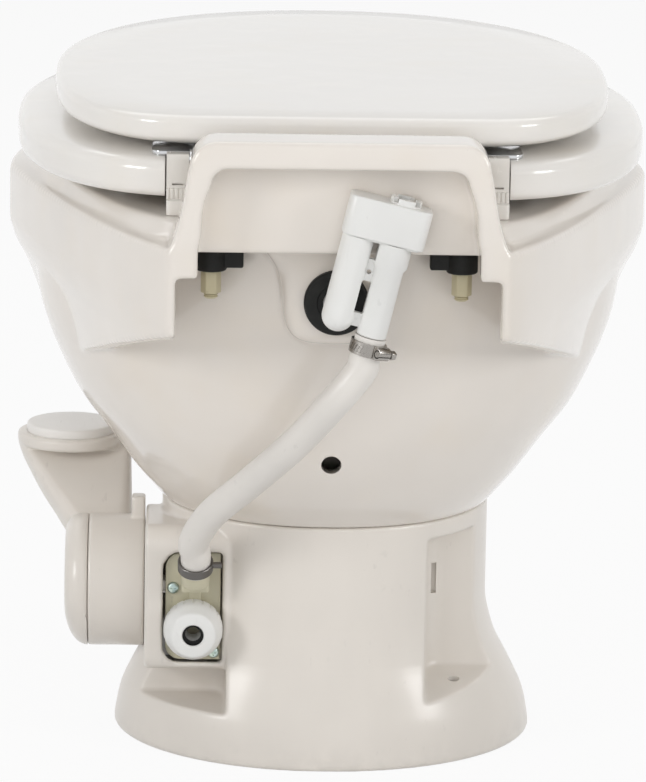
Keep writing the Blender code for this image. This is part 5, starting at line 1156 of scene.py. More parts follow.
    def build(self) -> None:
        """Build and dress the bowl."""
        floor = DATUM.base_top + GAP
        under = DATUM.deck_under - OVERRUN
        hollow = self.body_rings(self.shell_wall, floor, DATUM.deck_under - 2 * OVERRUN)
        hollow[0] = [Vector((point.x, point.y, floor - OVERRUN)) for point in hollow[0]]
        shell = [ring for ring in self.basin_rings(self.basin_wall, floor) if ring[0].z < under]
        shell = self.closed_at(shell, floor, under)
        inlet = (0, DATUM.breaker_z)
        duct = Form.rod(self.duct_radius, "Y", inlet, DATUM.basin_rear - self.basin_wall,
                        DATUM.body_rear - self.shell_wall / 2)
        bowl = Form.skin(self.body_rings(0, floor, self.height(self.body_levels[-1]))) - Form.skin(hollow)
        bowl = bowl.joined(self.apron(), self.ledge(), self.boss(), Form.skin(shell), duct)
        gap = Form.block((-self.skirt_gap, DATUM.body_rear + 2 * self.apron_wall, DATUM.base_top),
                         (self.skirt_gap, DATUM.rear + OVERRUN, DATUM.deck_under - self.ledge_wall))
        basin = Form.skin(self.basin_rings(0, DATUM.base_top - OVERRUN))
        bowl = bowl.without(basin, self.bay(), gap).melted(self.voxel, self.melt_passes, self.kept_share)
        neck_rear = DATUM.outlet_y + DATUM.neck_half_depth
        cutters = [Form.rod(self.inlet_radius, "Y", inlet, DATUM.outlet_y, DATUM.rear),
                   Form.rod(self.weep_radius, "Y", (0, self.weep_z), neck_rear, DATUM.rear, 32)]
        cutters += [Form.rod(DATUM.bolt_bore, "Z", DATUM.bolt_place(side), under,
                             DATUM.crown + OVERRUN, 24) for side in Side]
        bowl.without(*cutters).piece("china_bowl", Finishes.china, "stand", "vitreous_china", "bowl",
                                     angle=75)


# Pedestal


@dataclass
class Pedestal:
    """The moulded pedestal with its flared foot, pockets and valve housing."""

    deck: float = 0.008
    wall: float = 0.004
    foot_half_width: float = 0.124
    foot_half_depth: float = 0.109
    pocket_inner: float = 0.058
    pocket_back: float = 0.040
    right_floor: float = 0.052
    left_floor: float = 0.029
    headroom: float = 0.011
    pocket_corner: float = 0.012
    chamber_radius: float = 0.065
    chamber_floor: float = 0.012
    drain_radius: float = 0.045
    housing_inner: float = 0.0575
    housing_outer: float = 0.1060
    housing_rear: float = 0.106
    drum_radius: float = 0.045
    housing_top: float = 0.1365
    housing_bottom: float = 0.051
    housing_corner: float = 0.013
    housing_foot: float = 0.009
    housing_wall: float = 0.0035
    mouth_low: Pair = (0.0605, 0.0560)
    mouth_high: Pair = (0.0950, 0.1225)
    mouth_corner: float = 0.010
    ramp_rear: float = 0.160
    ramp_low: float = 0.0262
    ramp_high: float = 0.0470
    seal_depth: float = 0.0045
    seal_radius: float = 0.044
    deck_opening: float = 0.0385
    groove_radius: float = 0.0593
    groove_height: float = 0.0063
    shaft_bore: float = 0.0111
    idle_bore: float = 0.0053
    flange_bore: float = 0.0035
    flange_bolt: Pair = (-0.076, 0.086)
    flat: float = 0.02
    quarter_steps: int = 64
    voxel: float = 0.0015
    melt_passes: int = 4
    kept_share: float = 0.28

    foot_levels = (0, 0.014, 0.085, 0.140, 0.185, 0.225, 0.30, 0.42, 0.60, 1.0)
    foot_spreads = (0.93, 1.0, 0.95, 0.89, 0.81, 0.71, 0.515, 0.20, 0.0, 0)
    screw_bosses = (((0.08556, 0.0837, 0.09676), (0.10425, 0.0977, 0.10424)),
                    ((0.05925, 0.0837, 0.05826), (0.06924, 0.0977, 0.06574)))
    slot_corners = ((-0.0652, -0.0016, 0.0905), (-0.0605, 0.003, 0.1090))

    def rings(self, inset: float, low: float, high: float) -> list[Ring]:
        """Rings of the pedestal's surface.

        Args:
            inset: How far they are drawn in.
            low: Height of the first ring.
            high: Height of the last ring.

        Returns:
            The rings, lowest first.
        """
        spreads = Table(self.foot_levels, self.foot_spreads)
        shares = sampled(0, 0.014, 4) + sampled(0.03, 0.30, 24) + sampled(0.33, 1.0, 18)
        rings = []
        for share in shares:
            spread = spreads.at(share)
            half = mix(DATUM.neck_half_width, self.foot_half_width, spread) - inset
            deep = mix(DATUM.neck_half_depth, self.foot_half_depth, spread) - inset
            outline = egg(half, DATUM.outlet_y - deep, DATUM.outlet_y + deep, DATUM.outlet_y,
                          self.flat * half, 2, 2, self.quarter_steps)
            rings.append(level(outline, DATUM.base_top * share))
        return ChinaBowl.closed_at([ring for ring in rings if low <= ring[0].z <= high], low, high)

    def housing_outline(self, inset: float) -> Outline:
        """Side outline of the valve housing: a drum in front, a box behind.

        Args:
            inset: How far it is drawn in.

        Returns:
            The outline.
        """
        corner = self.housing_corner - inset
        foot = self.housing_foot - inset
        rear = self.housing_rear - inset
        drum = self.drum_radius - inset
        outline = arc((DATUM.outlet_y, DATUM.ball_z), drum, pi / 2, 3 * pi / 2, 40)
        outline += arc((rear - foot, self.housing_bottom + inset + foot), foot, -pi / 2, 0, 8)
        outline += arc((rear - corner, self.housing_top - inset - corner), corner, 0, pi / 2, 8)
        return outline

    def pocket(self, side: Side, floor: float, grow: float) -> Form:
        """Cutter for the fastening pocket at one rear corner.

        Args:
            side: Which corner.
            floor: Height of the pocket's floor.
            grow: How far the cutter stands out from the pocket.

        Returns:
            The cutter.
        """
        overrun = OVERRUN
        inner = self.pocket_inner - grow
        back = self.pocket_back + DATUM.outlet_y - grow
        far = (self.foot_half_width + overrun, DATUM.outlet_y + self.foot_half_depth + overrun)
        outline = rounded_outline((inner, back), far, (self.pocket_corner, 0, 0, 0))
        outline = [(side.value * x, y) for x, y in outline]
        return Form.prism(outline, "Z", floor - grow, DATUM.base_top - self.headroom + grow)

    def ramp(self) -> Form:
        """Cutter that lets the right pocket's floor fall toward the foot's rim."""
        back = self.pocket_back + DATUM.outlet_y
        outline = [(0, 0), (self.ramp_rear, 0), (self.ramp_rear, self.ramp_low), (back, self.ramp_high),
                   (0, self.ramp_high)]
        keep = Form.prism(outline, "X", -self.foot_half_width - 2 * OVERRUN, -self.pocket_inner + OVERRUN)
        return self.pocket(Side.RIGHT, self.left_floor / 2, 0) - keep

    def dry_space(self) -> Form:
        """Cutter for the hollow between the outer wall and the flush chamber."""
        rings = self.rings(self.wall, 0, DATUM.base_top - self.deck)
        rings[0] = [Vector((point.x, point.y, -OVERRUN)) for point in rings[0]]
        back = self.pocket_back + DATUM.outlet_y - self.wall
        pillar = Form.block((-self.foot_half_width, back, -2 * OVERRUN),
                            (-self.pocket_inner + self.wall, self.foot_half_depth + DATUM.outlet_y,
                             self.right_floor))
        return Form.skin(rings).without(self.pocket(Side.LEFT, self.left_floor, self.wall), pillar,
                                        self.pocket(Side.RIGHT, self.right_floor, self.wall))

    def chamber_cutters(self) -> list[Form]:
        """Cutters for the flush chamber, the deck's opening and the seal's groove."""
        over = OVERRUN
        centre = Vector((0, DATUM.outlet_y, 0))
        top = DATUM.base_top - self.deck
        seat = DATUM.base_top - self.seal_depth
        room = [(0, -over), (self.drain_radius, -over), (self.drain_radius, self.chamber_floor),
                (self.chamber_radius, self.chamber_floor), (self.chamber_radius, top), (0, top)]
        deck = [(0, top - over), (self.deck_opening, top - over), (self.deck_opening, seat),
                (self.seal_radius, seat), (self.seal_radius, DATUM.base_top + over),
                (0, DATUM.base_top + over)]
        groove = [(0, -over), (self.groove_radius, -over), (self.groove_radius, self.groove_height),
                  (0, self.groove_height)]
        return [Form.turned(profile, centre, (0, 0, 1), 96) for profile in (room, deck, groove)]

    def build(self) -> None:
        """Build and dress the pedestal."""
        y, over = DATUM.outlet_y, OVERRUN
        axis = (y, DATUM.ball_z)
        base = Form.skin(self.rings(0, 0, DATUM.base_top))
        base = base.without(self.pocket(Side.LEFT, self.left_floor, 0),
                            self.pocket(Side.RIGHT, self.right_floor, 0))
        base += Form.prism(self.housing_outline(0), "X", self.housing_inner, self.housing_outer)
        room = Form.prism(self.housing_outline(self.housing_wall), "X",
                          self.housing_inner + self.housing_wall, self.housing_outer - self.housing_wall)
        base = base.without(self.dry_space(), room)
        base += Form.rod(self.chamber_radius + self.wall, "Z", (0, y), 0, DATUM.base_top - self.deck / 2, 96)
        bosses = [Form.block(*corners) for corners in self.screw_bosses]
        base = base.without(*self.chamber_cutters()).joined(*bosses)
        corner = self.mouth_corner
        outline = rounded_outline(self.mouth_low, self.mouth_high, (0, corner, corner, 0))
        mouth = Form.prism(outline, "Y", self.housing_rear - self.housing_wall - over / 2,
                           self.housing_rear + over)
        base = base.without(mouth, self.ramp()).melted(self.voxel, self.melt_passes, self.kept_share)
        shaft = Form.rod(self.shaft_bore, "X", axis, self.chamber_radius - over, self.housing_outer + over)
        idle = Form.rod(self.idle_bore, "X", axis, -self.chamber_radius - self.wall - over,
                        -self.chamber_radius + over)
        bolt = Form.rod(self.flange_bore, "Z", self.flange_bolt, -over, DATUM.base_top / 2, 24)
        slot = Form.block(*((x, self.pocket_back + y + out, z) for x, out, z in self.slot_corners))
        base = base.without(shaft, idle, bolt, slot)
        base.piece("pedestal_shell", Finishes.shell, "stand", "shell_plastic", "base_pedestal", angle=60)


# Seat and lid


@dataclass
class SeatSet:
    """The seat ring and the lid, with their rubber bumpers."""

    seat_half_width: float = 0.184
    seat_rear: float = 0.1865
    seat_round: float = 0.006
    hole_half_width: float = 0.104
    hole_front: float = 0.172
    hole_rear: float = 0.108
    lid_half_width: float = 0.162
    lid_front: float = 0.237
    lid_rear: float = 0.182
    seat_low: float = 0.3465
    lid_round: float = 0.008
    lid_crown: float = 0.0008
    notch_inner: float = 0.06035
    notch_outer: float = 0.0960
    notch_front: float = 0.014
    wide_y: float = -DATUM.front * 0.08
    lid_wide_y: float = -DATUM.front * 0.06
    seat_flat: float = 0.38
    hole_flat: float = 0.12
    lid_flat: float = 0.43
    seat_powers: Pair = (2.15, 2.4)
    hole_powers: Pair = (2.1, 2.2)
    lid_powers: Pair = (2.15, 2.6)
    edge: float = 0.0008
    quarter_steps: int = 48

    def seat_plan(self, inset: float) -> Outline:
        """Plan of the seat's outside."""
        return egg(self.seat_half_width - inset, -DATUM.front + inset, self.seat_rear - inset, self.wide_y,
                   self.seat_half_width * self.seat_flat - inset / 2, *self.seat_powers, self.quarter_steps)

    def hole_plan(self, grow: float) -> Outline:
        """Plan of the seat's opening."""
        return egg(self.hole_half_width + grow, -self.hole_front - grow, self.hole_rear + grow, self.wide_y,
                   self.hole_half_width * self.hole_flat, *self.hole_powers, self.quarter_steps)

    def lid_plan(self, inset: float) -> Outline:
        """Plan of the lid."""
        return egg(self.lid_half_width - inset, -self.lid_front + inset, self.lid_rear - inset,
                   self.lid_wide_y, self.lid_half_width * self.lid_flat - inset / 2, *self.lid_powers,
                   self.quarter_steps)

    def build_seat(self) -> None:
        """Build and dress the seat ring."""
        outer = Table((0, 0.12, 0.28, 0.68, 0.88, 1.0), (0.55, 0.12, 0, 0, 0.30, 1.0))
        inner = Table((0, 0.2, 0.75, 0.92, 1.0), (0.55, 0, 0, 0.35, 1.0))
        shares = sampled(0, 1, 18)
        rings = [level(self.seat_plan(self.seat_round * outer.at(share)),
                       mix(self.seat_low, DATUM.seat_top, share)) for share in shares]
        rings += [level(self.hole_plan(self.seat_round * inner.at(share)),
                        mix(self.seat_low, DATUM.seat_top, share)) for share in reversed(shares)]
        seat = Form.skin(rings, wrap=True)
        for side in Side:
            xs = sorted((side.value * self.notch_inner, side.value * self.notch_outer))
            seat -= Form.block((xs[0], DATUM.hinge_y - self.notch_front, self.seat_low - OVERRUN),
                               (xs[1], self.seat_rear + OVERRUN, DATUM.seat_top + OVERRUN))
        seat.bevelled(self.edge, 2, 40).piece("enamel_seat", Finishes.enamel, "seat_ring", "enamel", "seat",
                                              angle=30)

    def build_lid(self) -> None:
        """Build and dress the lid."""
        table = Table((0, 0.10, 0.25, 0.45, 0.76, 0.92, 1.0), (1.0, 0.45, 0.08, 0, 0.03, 0.20, 0.60))
        rings = [level(self.lid_plan(6 * self.lid_round), DATUM.lid_low)]
        rings += [level(self.lid_plan(self.lid_round * table.at(share)),
                        mix(DATUM.lid_low, DATUM.lid_top, share)) for share in sampled(0, 1, 20)]
        for share in sampled(0.2, 1, 8):
            inset = mix(self.lid_round, self.lid_half_width * 0.75, share)
            rise = self.lid_crown * sin(share * pi / 2)
            rings.append(level(self.lid_plan(inset), DATUM.lid_top + rise))
        Form.skin(rings).piece("enamel_lid", Finishes.enamel, "lid_plate", "enamel", "lid", angle=50)

    def build(self) -> None:
        """Build and dress the seat and the lid."""
        self.build_seat()
        self.build_lid()


# Hinges


@dataclass
class Hinge:
    """One seat hinge: its post, its two leaves, and the bolt that holds it."""

    side: Side
    inner: float = 0.06285
    leaf_width: float = 0.0095
    leaf_thick: float = 0.0022
    leaf_reach: float = 0.040
    leaf_corner: float = 0.003
    leaf_edge: float = 0.0005
    knuckle: float = 0.006
    pin: float = 0.0025
    plate_outer: float = 0.1035
    plate_gap: float = 0.0065
    plate_corner: float = 0.006
    post_width: float = 0.0124
    post_top: float = 0.3707
    post_edge: float = 0.0008
    foot_height: float = 0.008
    foot_front: float = 0.013
    foot_rear: float = 0.016
    skirt_reach: float = 0.0022
    skirt_top: float = 0.3520
    flute_top: float = 0.3540
    flute_radius: float = 0.0009
    flute_start: float = 0.0024
    flute_pitch: float = 0.0025
    flute_reach: float = 0.0026
    slit_half: float = 0.0031
    slit_depth: float = 0.0030
    slit_levels: Pair = (0.3536, 0.3546)
    thread_pitch: float = 0.00125
    thread_radii: Pair = (0.0034, 0.0040)
    plain_length: float = 0.012
    point: float = 0.0030
    slot_half: float = 0.0007
    slot_floor: float = 0.0022
    head_half: float = 0.008
    bushing_radius: float = 0.0088
    bushing_height: float = 0.0150
    bushing_edge: float = 0.0012
    tab_length: float = 0.0180
    tab_width: float = 0.0090
    tab_thick: float = 0.0132
    nut_radius: float = 0.0058
    nut_height: float = 0.0126
    small_edge: float = 0.0006

    leaf_recess = ((0, 0), (0.0024, 0), (0.0036, 0.002), (0, 0.002))
    head_steps = ((0.0040, 0), (0.0070, 0), (0.0070, 0.0016), (0.0064, 0.0032), (0.0052, 0.0040), (0, 0.0040))

    @property
    def bolt_place(self) -> Pair:
        """Where the bolt stands in plan."""
        return DATUM.bolt_place(self.side)

    @property
    def nut_top(self) -> float:
        """Height of the nut's upper face."""
        return DATUM.deck_under - 2 * GAP - self.bushing_height

    def axis(self, x: float) -> Vector:
        """A point on the hinge axis."""
        return Vector((x, DATUM.hinge_y, DATUM.hinge_z))

    def span(self, inner: float, outer: float) -> list[float]:
        """X of two places on this hinge's side, the lower one first."""
        return sorted((self.side.value * inner, self.side.value * outer))

    def pin_bore(self, xs: Sequence[float]) -> Form:
        """Cutter for the pin's bore through what stands between two places."""
        return Form.bar(self.pin + GAP, self.axis(xs[0] - OVERRUN), self.axis(xs[1] + OVERRUN), 32)

    def bolt_bore(self, low: float, high: float) -> Form:
        """Cutter for the bolt's bore between two levels."""
        return Form.rod(DATUM.bolt_bore, "Z", self.bolt_place, low - OVERRUN, high, 32)

    def leaf(self, start: float, low: float, plate: bool) -> Form:
        """A chromed strap with its end rolled round the pin.

        Args:
            start: How far out its inner edge is.
            low: Height of its underside.
            plate: Whether it widens into the seat's plate in front of the post.

        Returns:
            The leaf.
        """
        xs = self.span(start, start + self.leaf_width)
        front = DATUM.hinge_y - self.leaf_reach
        corner = self.leaf_corner
        outline = rounded_outline((xs[0], front), (xs[1], DATUM.hinge_y), (corner, corner, 0, 0))
        strap = Form.prism(outline, "Z", low, low + self.leaf_thick)
        if plate:
            wide = rounded_outline((start, front), (self.plate_outer, DATUM.hinge_y - self.plate_gap),
                                   (corner, self.plate_corner, self.plate_corner, 0))
            wide = [(self.side.value * x, y) for x, y in wide]
            strap += Form.prism(wide, "Z", low, low + self.leaf_thick)
        strap = strap.bevelled(self.leaf_edge, 2)
        roll = Form.bar(self.knuckle, self.axis(xs[0]), self.axis(xs[1]), 48, self.small_edge)
        leaf = (strap + roll) - self.pin_bore(xs)
        for share in (0.30, 0.72):
            place = Vector(((xs[0] + xs[1]) / 2, mix(front, DATUM.hinge_y - self.knuckle, share),
                            low - OVERRUN))
            cut = place + Vector((0, 0, OVERRUN + self.leaf_thick * 0.55))
            leaf -= Form.turned(self.leaf_recess, cut, (0, 0, 1), 32)
        return leaf

    def post(self) -> Form:
        """The hinge post: a foot on the rim and an upright with the pin's bore."""
        start = self.inner + 2 * self.leaf_width + 3 * GAP
        end = start + self.post_width
        xs, foot_xs, fluted = (self.span(inner, end) for inner in (start, self.inner, start + GAP))
        foot_z = DATUM.crown + GAP
        foot_top = foot_z + self.foot_height
        rear = DATUM.hinge_y + self.knuckle
        outline = [(DATUM.hinge_y - self.knuckle, foot_z), (rear, foot_z)]
        outline += arc((DATUM.hinge_y, DATUM.hinge_z), self.knuckle, 0, pi, 20)
        upright = Form.prism(outline, "X", *xs)
        plan = rounded_outline((foot_xs[0], DATUM.hinge_y - self.foot_front),
                               (foot_xs[1], DATUM.hinge_y + self.foot_rear), (self.leaf_corner,) * 4, 5)
        foot = Form.prism(plan, "Z", foot_z, foot_top)
        skirt = Form.block((fluted[0], DATUM.hinge_y, foot_z),
                           (fluted[1], rear + self.skirt_reach, self.skirt_top))
        crown = Form.block((foot_xs[0] - OVERRUN, DATUM.hinge_y - 0.02, self.post_top),
                           (foot_xs[1] + OVERRUN, DATUM.hinge_y + 0.02, 0.380))
        bolt = self.bolt_bore(foot_z, foot_z + 2 * self.foot_height)
        post = (upright + foot + skirt).without(self.pin_bore(xs), bolt, crown)
        middle = self.side.value * (start + self.post_width / 2)
        slit = Form.block((middle - self.slit_half, rear - self.slit_depth, self.slit_levels[0]),
                          (middle + self.slit_half, rear + self.slit_depth, self.slit_levels[1]))
        flutes = [Form.rod(self.flute_radius, "Z",
                           (fluted[0] + self.flute_start + self.flute_pitch * index, rear + self.flute_reach),
                           foot_top, self.flute_top, 20) for index in range(4)]
        return post.bevelled(self.post_edge, 3, 40).without(slit, *flutes)

    def bolt(self) -> Form:
        """The nylon bolt, threaded below, with a slotted head."""
        head = DATUM.crown + GAP + self.foot_height + GAP
        low = self.nut_top - self.nut_height - self.point
        root, crest = self.thread_radii
        pitch = self.thread_pitch
        profile = [(0, low), (self.point, low)]
        for index in range(int((head - self.plain_length - low) / pitch)):
            foot = low + 0.0004 + index * pitch
            profile += [(root, foot), (crest, foot + pitch * 0.4), (crest, foot + pitch * 0.55)]
        profile += [(radius, head + rise) for radius, rise in self.head_steps]
        x, y = self.bolt_place
        bolt = Form.turned(profile, (x, y, 0), (0, 0, 1), 40)
        slot = Form.block((x - self.head_half, y - self.slot_half, head + self.slot_floor),
                          (x + self.head_half, y + self.slot_half, head + self.head_half))
        return bolt - slot

    def bushing(self) -> Form:
        """The black rubber bushing under the rim, with a tab toward the middle."""
        y = DATUM.bolt_y
        top = DATUM.deck_under - GAP
        low = top - self.bushing_height
        drum = Form.rod(self.bushing_radius, "Z", self.bolt_place, low, top, 48, self.bushing_edge)
        xs = self.span(DATUM.bolt_x - self.tab_length, DATUM.bolt_x)
        tab = Form.block((xs[0], y - self.tab_width / 2, top - self.tab_thick),
                         (xs[1], y + self.tab_width / 2, top - GAP)).bevelled(self.bushing_edge, 3)
        return (drum + tab) - self.bolt_bore(low, top + OVERRUN)

    def nut(self) -> Form:
        """The six-sided nylon nut on the bolt."""
        x, y = self.bolt_place
        low = self.nut_top - self.nut_height
        top = low + self.nut_height
        turns = [pi * index / 3 for index in range(6)]
        hexagon = [(x + self.nut_radius * cos(turn), y + self.nut_radius * sin(turn)) for turn in turns]
        nut = Form.prism(hexagon, "Z", low, top).bevelled(self.small_edge, 2)
        return nut - self.bolt_bore(low, top + OVERRUN)

    def build(self) -> None:
        """Build and dress the hinge."""
        lid_leaf = self.leaf(self.inner + GAP, DATUM.lid_low - GAP - self.leaf_thick, False)
        seat_leaf = self.leaf(self.inner + self.leaf_width + 2 * GAP, DATUM.seat_top + GAP, True)
        for form, name, finish, body, slot, node in (
                (lid_leaf, "chrome_lid_leaf", Finishes.chrome, "lid_plate", "chrome", "lid_leaf"),
                (seat_leaf, "chrome_seat_leaf", Finishes.chrome, "seat_ring", "chrome", "seat_leaf"),
                (self.post(), "moulded_post", Finishes.post, "stand", "shell_plastic", "hinge_post"),
                (self.bolt(), "nylon_bolt", Finishes.nylon, "stand", "nylon", "hinge_bolt"),
                (self.bushing(), "rubber_bushing", Finishes.rubber, "stand", "black_rubber", "bolt_bushing"),
                (self.nut(), "nylon_nut", Finishes.nylon, "stand", "nylon", "bolt_nut")):
            form.piece(f"{name}_{self.side.tag}", finish, body, slot, f"{node}_{self.side.tag}")


# Pedal


@dataclass
class PedalDrive:
    """The pedal's drum, arm and tray, the pad set in it and the hub's cover."""

    radius: float = 0.0392
    inner_x: float = 0.1066
    arm_inner: Pair = (0.1135, 0.1165)
    tab_height: float = 0.0126
    tab_width: float = 0.0080
    tab_depth: float = 0.012
    outer_x: float = 0.1400
    wall: float = 0.0035
    web: float = 0.0060
    shaft: float = 0.0083
    shaft_end: float = 0.1465
    shaft_recess: float = 0.0086
    dome: float = 0.0135
    top_edge: float = 0.010
    low_edge: float = 0.024
    cap_edge: float = 0.0006
    edge: float = 0.0008
    pad: Vector = Vector((0.1530, -0.058, 0.1625))
    pad_radius: float = 0.0270
    pad_thick: float = 0.0075
    pad_edge: float = 0.0016
    tray_radius: float = 0.0325
    tray_thick: float = 0.0075
    arm_root: float = 0.030
    arm_tip: float = 0.012
    voxel: float = 0.0011
    melt_passes: int = 4
    kept_share: float = 0.50

    arm_shares = (0.22, 0.36, 0.50, 0.64, 0.78, 0.90, 1.0)
    arm_spreads = (0, 0.30, 0.48, 0.66, 0.81, 0.93, 1.0)

    def centre(self, x: float) -> Vector:
        """A point on the pedal's axis."""
        return Vector((x, DATUM.outlet_y, DATUM.ball_z))

    def arm(self) -> Form:
        """The arm that widens and leans outward from the drum to the tray."""
        root = self.centre((self.inner_x + self.outer_x) / 2)
        tip = self.pad - Vector((0, 0, self.pad_thick + self.tray_thick / 2))
        along = Vector((0, tip.y - root.y, tip.z - root.z)).normalized()
        across = Vector((0, along.z, -along.y))
        spreads = Table(self.arm_shares, self.arm_spreads)
        root_half = (self.outer_x - self.inner_x) / 2 - GAP
        rings = []
        for share in sampled(self.arm_shares[0], 1.0, 24):
            spread = spreads.at(share)
            middle = root.lerp(tip, share)
            middle.x = mix(root.x, tip.x, spread)
            half = mix(root_half, self.tray_radius, spread)
            near = mix(*self.arm_inner, share) - middle.x
            thick = mix(self.arm_root, self.arm_tip, share) / 2
            outline = rounded_outline((near, -thick), (half, thick), (thick * 0.7,) * 4, 6)
            rings.append([middle + Vector((a, 0, 0)) + across * b for a, b in outline])
        room = Form.bar(self.radius - self.wall / 2, self.centre(self.inner_x - OVERRUN),
                        self.centre(self.outer_x + OVERRUN), 96)
        cover = Form.bar(self.radius + GAP, self.centre(self.outer_x - GAP),
                         self.centre(self.pad.x + self.tray_radius), 96)
        return Form.skin(rings).without(room, cover)

    def build_pedal(self) -> None:
        """Build and dress the pedal moulding."""
        rim, web, inner = self.radius - self.edge, self.outer_x - self.web, self.radius - self.wall
        profile = [(self.shaft, web), (inner, web), (inner, self.inner_x), (rim, self.inner_x),
                   (self.radius, self.inner_x + self.edge), (self.radius, self.outer_x - self.edge),
                   (rim, self.outer_x), (self.shaft, self.outer_x)]
        drum = Form.turned(profile, self.centre(0), (1, 0, 0), 128, wrap=True)
        low = self.pad - Vector((0, 0, self.pad_thick + self.tray_thick * 0.7))
        foot = self.tray_thick / 3
        lip = foot * 0.6
        outline = [(0, 0)] + [(self.tray_radius - foot + foot * sin(turn), foot - foot * cos(turn))
                              for turn in sampled(0, pi / 2, 6)]
        outline += arc((self.tray_radius - lip, self.tray_thick - lip), lip, 0, pi / 2, 5)
        tray = Form.turned(outline + [(0, self.tray_thick)], low, (0, 0, 1), 96)
        tab_low = Vector((self.inner_x, DATUM.outlet_y - self.tab_depth / 2,
                          DATUM.ball_z + self.radius - self.wall / 2))
        tab = Form.block(tab_low, tab_low + Vector((self.tab_width, self.tab_depth,
                                                    self.wall / 2 + self.tab_height)))
        seat = Form.bar(self.pad_radius + GAP, self.pad - Vector((0, 0, self.pad_thick + GAP)),
                        self.pad + Vector((0, 0, OVERRUN)), 96)
        pedal = drum + self.arm() + tray + tab.bevelled(self.edge, 3)
        pedal = pedal.melted(self.voxel, self.melt_passes, self.kept_share) - seat
        pedal.piece("pedal_moulding", Finishes.shell, "pedal_drive", "shell_plastic", "pedal", angle=40)

    def build_pad(self) -> None:
        """Build and dress the foot pad with its rounded edge."""
        low = self.pad - Vector((0, 0, self.pad_thick))
        profile = [(0, 0), (self.pad_radius, 0)]
        profile += arc((self.pad_radius - self.pad_edge, self.pad_thick - self.pad_edge), self.pad_edge, 0,
                       pi / 2, 6)
        profile += [(self.pad_radius * share, self.pad_thick) for share in (0.6, 0.3, 0)]
        pad = Form.turned(profile, low, (0, 0, 1), 96)
        pad.piece("foot_pad", Finishes.pad, "pedal_drive", "pad_plastic", "pedal_pad", angle=40)

    def build_cap(self) -> None:
        """Build and dress the hub's cover, rounded more toward its foot."""
        start = self.outer_x + GAP
        floor = self.shaft_end + GAP
        sides = (Vector((0, 1, 0)), Vector((0, 0, 1)))
        turns = [2 * pi * step / 96 for step in range(96)]
        rings = [[self.centre(floor)]]
        rings += [circle(self.centre(x), radius, sides, 96)
                  for radius, x in ((self.shaft_recess, floor), (self.shaft_recess, start),
                                    (self.radius - self.cap_edge, start),
                                    (self.radius, start + self.cap_edge))]
        for bend in sampled(0, pi / 2, 14):
            ring = []
            for turn in turns:
                edge = mix(self.top_edge, self.low_edge, max(-sin(turn), 0.0) ** 1.5)
                depth = min(edge, self.dome)
                radius = self.radius - edge * (1 - cos(bend))
                x = start + self.dome - depth * (1 - sin(bend))
                ring.append(self.centre(x) + radius * (cos(turn) * sides[0] + sin(turn) * sides[1]))
            rings.append(ring)
        rings.append([self.centre(start + self.dome + 0.0005)])
        Form.skin(rings).piece("hub_cover", Finishes.shell, "pedal_drive", "shell_plastic", "hub_cap",
                               angle=50)

    def build(self) -> None:
        """Build and dress everything that the foot moves."""
        self.build_pedal()
        self.build_pad()
        self.build_cap()


# Water valve


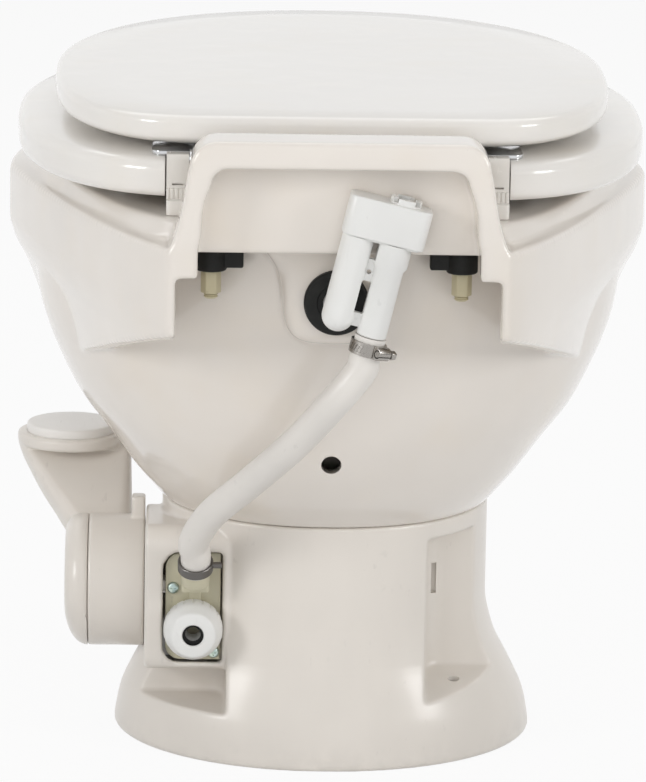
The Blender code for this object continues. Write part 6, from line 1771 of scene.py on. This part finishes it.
@dataclass
class WaterValve:
    """The valve's plate with its rib, socket and barb, its screws and coupling."""

    front: float = 0.098
    thick: float = 0.003
    low: Pair = (0.0617, 0.0572)
    high: Pair = (0.0938, 0.1213)
    corner: float = 0.0088
    inlet: Pair = (0.0775, 0.0784)
    hose_end: Vector = Vector((0.0765, 0.1175, 0.1150))
    lean: float = radians(28)
    block: float = 0.016
    barb_radius: float = 0.0054
    barb_length: float = 0.013
    hose_radius: float = 0.0088
    coupling_radius: float = 0.0172
    coupling_end: float = 0.0135
    coupling_length: float = 0.0195
    grips: int = 20
    plate_edge: float = 0.0005
    rib_half: float = 0.0035
    socket_radius: float = 0.0115
    socket_length: float = 0.005
    guide_x: float = 0.082
    guide_radius: float = 0.007
    guide_length: float = 0.016
    bore: float = 0.0035
    inlet_bore: float = 0.00625
    head_recess: float = 0.0037
    screw_hole: float = 0.0020
    grip_radius: float = 0.0011
    screws: tuple[tuple[str, float, float], ...] = (("upper", 0.0893, 0.1005), ("lower", 0.0655, 0.0620))

    barb_steps = ((0.0054, 0.021), (0.0048, 0.0215), (0, 0.0215))
    screw_point = ((0, -0.010), (0.0012, -0.010), (0.0017, -0.0085))
    screw_head = ((0.0017, 0), (0.0034, 0), (0.0034, 0.0009), (0.0031, 0.0016), (0.0024, 0.0021), (0, 0.0022))

    @property
    def up(self) -> Vector:
        """Unit vector up along the hose barb."""
        return Vector((0, sin(self.lean), cos(self.lean)))

    def build_body(self) -> None:
        """Build and dress the valve's plate and what stands on it."""
        front, rear = self.front, self.front + self.thick
        axle = (self.guide_x, DATUM.ball_z)
        outline = rounded_outline(self.low, self.high, (0, self.corner, self.corner, 0))
        plate = Form.prism(outline, "Y", front, rear).bevelled(self.plate_edge, 2)
        rib = Form.block((self.hose_end.x - self.rib_half, rear - self.thick / 2, self.inlet[1]),
                         (self.hose_end.x + self.rib_half, rear + self.thick, self.hose_end.z - 0.008))
        socket = Form.rod(self.socket_radius, "Y", self.inlet, front, rear + self.socket_length)
        guide = Form.rod(self.guide_radius, "Y", axle, front - self.guide_length, rear, 32)
        foot = self.hose_end - self.up * (GAP + self.block / 2)
        elbow = Form.bar(self.hose_radius * 0.95, foot, self.hose_end - self.up * GAP, 40, 0.0008)
        bridge = Form.block((foot.x - self.block / 2, rear - self.thick / 2, foot.z - self.block * 0.4),
                            (foot.x + self.block / 2, foot.y + 0.0027, foot.z + self.block * 0.2))
        profile = [(0, 0), (self.barb_radius, 0), (self.barb_radius, self.block / 2), *self.barb_steps]
        barb = Form.turned(profile, foot, self.up, 32)
        valve = plate.joined(rib.bevelled(0.0010, 3), socket, guide, bridge.bevelled(0.0014, 3), elbow, barb)
        tip = self.hose_end + self.up * (self.barb_length + OVERRUN)
        cutters = [Form.bar(self.bore, self.hose_end - self.up * self.block / 4, tip, 24),
                   Form.rod(self.bore, "Y", axle, front - self.guide_length - OVERRUN, front, 24),
                   Form.rod(self.inlet_bore, "Y", self.inlet, rear, rear + 3 * self.thick, 32)]
        for _, *place in self.screws:
            cutters.append(Form.rod(self.head_recess, "Y", place, rear, rear + self.block, 32))
            cutters.append(Form.rod(self.screw_hole, "Y", place, front - OVERRUN, rear + OVERRUN, 24))
        valve.without(*cutters).piece("valve_body", Finishes.acetal, "stand", "natural_plastic",
                                      "water_valve")

    def build_screws(self) -> None:
        """Build and dress the two screws, each with a cross recess."""
        rear = self.front + self.thick + GAP
        for name, x, z in self.screws:
            thread = [(0.0017 - 0.0003 * (index % 2), -0.0085 + 0.0005 * index) for index in range(1, 16)]
            screw = Form.turned([*self.screw_point, *thread, *self.screw_head], (x, rear, z), (0, 1, 0), 40)
            for wide, tall in ((0.0018, 0.0004), (0.0004, 0.0018)):
                screw -= Form.block((x - wide, rear + 0.0009, z - tall), (x + wide, rear + 0.004, z + tall))
            screw.piece(f"cross_screw_{name}", Finishes.zinc, "stand", "zinc", f"valve_screw_{name}")

    def build_coupling(self) -> None:
        """Build and dress the white coupling, fluted round its skirt."""
        x, z = self.inlet
        start = self.front + self.thick + self.socket_length + GAP + 0.0012
        end = self.coupling_length
        shoulder = end * 0.62
        centre = Vector((x, start, z))
        radius, mouth = self.coupling_radius, self.coupling_end
        profile = [(0.0090, 0), (radius - 0.0008, 0), (radius, 0.0008), (radius, shoulder * 0.62),
                   (radius - 0.0004, shoulder * 0.75), (radius * 0.94, shoulder),
                   (radius * 0.90, shoulder + 0.0012), (0.0139, end - 0.0022), (mouth, end - 0.0012),
                   (mouth - 0.0007, end - 0.0003), (mouth - 0.0016, end), (0.0068, end),
                   (0.0062, end - 0.0006), (0.0062, end - 0.0015), (0.00935, end - 0.003),
                   (0.011, end - 0.0036), (0.011, 0.0098), (0.0090, 0.0098)]
        coupling = Form.turned(profile, centre, (0, 1, 0), 120, wrap=True)
        for index in range(self.grips):
            turn = 2 * pi * index / self.grips
            near = centre + Vector((cos(turn), 0, sin(turn))) * (radius + 0.0007)
            coupling -= Form.bar(self.grip_radius, near - Vector((0, 0.002, 0)),
                                 near + Vector((0, shoulder * 0.7, 0)), 12)
        coupling.piece("coupling_nut", Finishes.white, "coupling", "white_plastic", "inlet_coupling",
                       angle=40)

    def build(self) -> None:
        """Build and dress the water valve and its inlet."""
        self.build_body()
        self.build_screws()
        self.build_coupling()


# Vacuum breaker


@dataclass
class VacuumBreaker:
    """The leaning vacuum breaker: two legs, a web, a flange and a vented cap."""

    lean: float = radians(13.5)
    pitch: float = 0.0205
    leg: float = 0.0090
    leg_bore: float = 0.0058
    collar: float = 0.0098
    collar_length: float = 0.012
    outlet_leg: float = 0.0083
    height: float = 0.046
    drop: float = 0.007
    flange: float = 0.004
    cap_width: float = 0.046
    cap_depth: float = 0.0205
    cap_height: float = 0.0225
    overhang: float = 0.010
    cap_wall: float = 0.002
    vent_height: float = 0.0035
    vent_radius: float = 0.0088
    slot_lift: float = 0.0042
    slot_width: float = 0.0052
    slot_length: float = 0.0185
    spout_length: float = 0.046
    spout_radius: float = 0.0075
    spout_bore: float = 0.0050
    tail_length: float = 0.013
    leg_edge: float = 0.0006
    web_half: float = 0.002
    dot_radius: float = 0.0013
    grommet_radius: float = 0.0182
    grommet_thick: float = 0.0045
    grommet_edge: float = 0.0018

    grommet_inside = ((0.0078, -0.020), (0.0132, -0.020), (0.0137, -0.0190), (0.0137, 0))
    grommet_lip = ((0.0110, 0.0045), (0.0104, 0.0040), (0.0084, 0.0040), (0.0078, 0.0045))

    def frame(self) -> Matrix:
        """The breaker's leaning frame."""
        place = Matrix.Translation((0, DATUM.breaker_y, DATUM.breaker_z))
        return place @ Matrix.Rotation(-self.lean, 4, "Y")

    def point(self, across: float, up: float, out: float = 0.0) -> Vector:
        """World place of a point in the leaning frame."""
        return self.frame() @ Vector((across, out, up))

    def cap_outline(self, inset: float) -> Outline:
        """Plan of the cap and of the flange that it sits on."""
        half = self.cap_depth / 2 - inset
        corner = self.cap_depth / 4 - inset / 2
        return rounded_outline((self.overhang - self.cap_width + inset, -half),
                               (self.overhang - inset, half), (corner,) * 4, 8)

    def build_body(self) -> None:
        """Build and dress the legs, web, flange and spout."""
        top = self.height
        profile = [(0, -self.leg)] + [(self.leg * sin(turn), -self.leg * cos(turn))
                                      for turn in sampled(0.12, pi / 2, 12)]
        body = Form.turned(profile + [(self.leg, top), (0, top)], (0, 0, 0), (0, 0, 1), 56)
        right = Vector((-self.pitch, 0, 0))
        collar = top - self.collar_length
        tail = -self.drop - self.tail_length
        barbs = []
        for index in range(3):
            foot = tail + 0.0012 + index * 0.0038
            barbs += [(0.0049, foot), (0.0054, foot + 0.0026)]
        profile = [(0.0035, tail), (0.0045, tail), *barbs, (0.0050, -self.drop),
                   (self.outlet_leg - 0.0005, -self.drop), (self.outlet_leg, -self.drop + 0.0006),
                   (self.outlet_leg, collar - 0.00225), (self.collar, collar), (self.collar, top),
                   (0.0035, top)]
        leg = Form.turned(profile, right, (0, 0, 1), 56, wrap=True)
        web = Form.block((-self.pitch + 0.0059, -self.web_half, -self.drop / 2),
                         (0, self.web_half, top - GAP)).bevelled(self.leg_edge, 2)
        flange = Form.prism(self.cap_outline(self.cap_wall + GAP), "Z", top - self.leg_edge,
                            top + self.flange).bevelled(0.0003, 2)
        spout = Form.bar(self.spout_radius, (0, 0, 0), (0, -self.spout_length, 0), 40, self.leg_edge)
        body = body.joined(leg, web, flange, spout)
        middle = -self.pitch / 2
        half = self.slot_width / 2
        foot = self.slot_lift
        slot = rounded_outline((middle - half, foot), (middle + half, foot + self.slot_length),
                               (0.0008,) * 4, 3)
        cutters = [Form.prism(slot, "Y", -self.leg, self.leg),
                   Form.rod(self.dot_radius, "Y", (middle, foot + self.slot_length + self.slot_width),
                            -self.leg, self.leg, 24),
                   Form.block((middle - half * 0.67, -self.leg, top - self.slot_width * 2.1),
                              (middle + half * 0.67, self.leg, top - self.dot_radius)),
                   Form.rod(self.leg_bore, "Z", (0, 0), -0.005, top + 2 * self.flange, 36),
                   Form.bar(0.00315, right + Vector((0, 0, top - 2 * self.flange)),
                            right + Vector((0, 0, top + 2 * self.flange)), 36),
                   Form.rod(self.spout_bore, "Y", (0, 0), self.leg_bore / 2,
                            -self.spout_length - OVERRUN, 36)]
        body = body.without(*cutters).moved(self.frame())
        body.piece("breaker_moulding", Finishes.white, "stand", "white_plastic", "breaker_body")

    def build_cap(self) -> None:
        """Build and dress the cap, with slots across its vent."""
        low = self.height + GAP
        high = low + self.cap_height
        under = high - self.cap_wall
        top = high + self.vent_height
        radius = self.vent_radius
        cap = Form.prism(self.cap_outline(0), "Z", low, high).bevelled(0.0011, 3)
        cap -= Form.prism(self.cap_outline(self.cap_wall), "Z", low - OVERRUN, under)
        centre = Vector((-self.pitch, 0, 0))
        cap += Form.rod(radius, "Z", centre.xy, high - self.cap_wall / 2, top, 56, 0.0004)
        cap -= Form.rod(radius * 0.62, "Z", centre.xy, under - OVERRUN, top + OVERRUN, 40)
        slot = Form.block((-radius - 0.004, -radius * 0.22, high + self.vent_height * 0.25),
                          (radius + 0.004, radius * 0.22, top + 0.008))
        for turn in (pi / 4, 3 * pi / 4):
            cap -= slot.moved(Matrix.Translation(centre) @ Matrix.Rotation(turn, 4, "Z"))
        cap.moved(self.frame()).piece("breaker_cover", Finishes.white, "stand", "white_plastic",
                                      "breaker_cap")

    def build_grommet(self) -> None:
        """Build and dress the black grommet in the bowl's inlet."""
        edge = self.grommet_edge
        profile = [*self.grommet_inside, (self.grommet_radius, 0)]
        profile += arc((self.grommet_radius - edge, self.grommet_thick - edge), edge, 0, pi / 2, 7)
        grommet = Form.turned(profile + list(self.grommet_lip),
                              (0, DATUM.boss_face + GAP, DATUM.breaker_z), (0, 1, 0), 72, wrap=True)
        grommet.piece("inlet_grommet", Finishes.rubber, "stand", "black_rubber", "breaker_grommet")

    def build(self) -> None:
        """Build and dress the vacuum breaker and its grommet."""
        self.build_body()
        self.build_cap()
        self.build_grommet()


# Hose and clamps


@dataclass
class HoseLine:
    """The white hose from the vacuum breaker to the valve, and its two clamps."""

    valve: WaterValve
    breaker: VacuumBreaker
    radius: float = 0.0088
    bore: float = 0.0062
    band_thick: float = 0.0010
    band_width: float = 0.0075
    setback: float = 0.003
    block_length: float = 0.009
    block_depth: float = 0.0055
    clamp_turn: float = radians(50)
    screw_radius: float = 0.0028
    screw_length: float = 0.013
    spring_width: float = 0.006
    spring_thick: float = 0.0012
    ear_length: float = 0.006
    ear_width: float = 0.004
    nip_depth: float = 0.0002
    nip_reach: float = 0.007
    band_edge: float = 0.0002
    spring_edge: float = 0.0003
    thread_radii: Pair = (0.0017, 0.0021)
    thread_pitch: float = 0.0011

    side_shares = (0.060, 0.215, 0.420, 0.680, 0.905, 1.010)
    depth_shares = (0.000, 0.045, 0.230, 0.480, 0.720, 0.885)
    drop_shares = (0.125, 0.245, 0.410, 0.590, 0.745, 0.870)
    corners = ((-1, -1), (1, -1), (1, 1), (-1, 1))

    def route(self) -> list[Vector]:
        """The hose's centre line, as in the CAD model."""
        across = -self.breaker.pitch
        top_up = -self.breaker.drop - GAP
        top = self.breaker.point(across, top_up)
        high = self.breaker.point(across, top_up - self.valve.barb_length)
        end = self.valve.hose_end
        route = [top, high]
        for side, depth, drop in zip(self.side_shares, self.depth_shares, self.drop_shares):
            place = Vector((mix(top.x, end.x, side), mix(top.y, end.y, depth), mix(top.z, end.z, drop)))
            if (place - high).dot(high - top) > 0:
                route.append(place)
        route += [end + self.valve.up * self.valve.barb_length, end]
        return curve_through(route, 10)

    def build_hose(self) -> None:
        """Build and dress the hose, nipped in under each clamp."""
        points = self.route()
        clamps = ((points[0], self.setback + self.band_width / 2),
                  (points[-1], self.setback * 0.5 + self.spring_width / 2))
        outer = []
        for point in points:
            away = min(abs((point - place).length - offset) for place, offset in clamps)
            outer.append(self.radius - self.nip_depth * max(1 - away / self.nip_reach, 0.0))
        Form.tube(points, outer, [self.bore] * len(points), 48).piece(
            "supply_line", Finishes.vinyl, "stand", "hose_vinyl", "supply_hose", angle=50)

    @staticmethod
    def ring_profile(inner: float, outer: float, width: float, edge: float) -> Outline:
        """Section of a clamp's ring, its outer edges taken off."""
        return [(inner, 0), (outer - edge, 0), (outer, edge), (outer, width - edge), (outer - edge, width),
                (inner, width)]

    def build_upper_clamp(self) -> None:
        """Build and dress the worm clamp: slotted band, housing and screw."""
        up_low = -self.breaker.drop - self.setback - self.band_width
        start = self.breaker.point(-self.breaker.pitch, up_low)
        end = self.breaker.point(-self.breaker.pitch, up_low + self.band_width)
        rise = (end - start).normalized()
        middle = (start + end) / 2
        inner = self.radius + GAP
        outer = inner + self.band_thick
        profile = self.ring_profile(inner, outer, self.band_width, self.band_edge)
        band = Form.turned(profile, start, rise, 96, wrap=True)
        across = (self.breaker.point(-1, 0) - self.breaker.point(0, 0)).normalized()
        out = across * cos(self.clamp_turn) + Vector((0, 1, 0)) * sin(self.clamp_turn)
        side = out.cross(rise)
        for angle in range(48, 330, 12):
            turn = radians(angle)
            way = out * cos(turn) + side * sin(turn)
            tangent = rise.cross(way)
            lean = (rise * 0.94 + tangent * 0.34).normalized()
            wide = way.cross(lean)
            near = middle + way * (outer - self.band_thick * 0.45)
            corner = [near + lean * (a * 0.0021) + wide * (b * 0.00045) for a, b in self.corners]
            band -= Form.skin([corner, [point + way * 0.002 for point in corner]])
        near = middle + out * (outer - self.band_thick / 2)
        half = self.block_length / 2
        section = []
        for turn in sampled(0, pi, 12):
            section.append((cos(turn) * self.band_width / 2,
                            self.block_depth * 0.35 + sin(turn) * self.block_depth * 0.65))
        section = [(self.band_width / 2, 0.0)] + section + [(-self.band_width / 2, 0.0)]
        ends = [[near + rise * a + out * b + side * (way * half) for a, b in section] for way in (-1, 1)]
        band += Form.skin(ends).bevelled(0.0003, 2)
        core = middle + out * (outer + self.block_depth * 0.50)
        band -= Form.bar(0.0024, core - side * 0.013, core + side * 0.013, 24)
        band.piece("worm_clamp_band", Finishes.stainless, "stand", "stainless", "upper_clamp_band")
        long = self.block_length + 2 * GAP
        head = self.screw_length * 0.25
        root, crest = self.thread_radii
        profile = [(0, 0), (root, 0)]
        for index in range(8):
            foot = index * self.thread_pitch
            profile += [(crest, 0.0006 + foot), (root, 0.0011 + foot)]
        profile += [(root, long), (root, long + head * 0.3), (0, long + head * 0.3)]
        screw = Form.turned(profile, core + side * half, -side, 32)
        turns = [pi * index / 3 for index in range(6)]
        head_ring = [(rise * cos(turn) + out * sin(turn)) * self.screw_radius for turn in turns]
        foot = core + side * half - side * long
        hexagon = Form.skin([[foot + point for point in head_ring],
                             [foot + point - side * head for point in head_ring]])
        screw += hexagon.bevelled(0.0004, 2)
        slot_side = side * head * 0.45
        tip = foot - side * head
        corner = [tip + rise * a * 0.004 + out * b * 0.0003 for a, b in self.corners]
        screw -= Form.skin([[point + slot_side for point in corner], [point - slot_side for point in corner]])
        screw.piece("worm_clamp_screw", Finishes.stainless, "stand", "stainless", "upper_clamp_screw")

    def build_lower_clamp(self) -> None:
        """Build and dress the spring clamp with its two ears."""
        up = self.valve.up
        start = self.valve.hose_end + up * self.setback * 0.5
        inner = self.radius + GAP
        outer = inner + self.spring_thick
        profile = self.ring_profile(inner, outer, self.spring_width, self.spring_edge)
        clamp = Form.turned(profile, start, up, 72, wrap=True)
        out = Vector((-1, 0, 0))
        side = up.cross(out)
        reach = out * self.ear_length
        half = side * self.spring_thick / 2
        for way, share in ((1, 0.0), (-1, 0.45)):
            near = start + up * self.spring_width * share + out * (outer - self.spring_thick * 0.8)
            near = near + side * way * self.ear_width / 2
            row = [near - half, near + half, near + half + reach, near - half + reach]
            ear = Form.skin([row, [point + up * self.spring_width * 0.55 for point in row]])
            clamp += ear.bevelled(self.spring_edge, 2)
        clamp.piece("spring_clamp", Finishes.spring, "stand", "stainless", "lower_clamp")

    def build(self) -> None:
        """Build and dress the hose and its clamps."""
        self.build_hose()
        self.build_upper_clamp()
        self.build_lower_clamp()


@dataclass
class InnerWorks:
    """Finishes for the CAD nodes whose own shape is shown."""

    def build(self) -> None:
        """Give each remaining CAD node its finish."""
        dressed = {
            Finishes.rubber: ("floor_seal", "ball_seal", "inlet_washer", "breaker_float"),
            Finishes.bearing: ("shaft_bush", "spring_cartridge"),
            Finishes.stainless: ("idle_pin", "drive_shaft", "valve_plunger"),
            Finishes.chrome: ("hinge_pin_left", "hinge_pin_right"),
            Finishes.acetal: ("shaft_cam",),
            Finishes.ball: ("flush_ball",),
            Finishes.white: ("inlet_fitting",),
            Finishes.pad: tuple(f"{kind}_bumper_{index}" for kind in ("seat", "lid")
                                for index in range(1, 5)),
        }
        for finish, names in dressed.items():
            for name in names:
                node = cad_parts[name]
                for place in range(max(len(node.material_slots), 1)):
                    if not node.material_slots:
                        node.data.materials.append(None)
                    node.material_slots[place].material = finish.material()
                LOG.info("%s: finished in %s", name, finish.name)


# Studio


@dataclass
class Studio:
    """The camera, lamps, floor and pale surround."""

    elevation: float = radians(12.6)
    azimuth: float = radians(1.5)
    roll: float = radians(1.0)
    target: Vector = Vector((0.0015, 0.002, 0.1965))
    distance: float = 3.0
    lens: float = 5020.9 / 646 * 36
    ambient: float = 0.20
    floor_level: float = -0.0002
    floor_reach: float = 14.0
    floor_show: float = 0.92
    floor_colour: Colour = (0.88, 0.88, 0.88)
    sky_colour: Colour = (1.0, 0.985, 0.965)

    def camera(self) -> None:
        """Set the camera where the photograph was taken from."""
        back = Vector((sin(self.azimuth) * cos(self.elevation),
                       cos(self.azimuth) * cos(self.elevation),
                       sin(self.elevation)))
        right = Vector((-cos(self.azimuth), sin(self.azimuth), 0))
        up = back.cross(right)
        turned_right = right * cos(self.roll) + up * sin(self.roll)
        turned_up = up * cos(self.roll) - right * sin(self.roll)
        view = bpy.data.cameras.new("photo_view")
        view.sensor_width = 36
        view.sensor_fit = "HORIZONTAL"
        view.lens = self.lens
        view.clip_end = 100
        camera = bpy.data.objects.new("photo_view", view)
        pose = Matrix((turned_right, turned_up, back)).transposed().to_4x4()
        pose.translation = self.target + back * self.distance
        camera.matrix_world = pose
        bpy.context.scene.collection.objects.link(camera)
        bpy.context.scene.camera = camera

    def lamp(self, name: str, azimuth: float, elevation: float, distance: float, size: Pair,
             share: float, mirrored: bool = True) -> None:
        """Add a soft lamp that faces the toilet.

        Args:
            name: Its name.
            azimuth: Degrees round from the photograph's side toward the pedal.
            elevation: Degrees up.
            distance: Metres from the target.
            size: Its width and height.
            share: What it adds to a matt surface that faces it.
            mirrored: Whether glossy surfaces show it.
        """
        turn, rise = radians(azimuth), radians(elevation)
        way = Vector((sin(turn) * cos(rise), cos(turn) * cos(rise), sin(rise)))
        light = bpy.data.lights.new(name, "AREA")
        light.shape = "RECTANGLE"
        light.size, light.size_y = size
        light.energy = share * pi ** 2 * distance ** 2
        lamp = bpy.data.objects.new(name, light)
        lamp.visible_glossy = mirrored
        lamp.location = self.target + way * distance
        lamp.rotation_euler = way.to_track_quat("Z", "Y").to_euler()
        bpy.context.scene.collection.objects.link(lamp)

    def floor(self) -> None:
        """Lay the pale floor, which shows white and keeps the toilet's shadow."""
        graph = Graph(bpy.data.materials.new("studio_floor"))
        matt = graph.node("ShaderNodeBsdfDiffuse", None, {"Color": daylight(self.floor_colour)})
        glow = graph.node("ShaderNodeEmission", None, {"Color": (1, 1, 1, 1), "Strength": 1.0})
        shown = graph.seen() * self.floor_show
        graph.end(graph.node("ShaderNodeMixShader", None, {0: shown, 1: matt, 2: glow}))
        reach = self.floor_reach
        corners = [(-reach, -reach), (reach, -reach), (reach, reach), (-reach, reach)]
        mesh = bpy.data.meshes.new("studio_floor")
        mesh.from_pydata([(x, y, self.floor_level) for x, y in corners], [], [(0, 1, 2, 3)])
        mesh.materials.append(graph.owner)
        sheet = bpy.data.objects.new("studio_floor", mesh)
        bpy.context.scene.collection.objects.link(sheet)

    def surround(self) -> None:
        """Light the scene from all round and show white behind it."""
        world = bpy.data.worlds.new("surround")
        bpy.context.scene.world = world
        graph = Graph(world)
        soft = {"Color": (*self.sky_colour, 1), "Strength": self.ambient}
        soft = graph.node("ShaderNodeBackground", None, soft)
        white = graph.node("ShaderNodeBackground", None, {"Color": (1, 1, 1, 1)})
        both = graph.node("ShaderNodeMixShader", None, {0: graph.seen(), 1: soft, 2: white})
        graph.end(both, "ShaderNodeOutputWorld")

    def build(self) -> None:
        """Set up the whole studio."""
        bpy.context.scene.view_settings.view_transform = "Standard"
        self.camera()
        self.floor()
        self.surround()
        self.lamp("overhead", 180, 84, 2.2, (3.0, 2.4), 0.24)
        self.lamp("rear_panel", 0, 32, 3.0, (3.4, 1.8), 0.20, mirrored=False)
        self.lamp("left_softbox", 52, 19, 2.4, (0.7, 0.7), 0.25)
        self.lamp("right_softbox", -58, 18, 2.4, (0.7, 0.7), 0.25)
        self.lamp("low_fill", 4, 3, 3.2, (3.2, 1.0), 0.185, mirrored=False)
        self.lamp("front_left_panel", 124, 24, 3.0, (2.4, 2.0), 0.14, mirrored=False)
        self.lamp("front_right_panel", -128, 24, 3.0, (2.4, 2.0), 0.12, mirrored=False)
        self.lamp("front_top_panel", 180, 54, 3.0, (3.0, 1.0), 0.14)


def main() -> None:
    """Build the studio and every sub-assembly."""
    logging.basicConfig(level=logging.INFO, format="%(name)s %(message)s")
    valve = WaterValve()
    breaker = VacuumBreaker()
    parts = [Studio(), ChinaBowl(), Pedestal(), SeatSet(), Hinge(Side.LEFT), Hinge(Side.RIGHT), PedalDrive(),
             valve, breaker, HoseLine(valve, breaker), InnerWorks()]
    for part in parts:
        LOG.info("building %s", type(part).__name__)
        part.build()


if __name__ == "__main__":
    main()
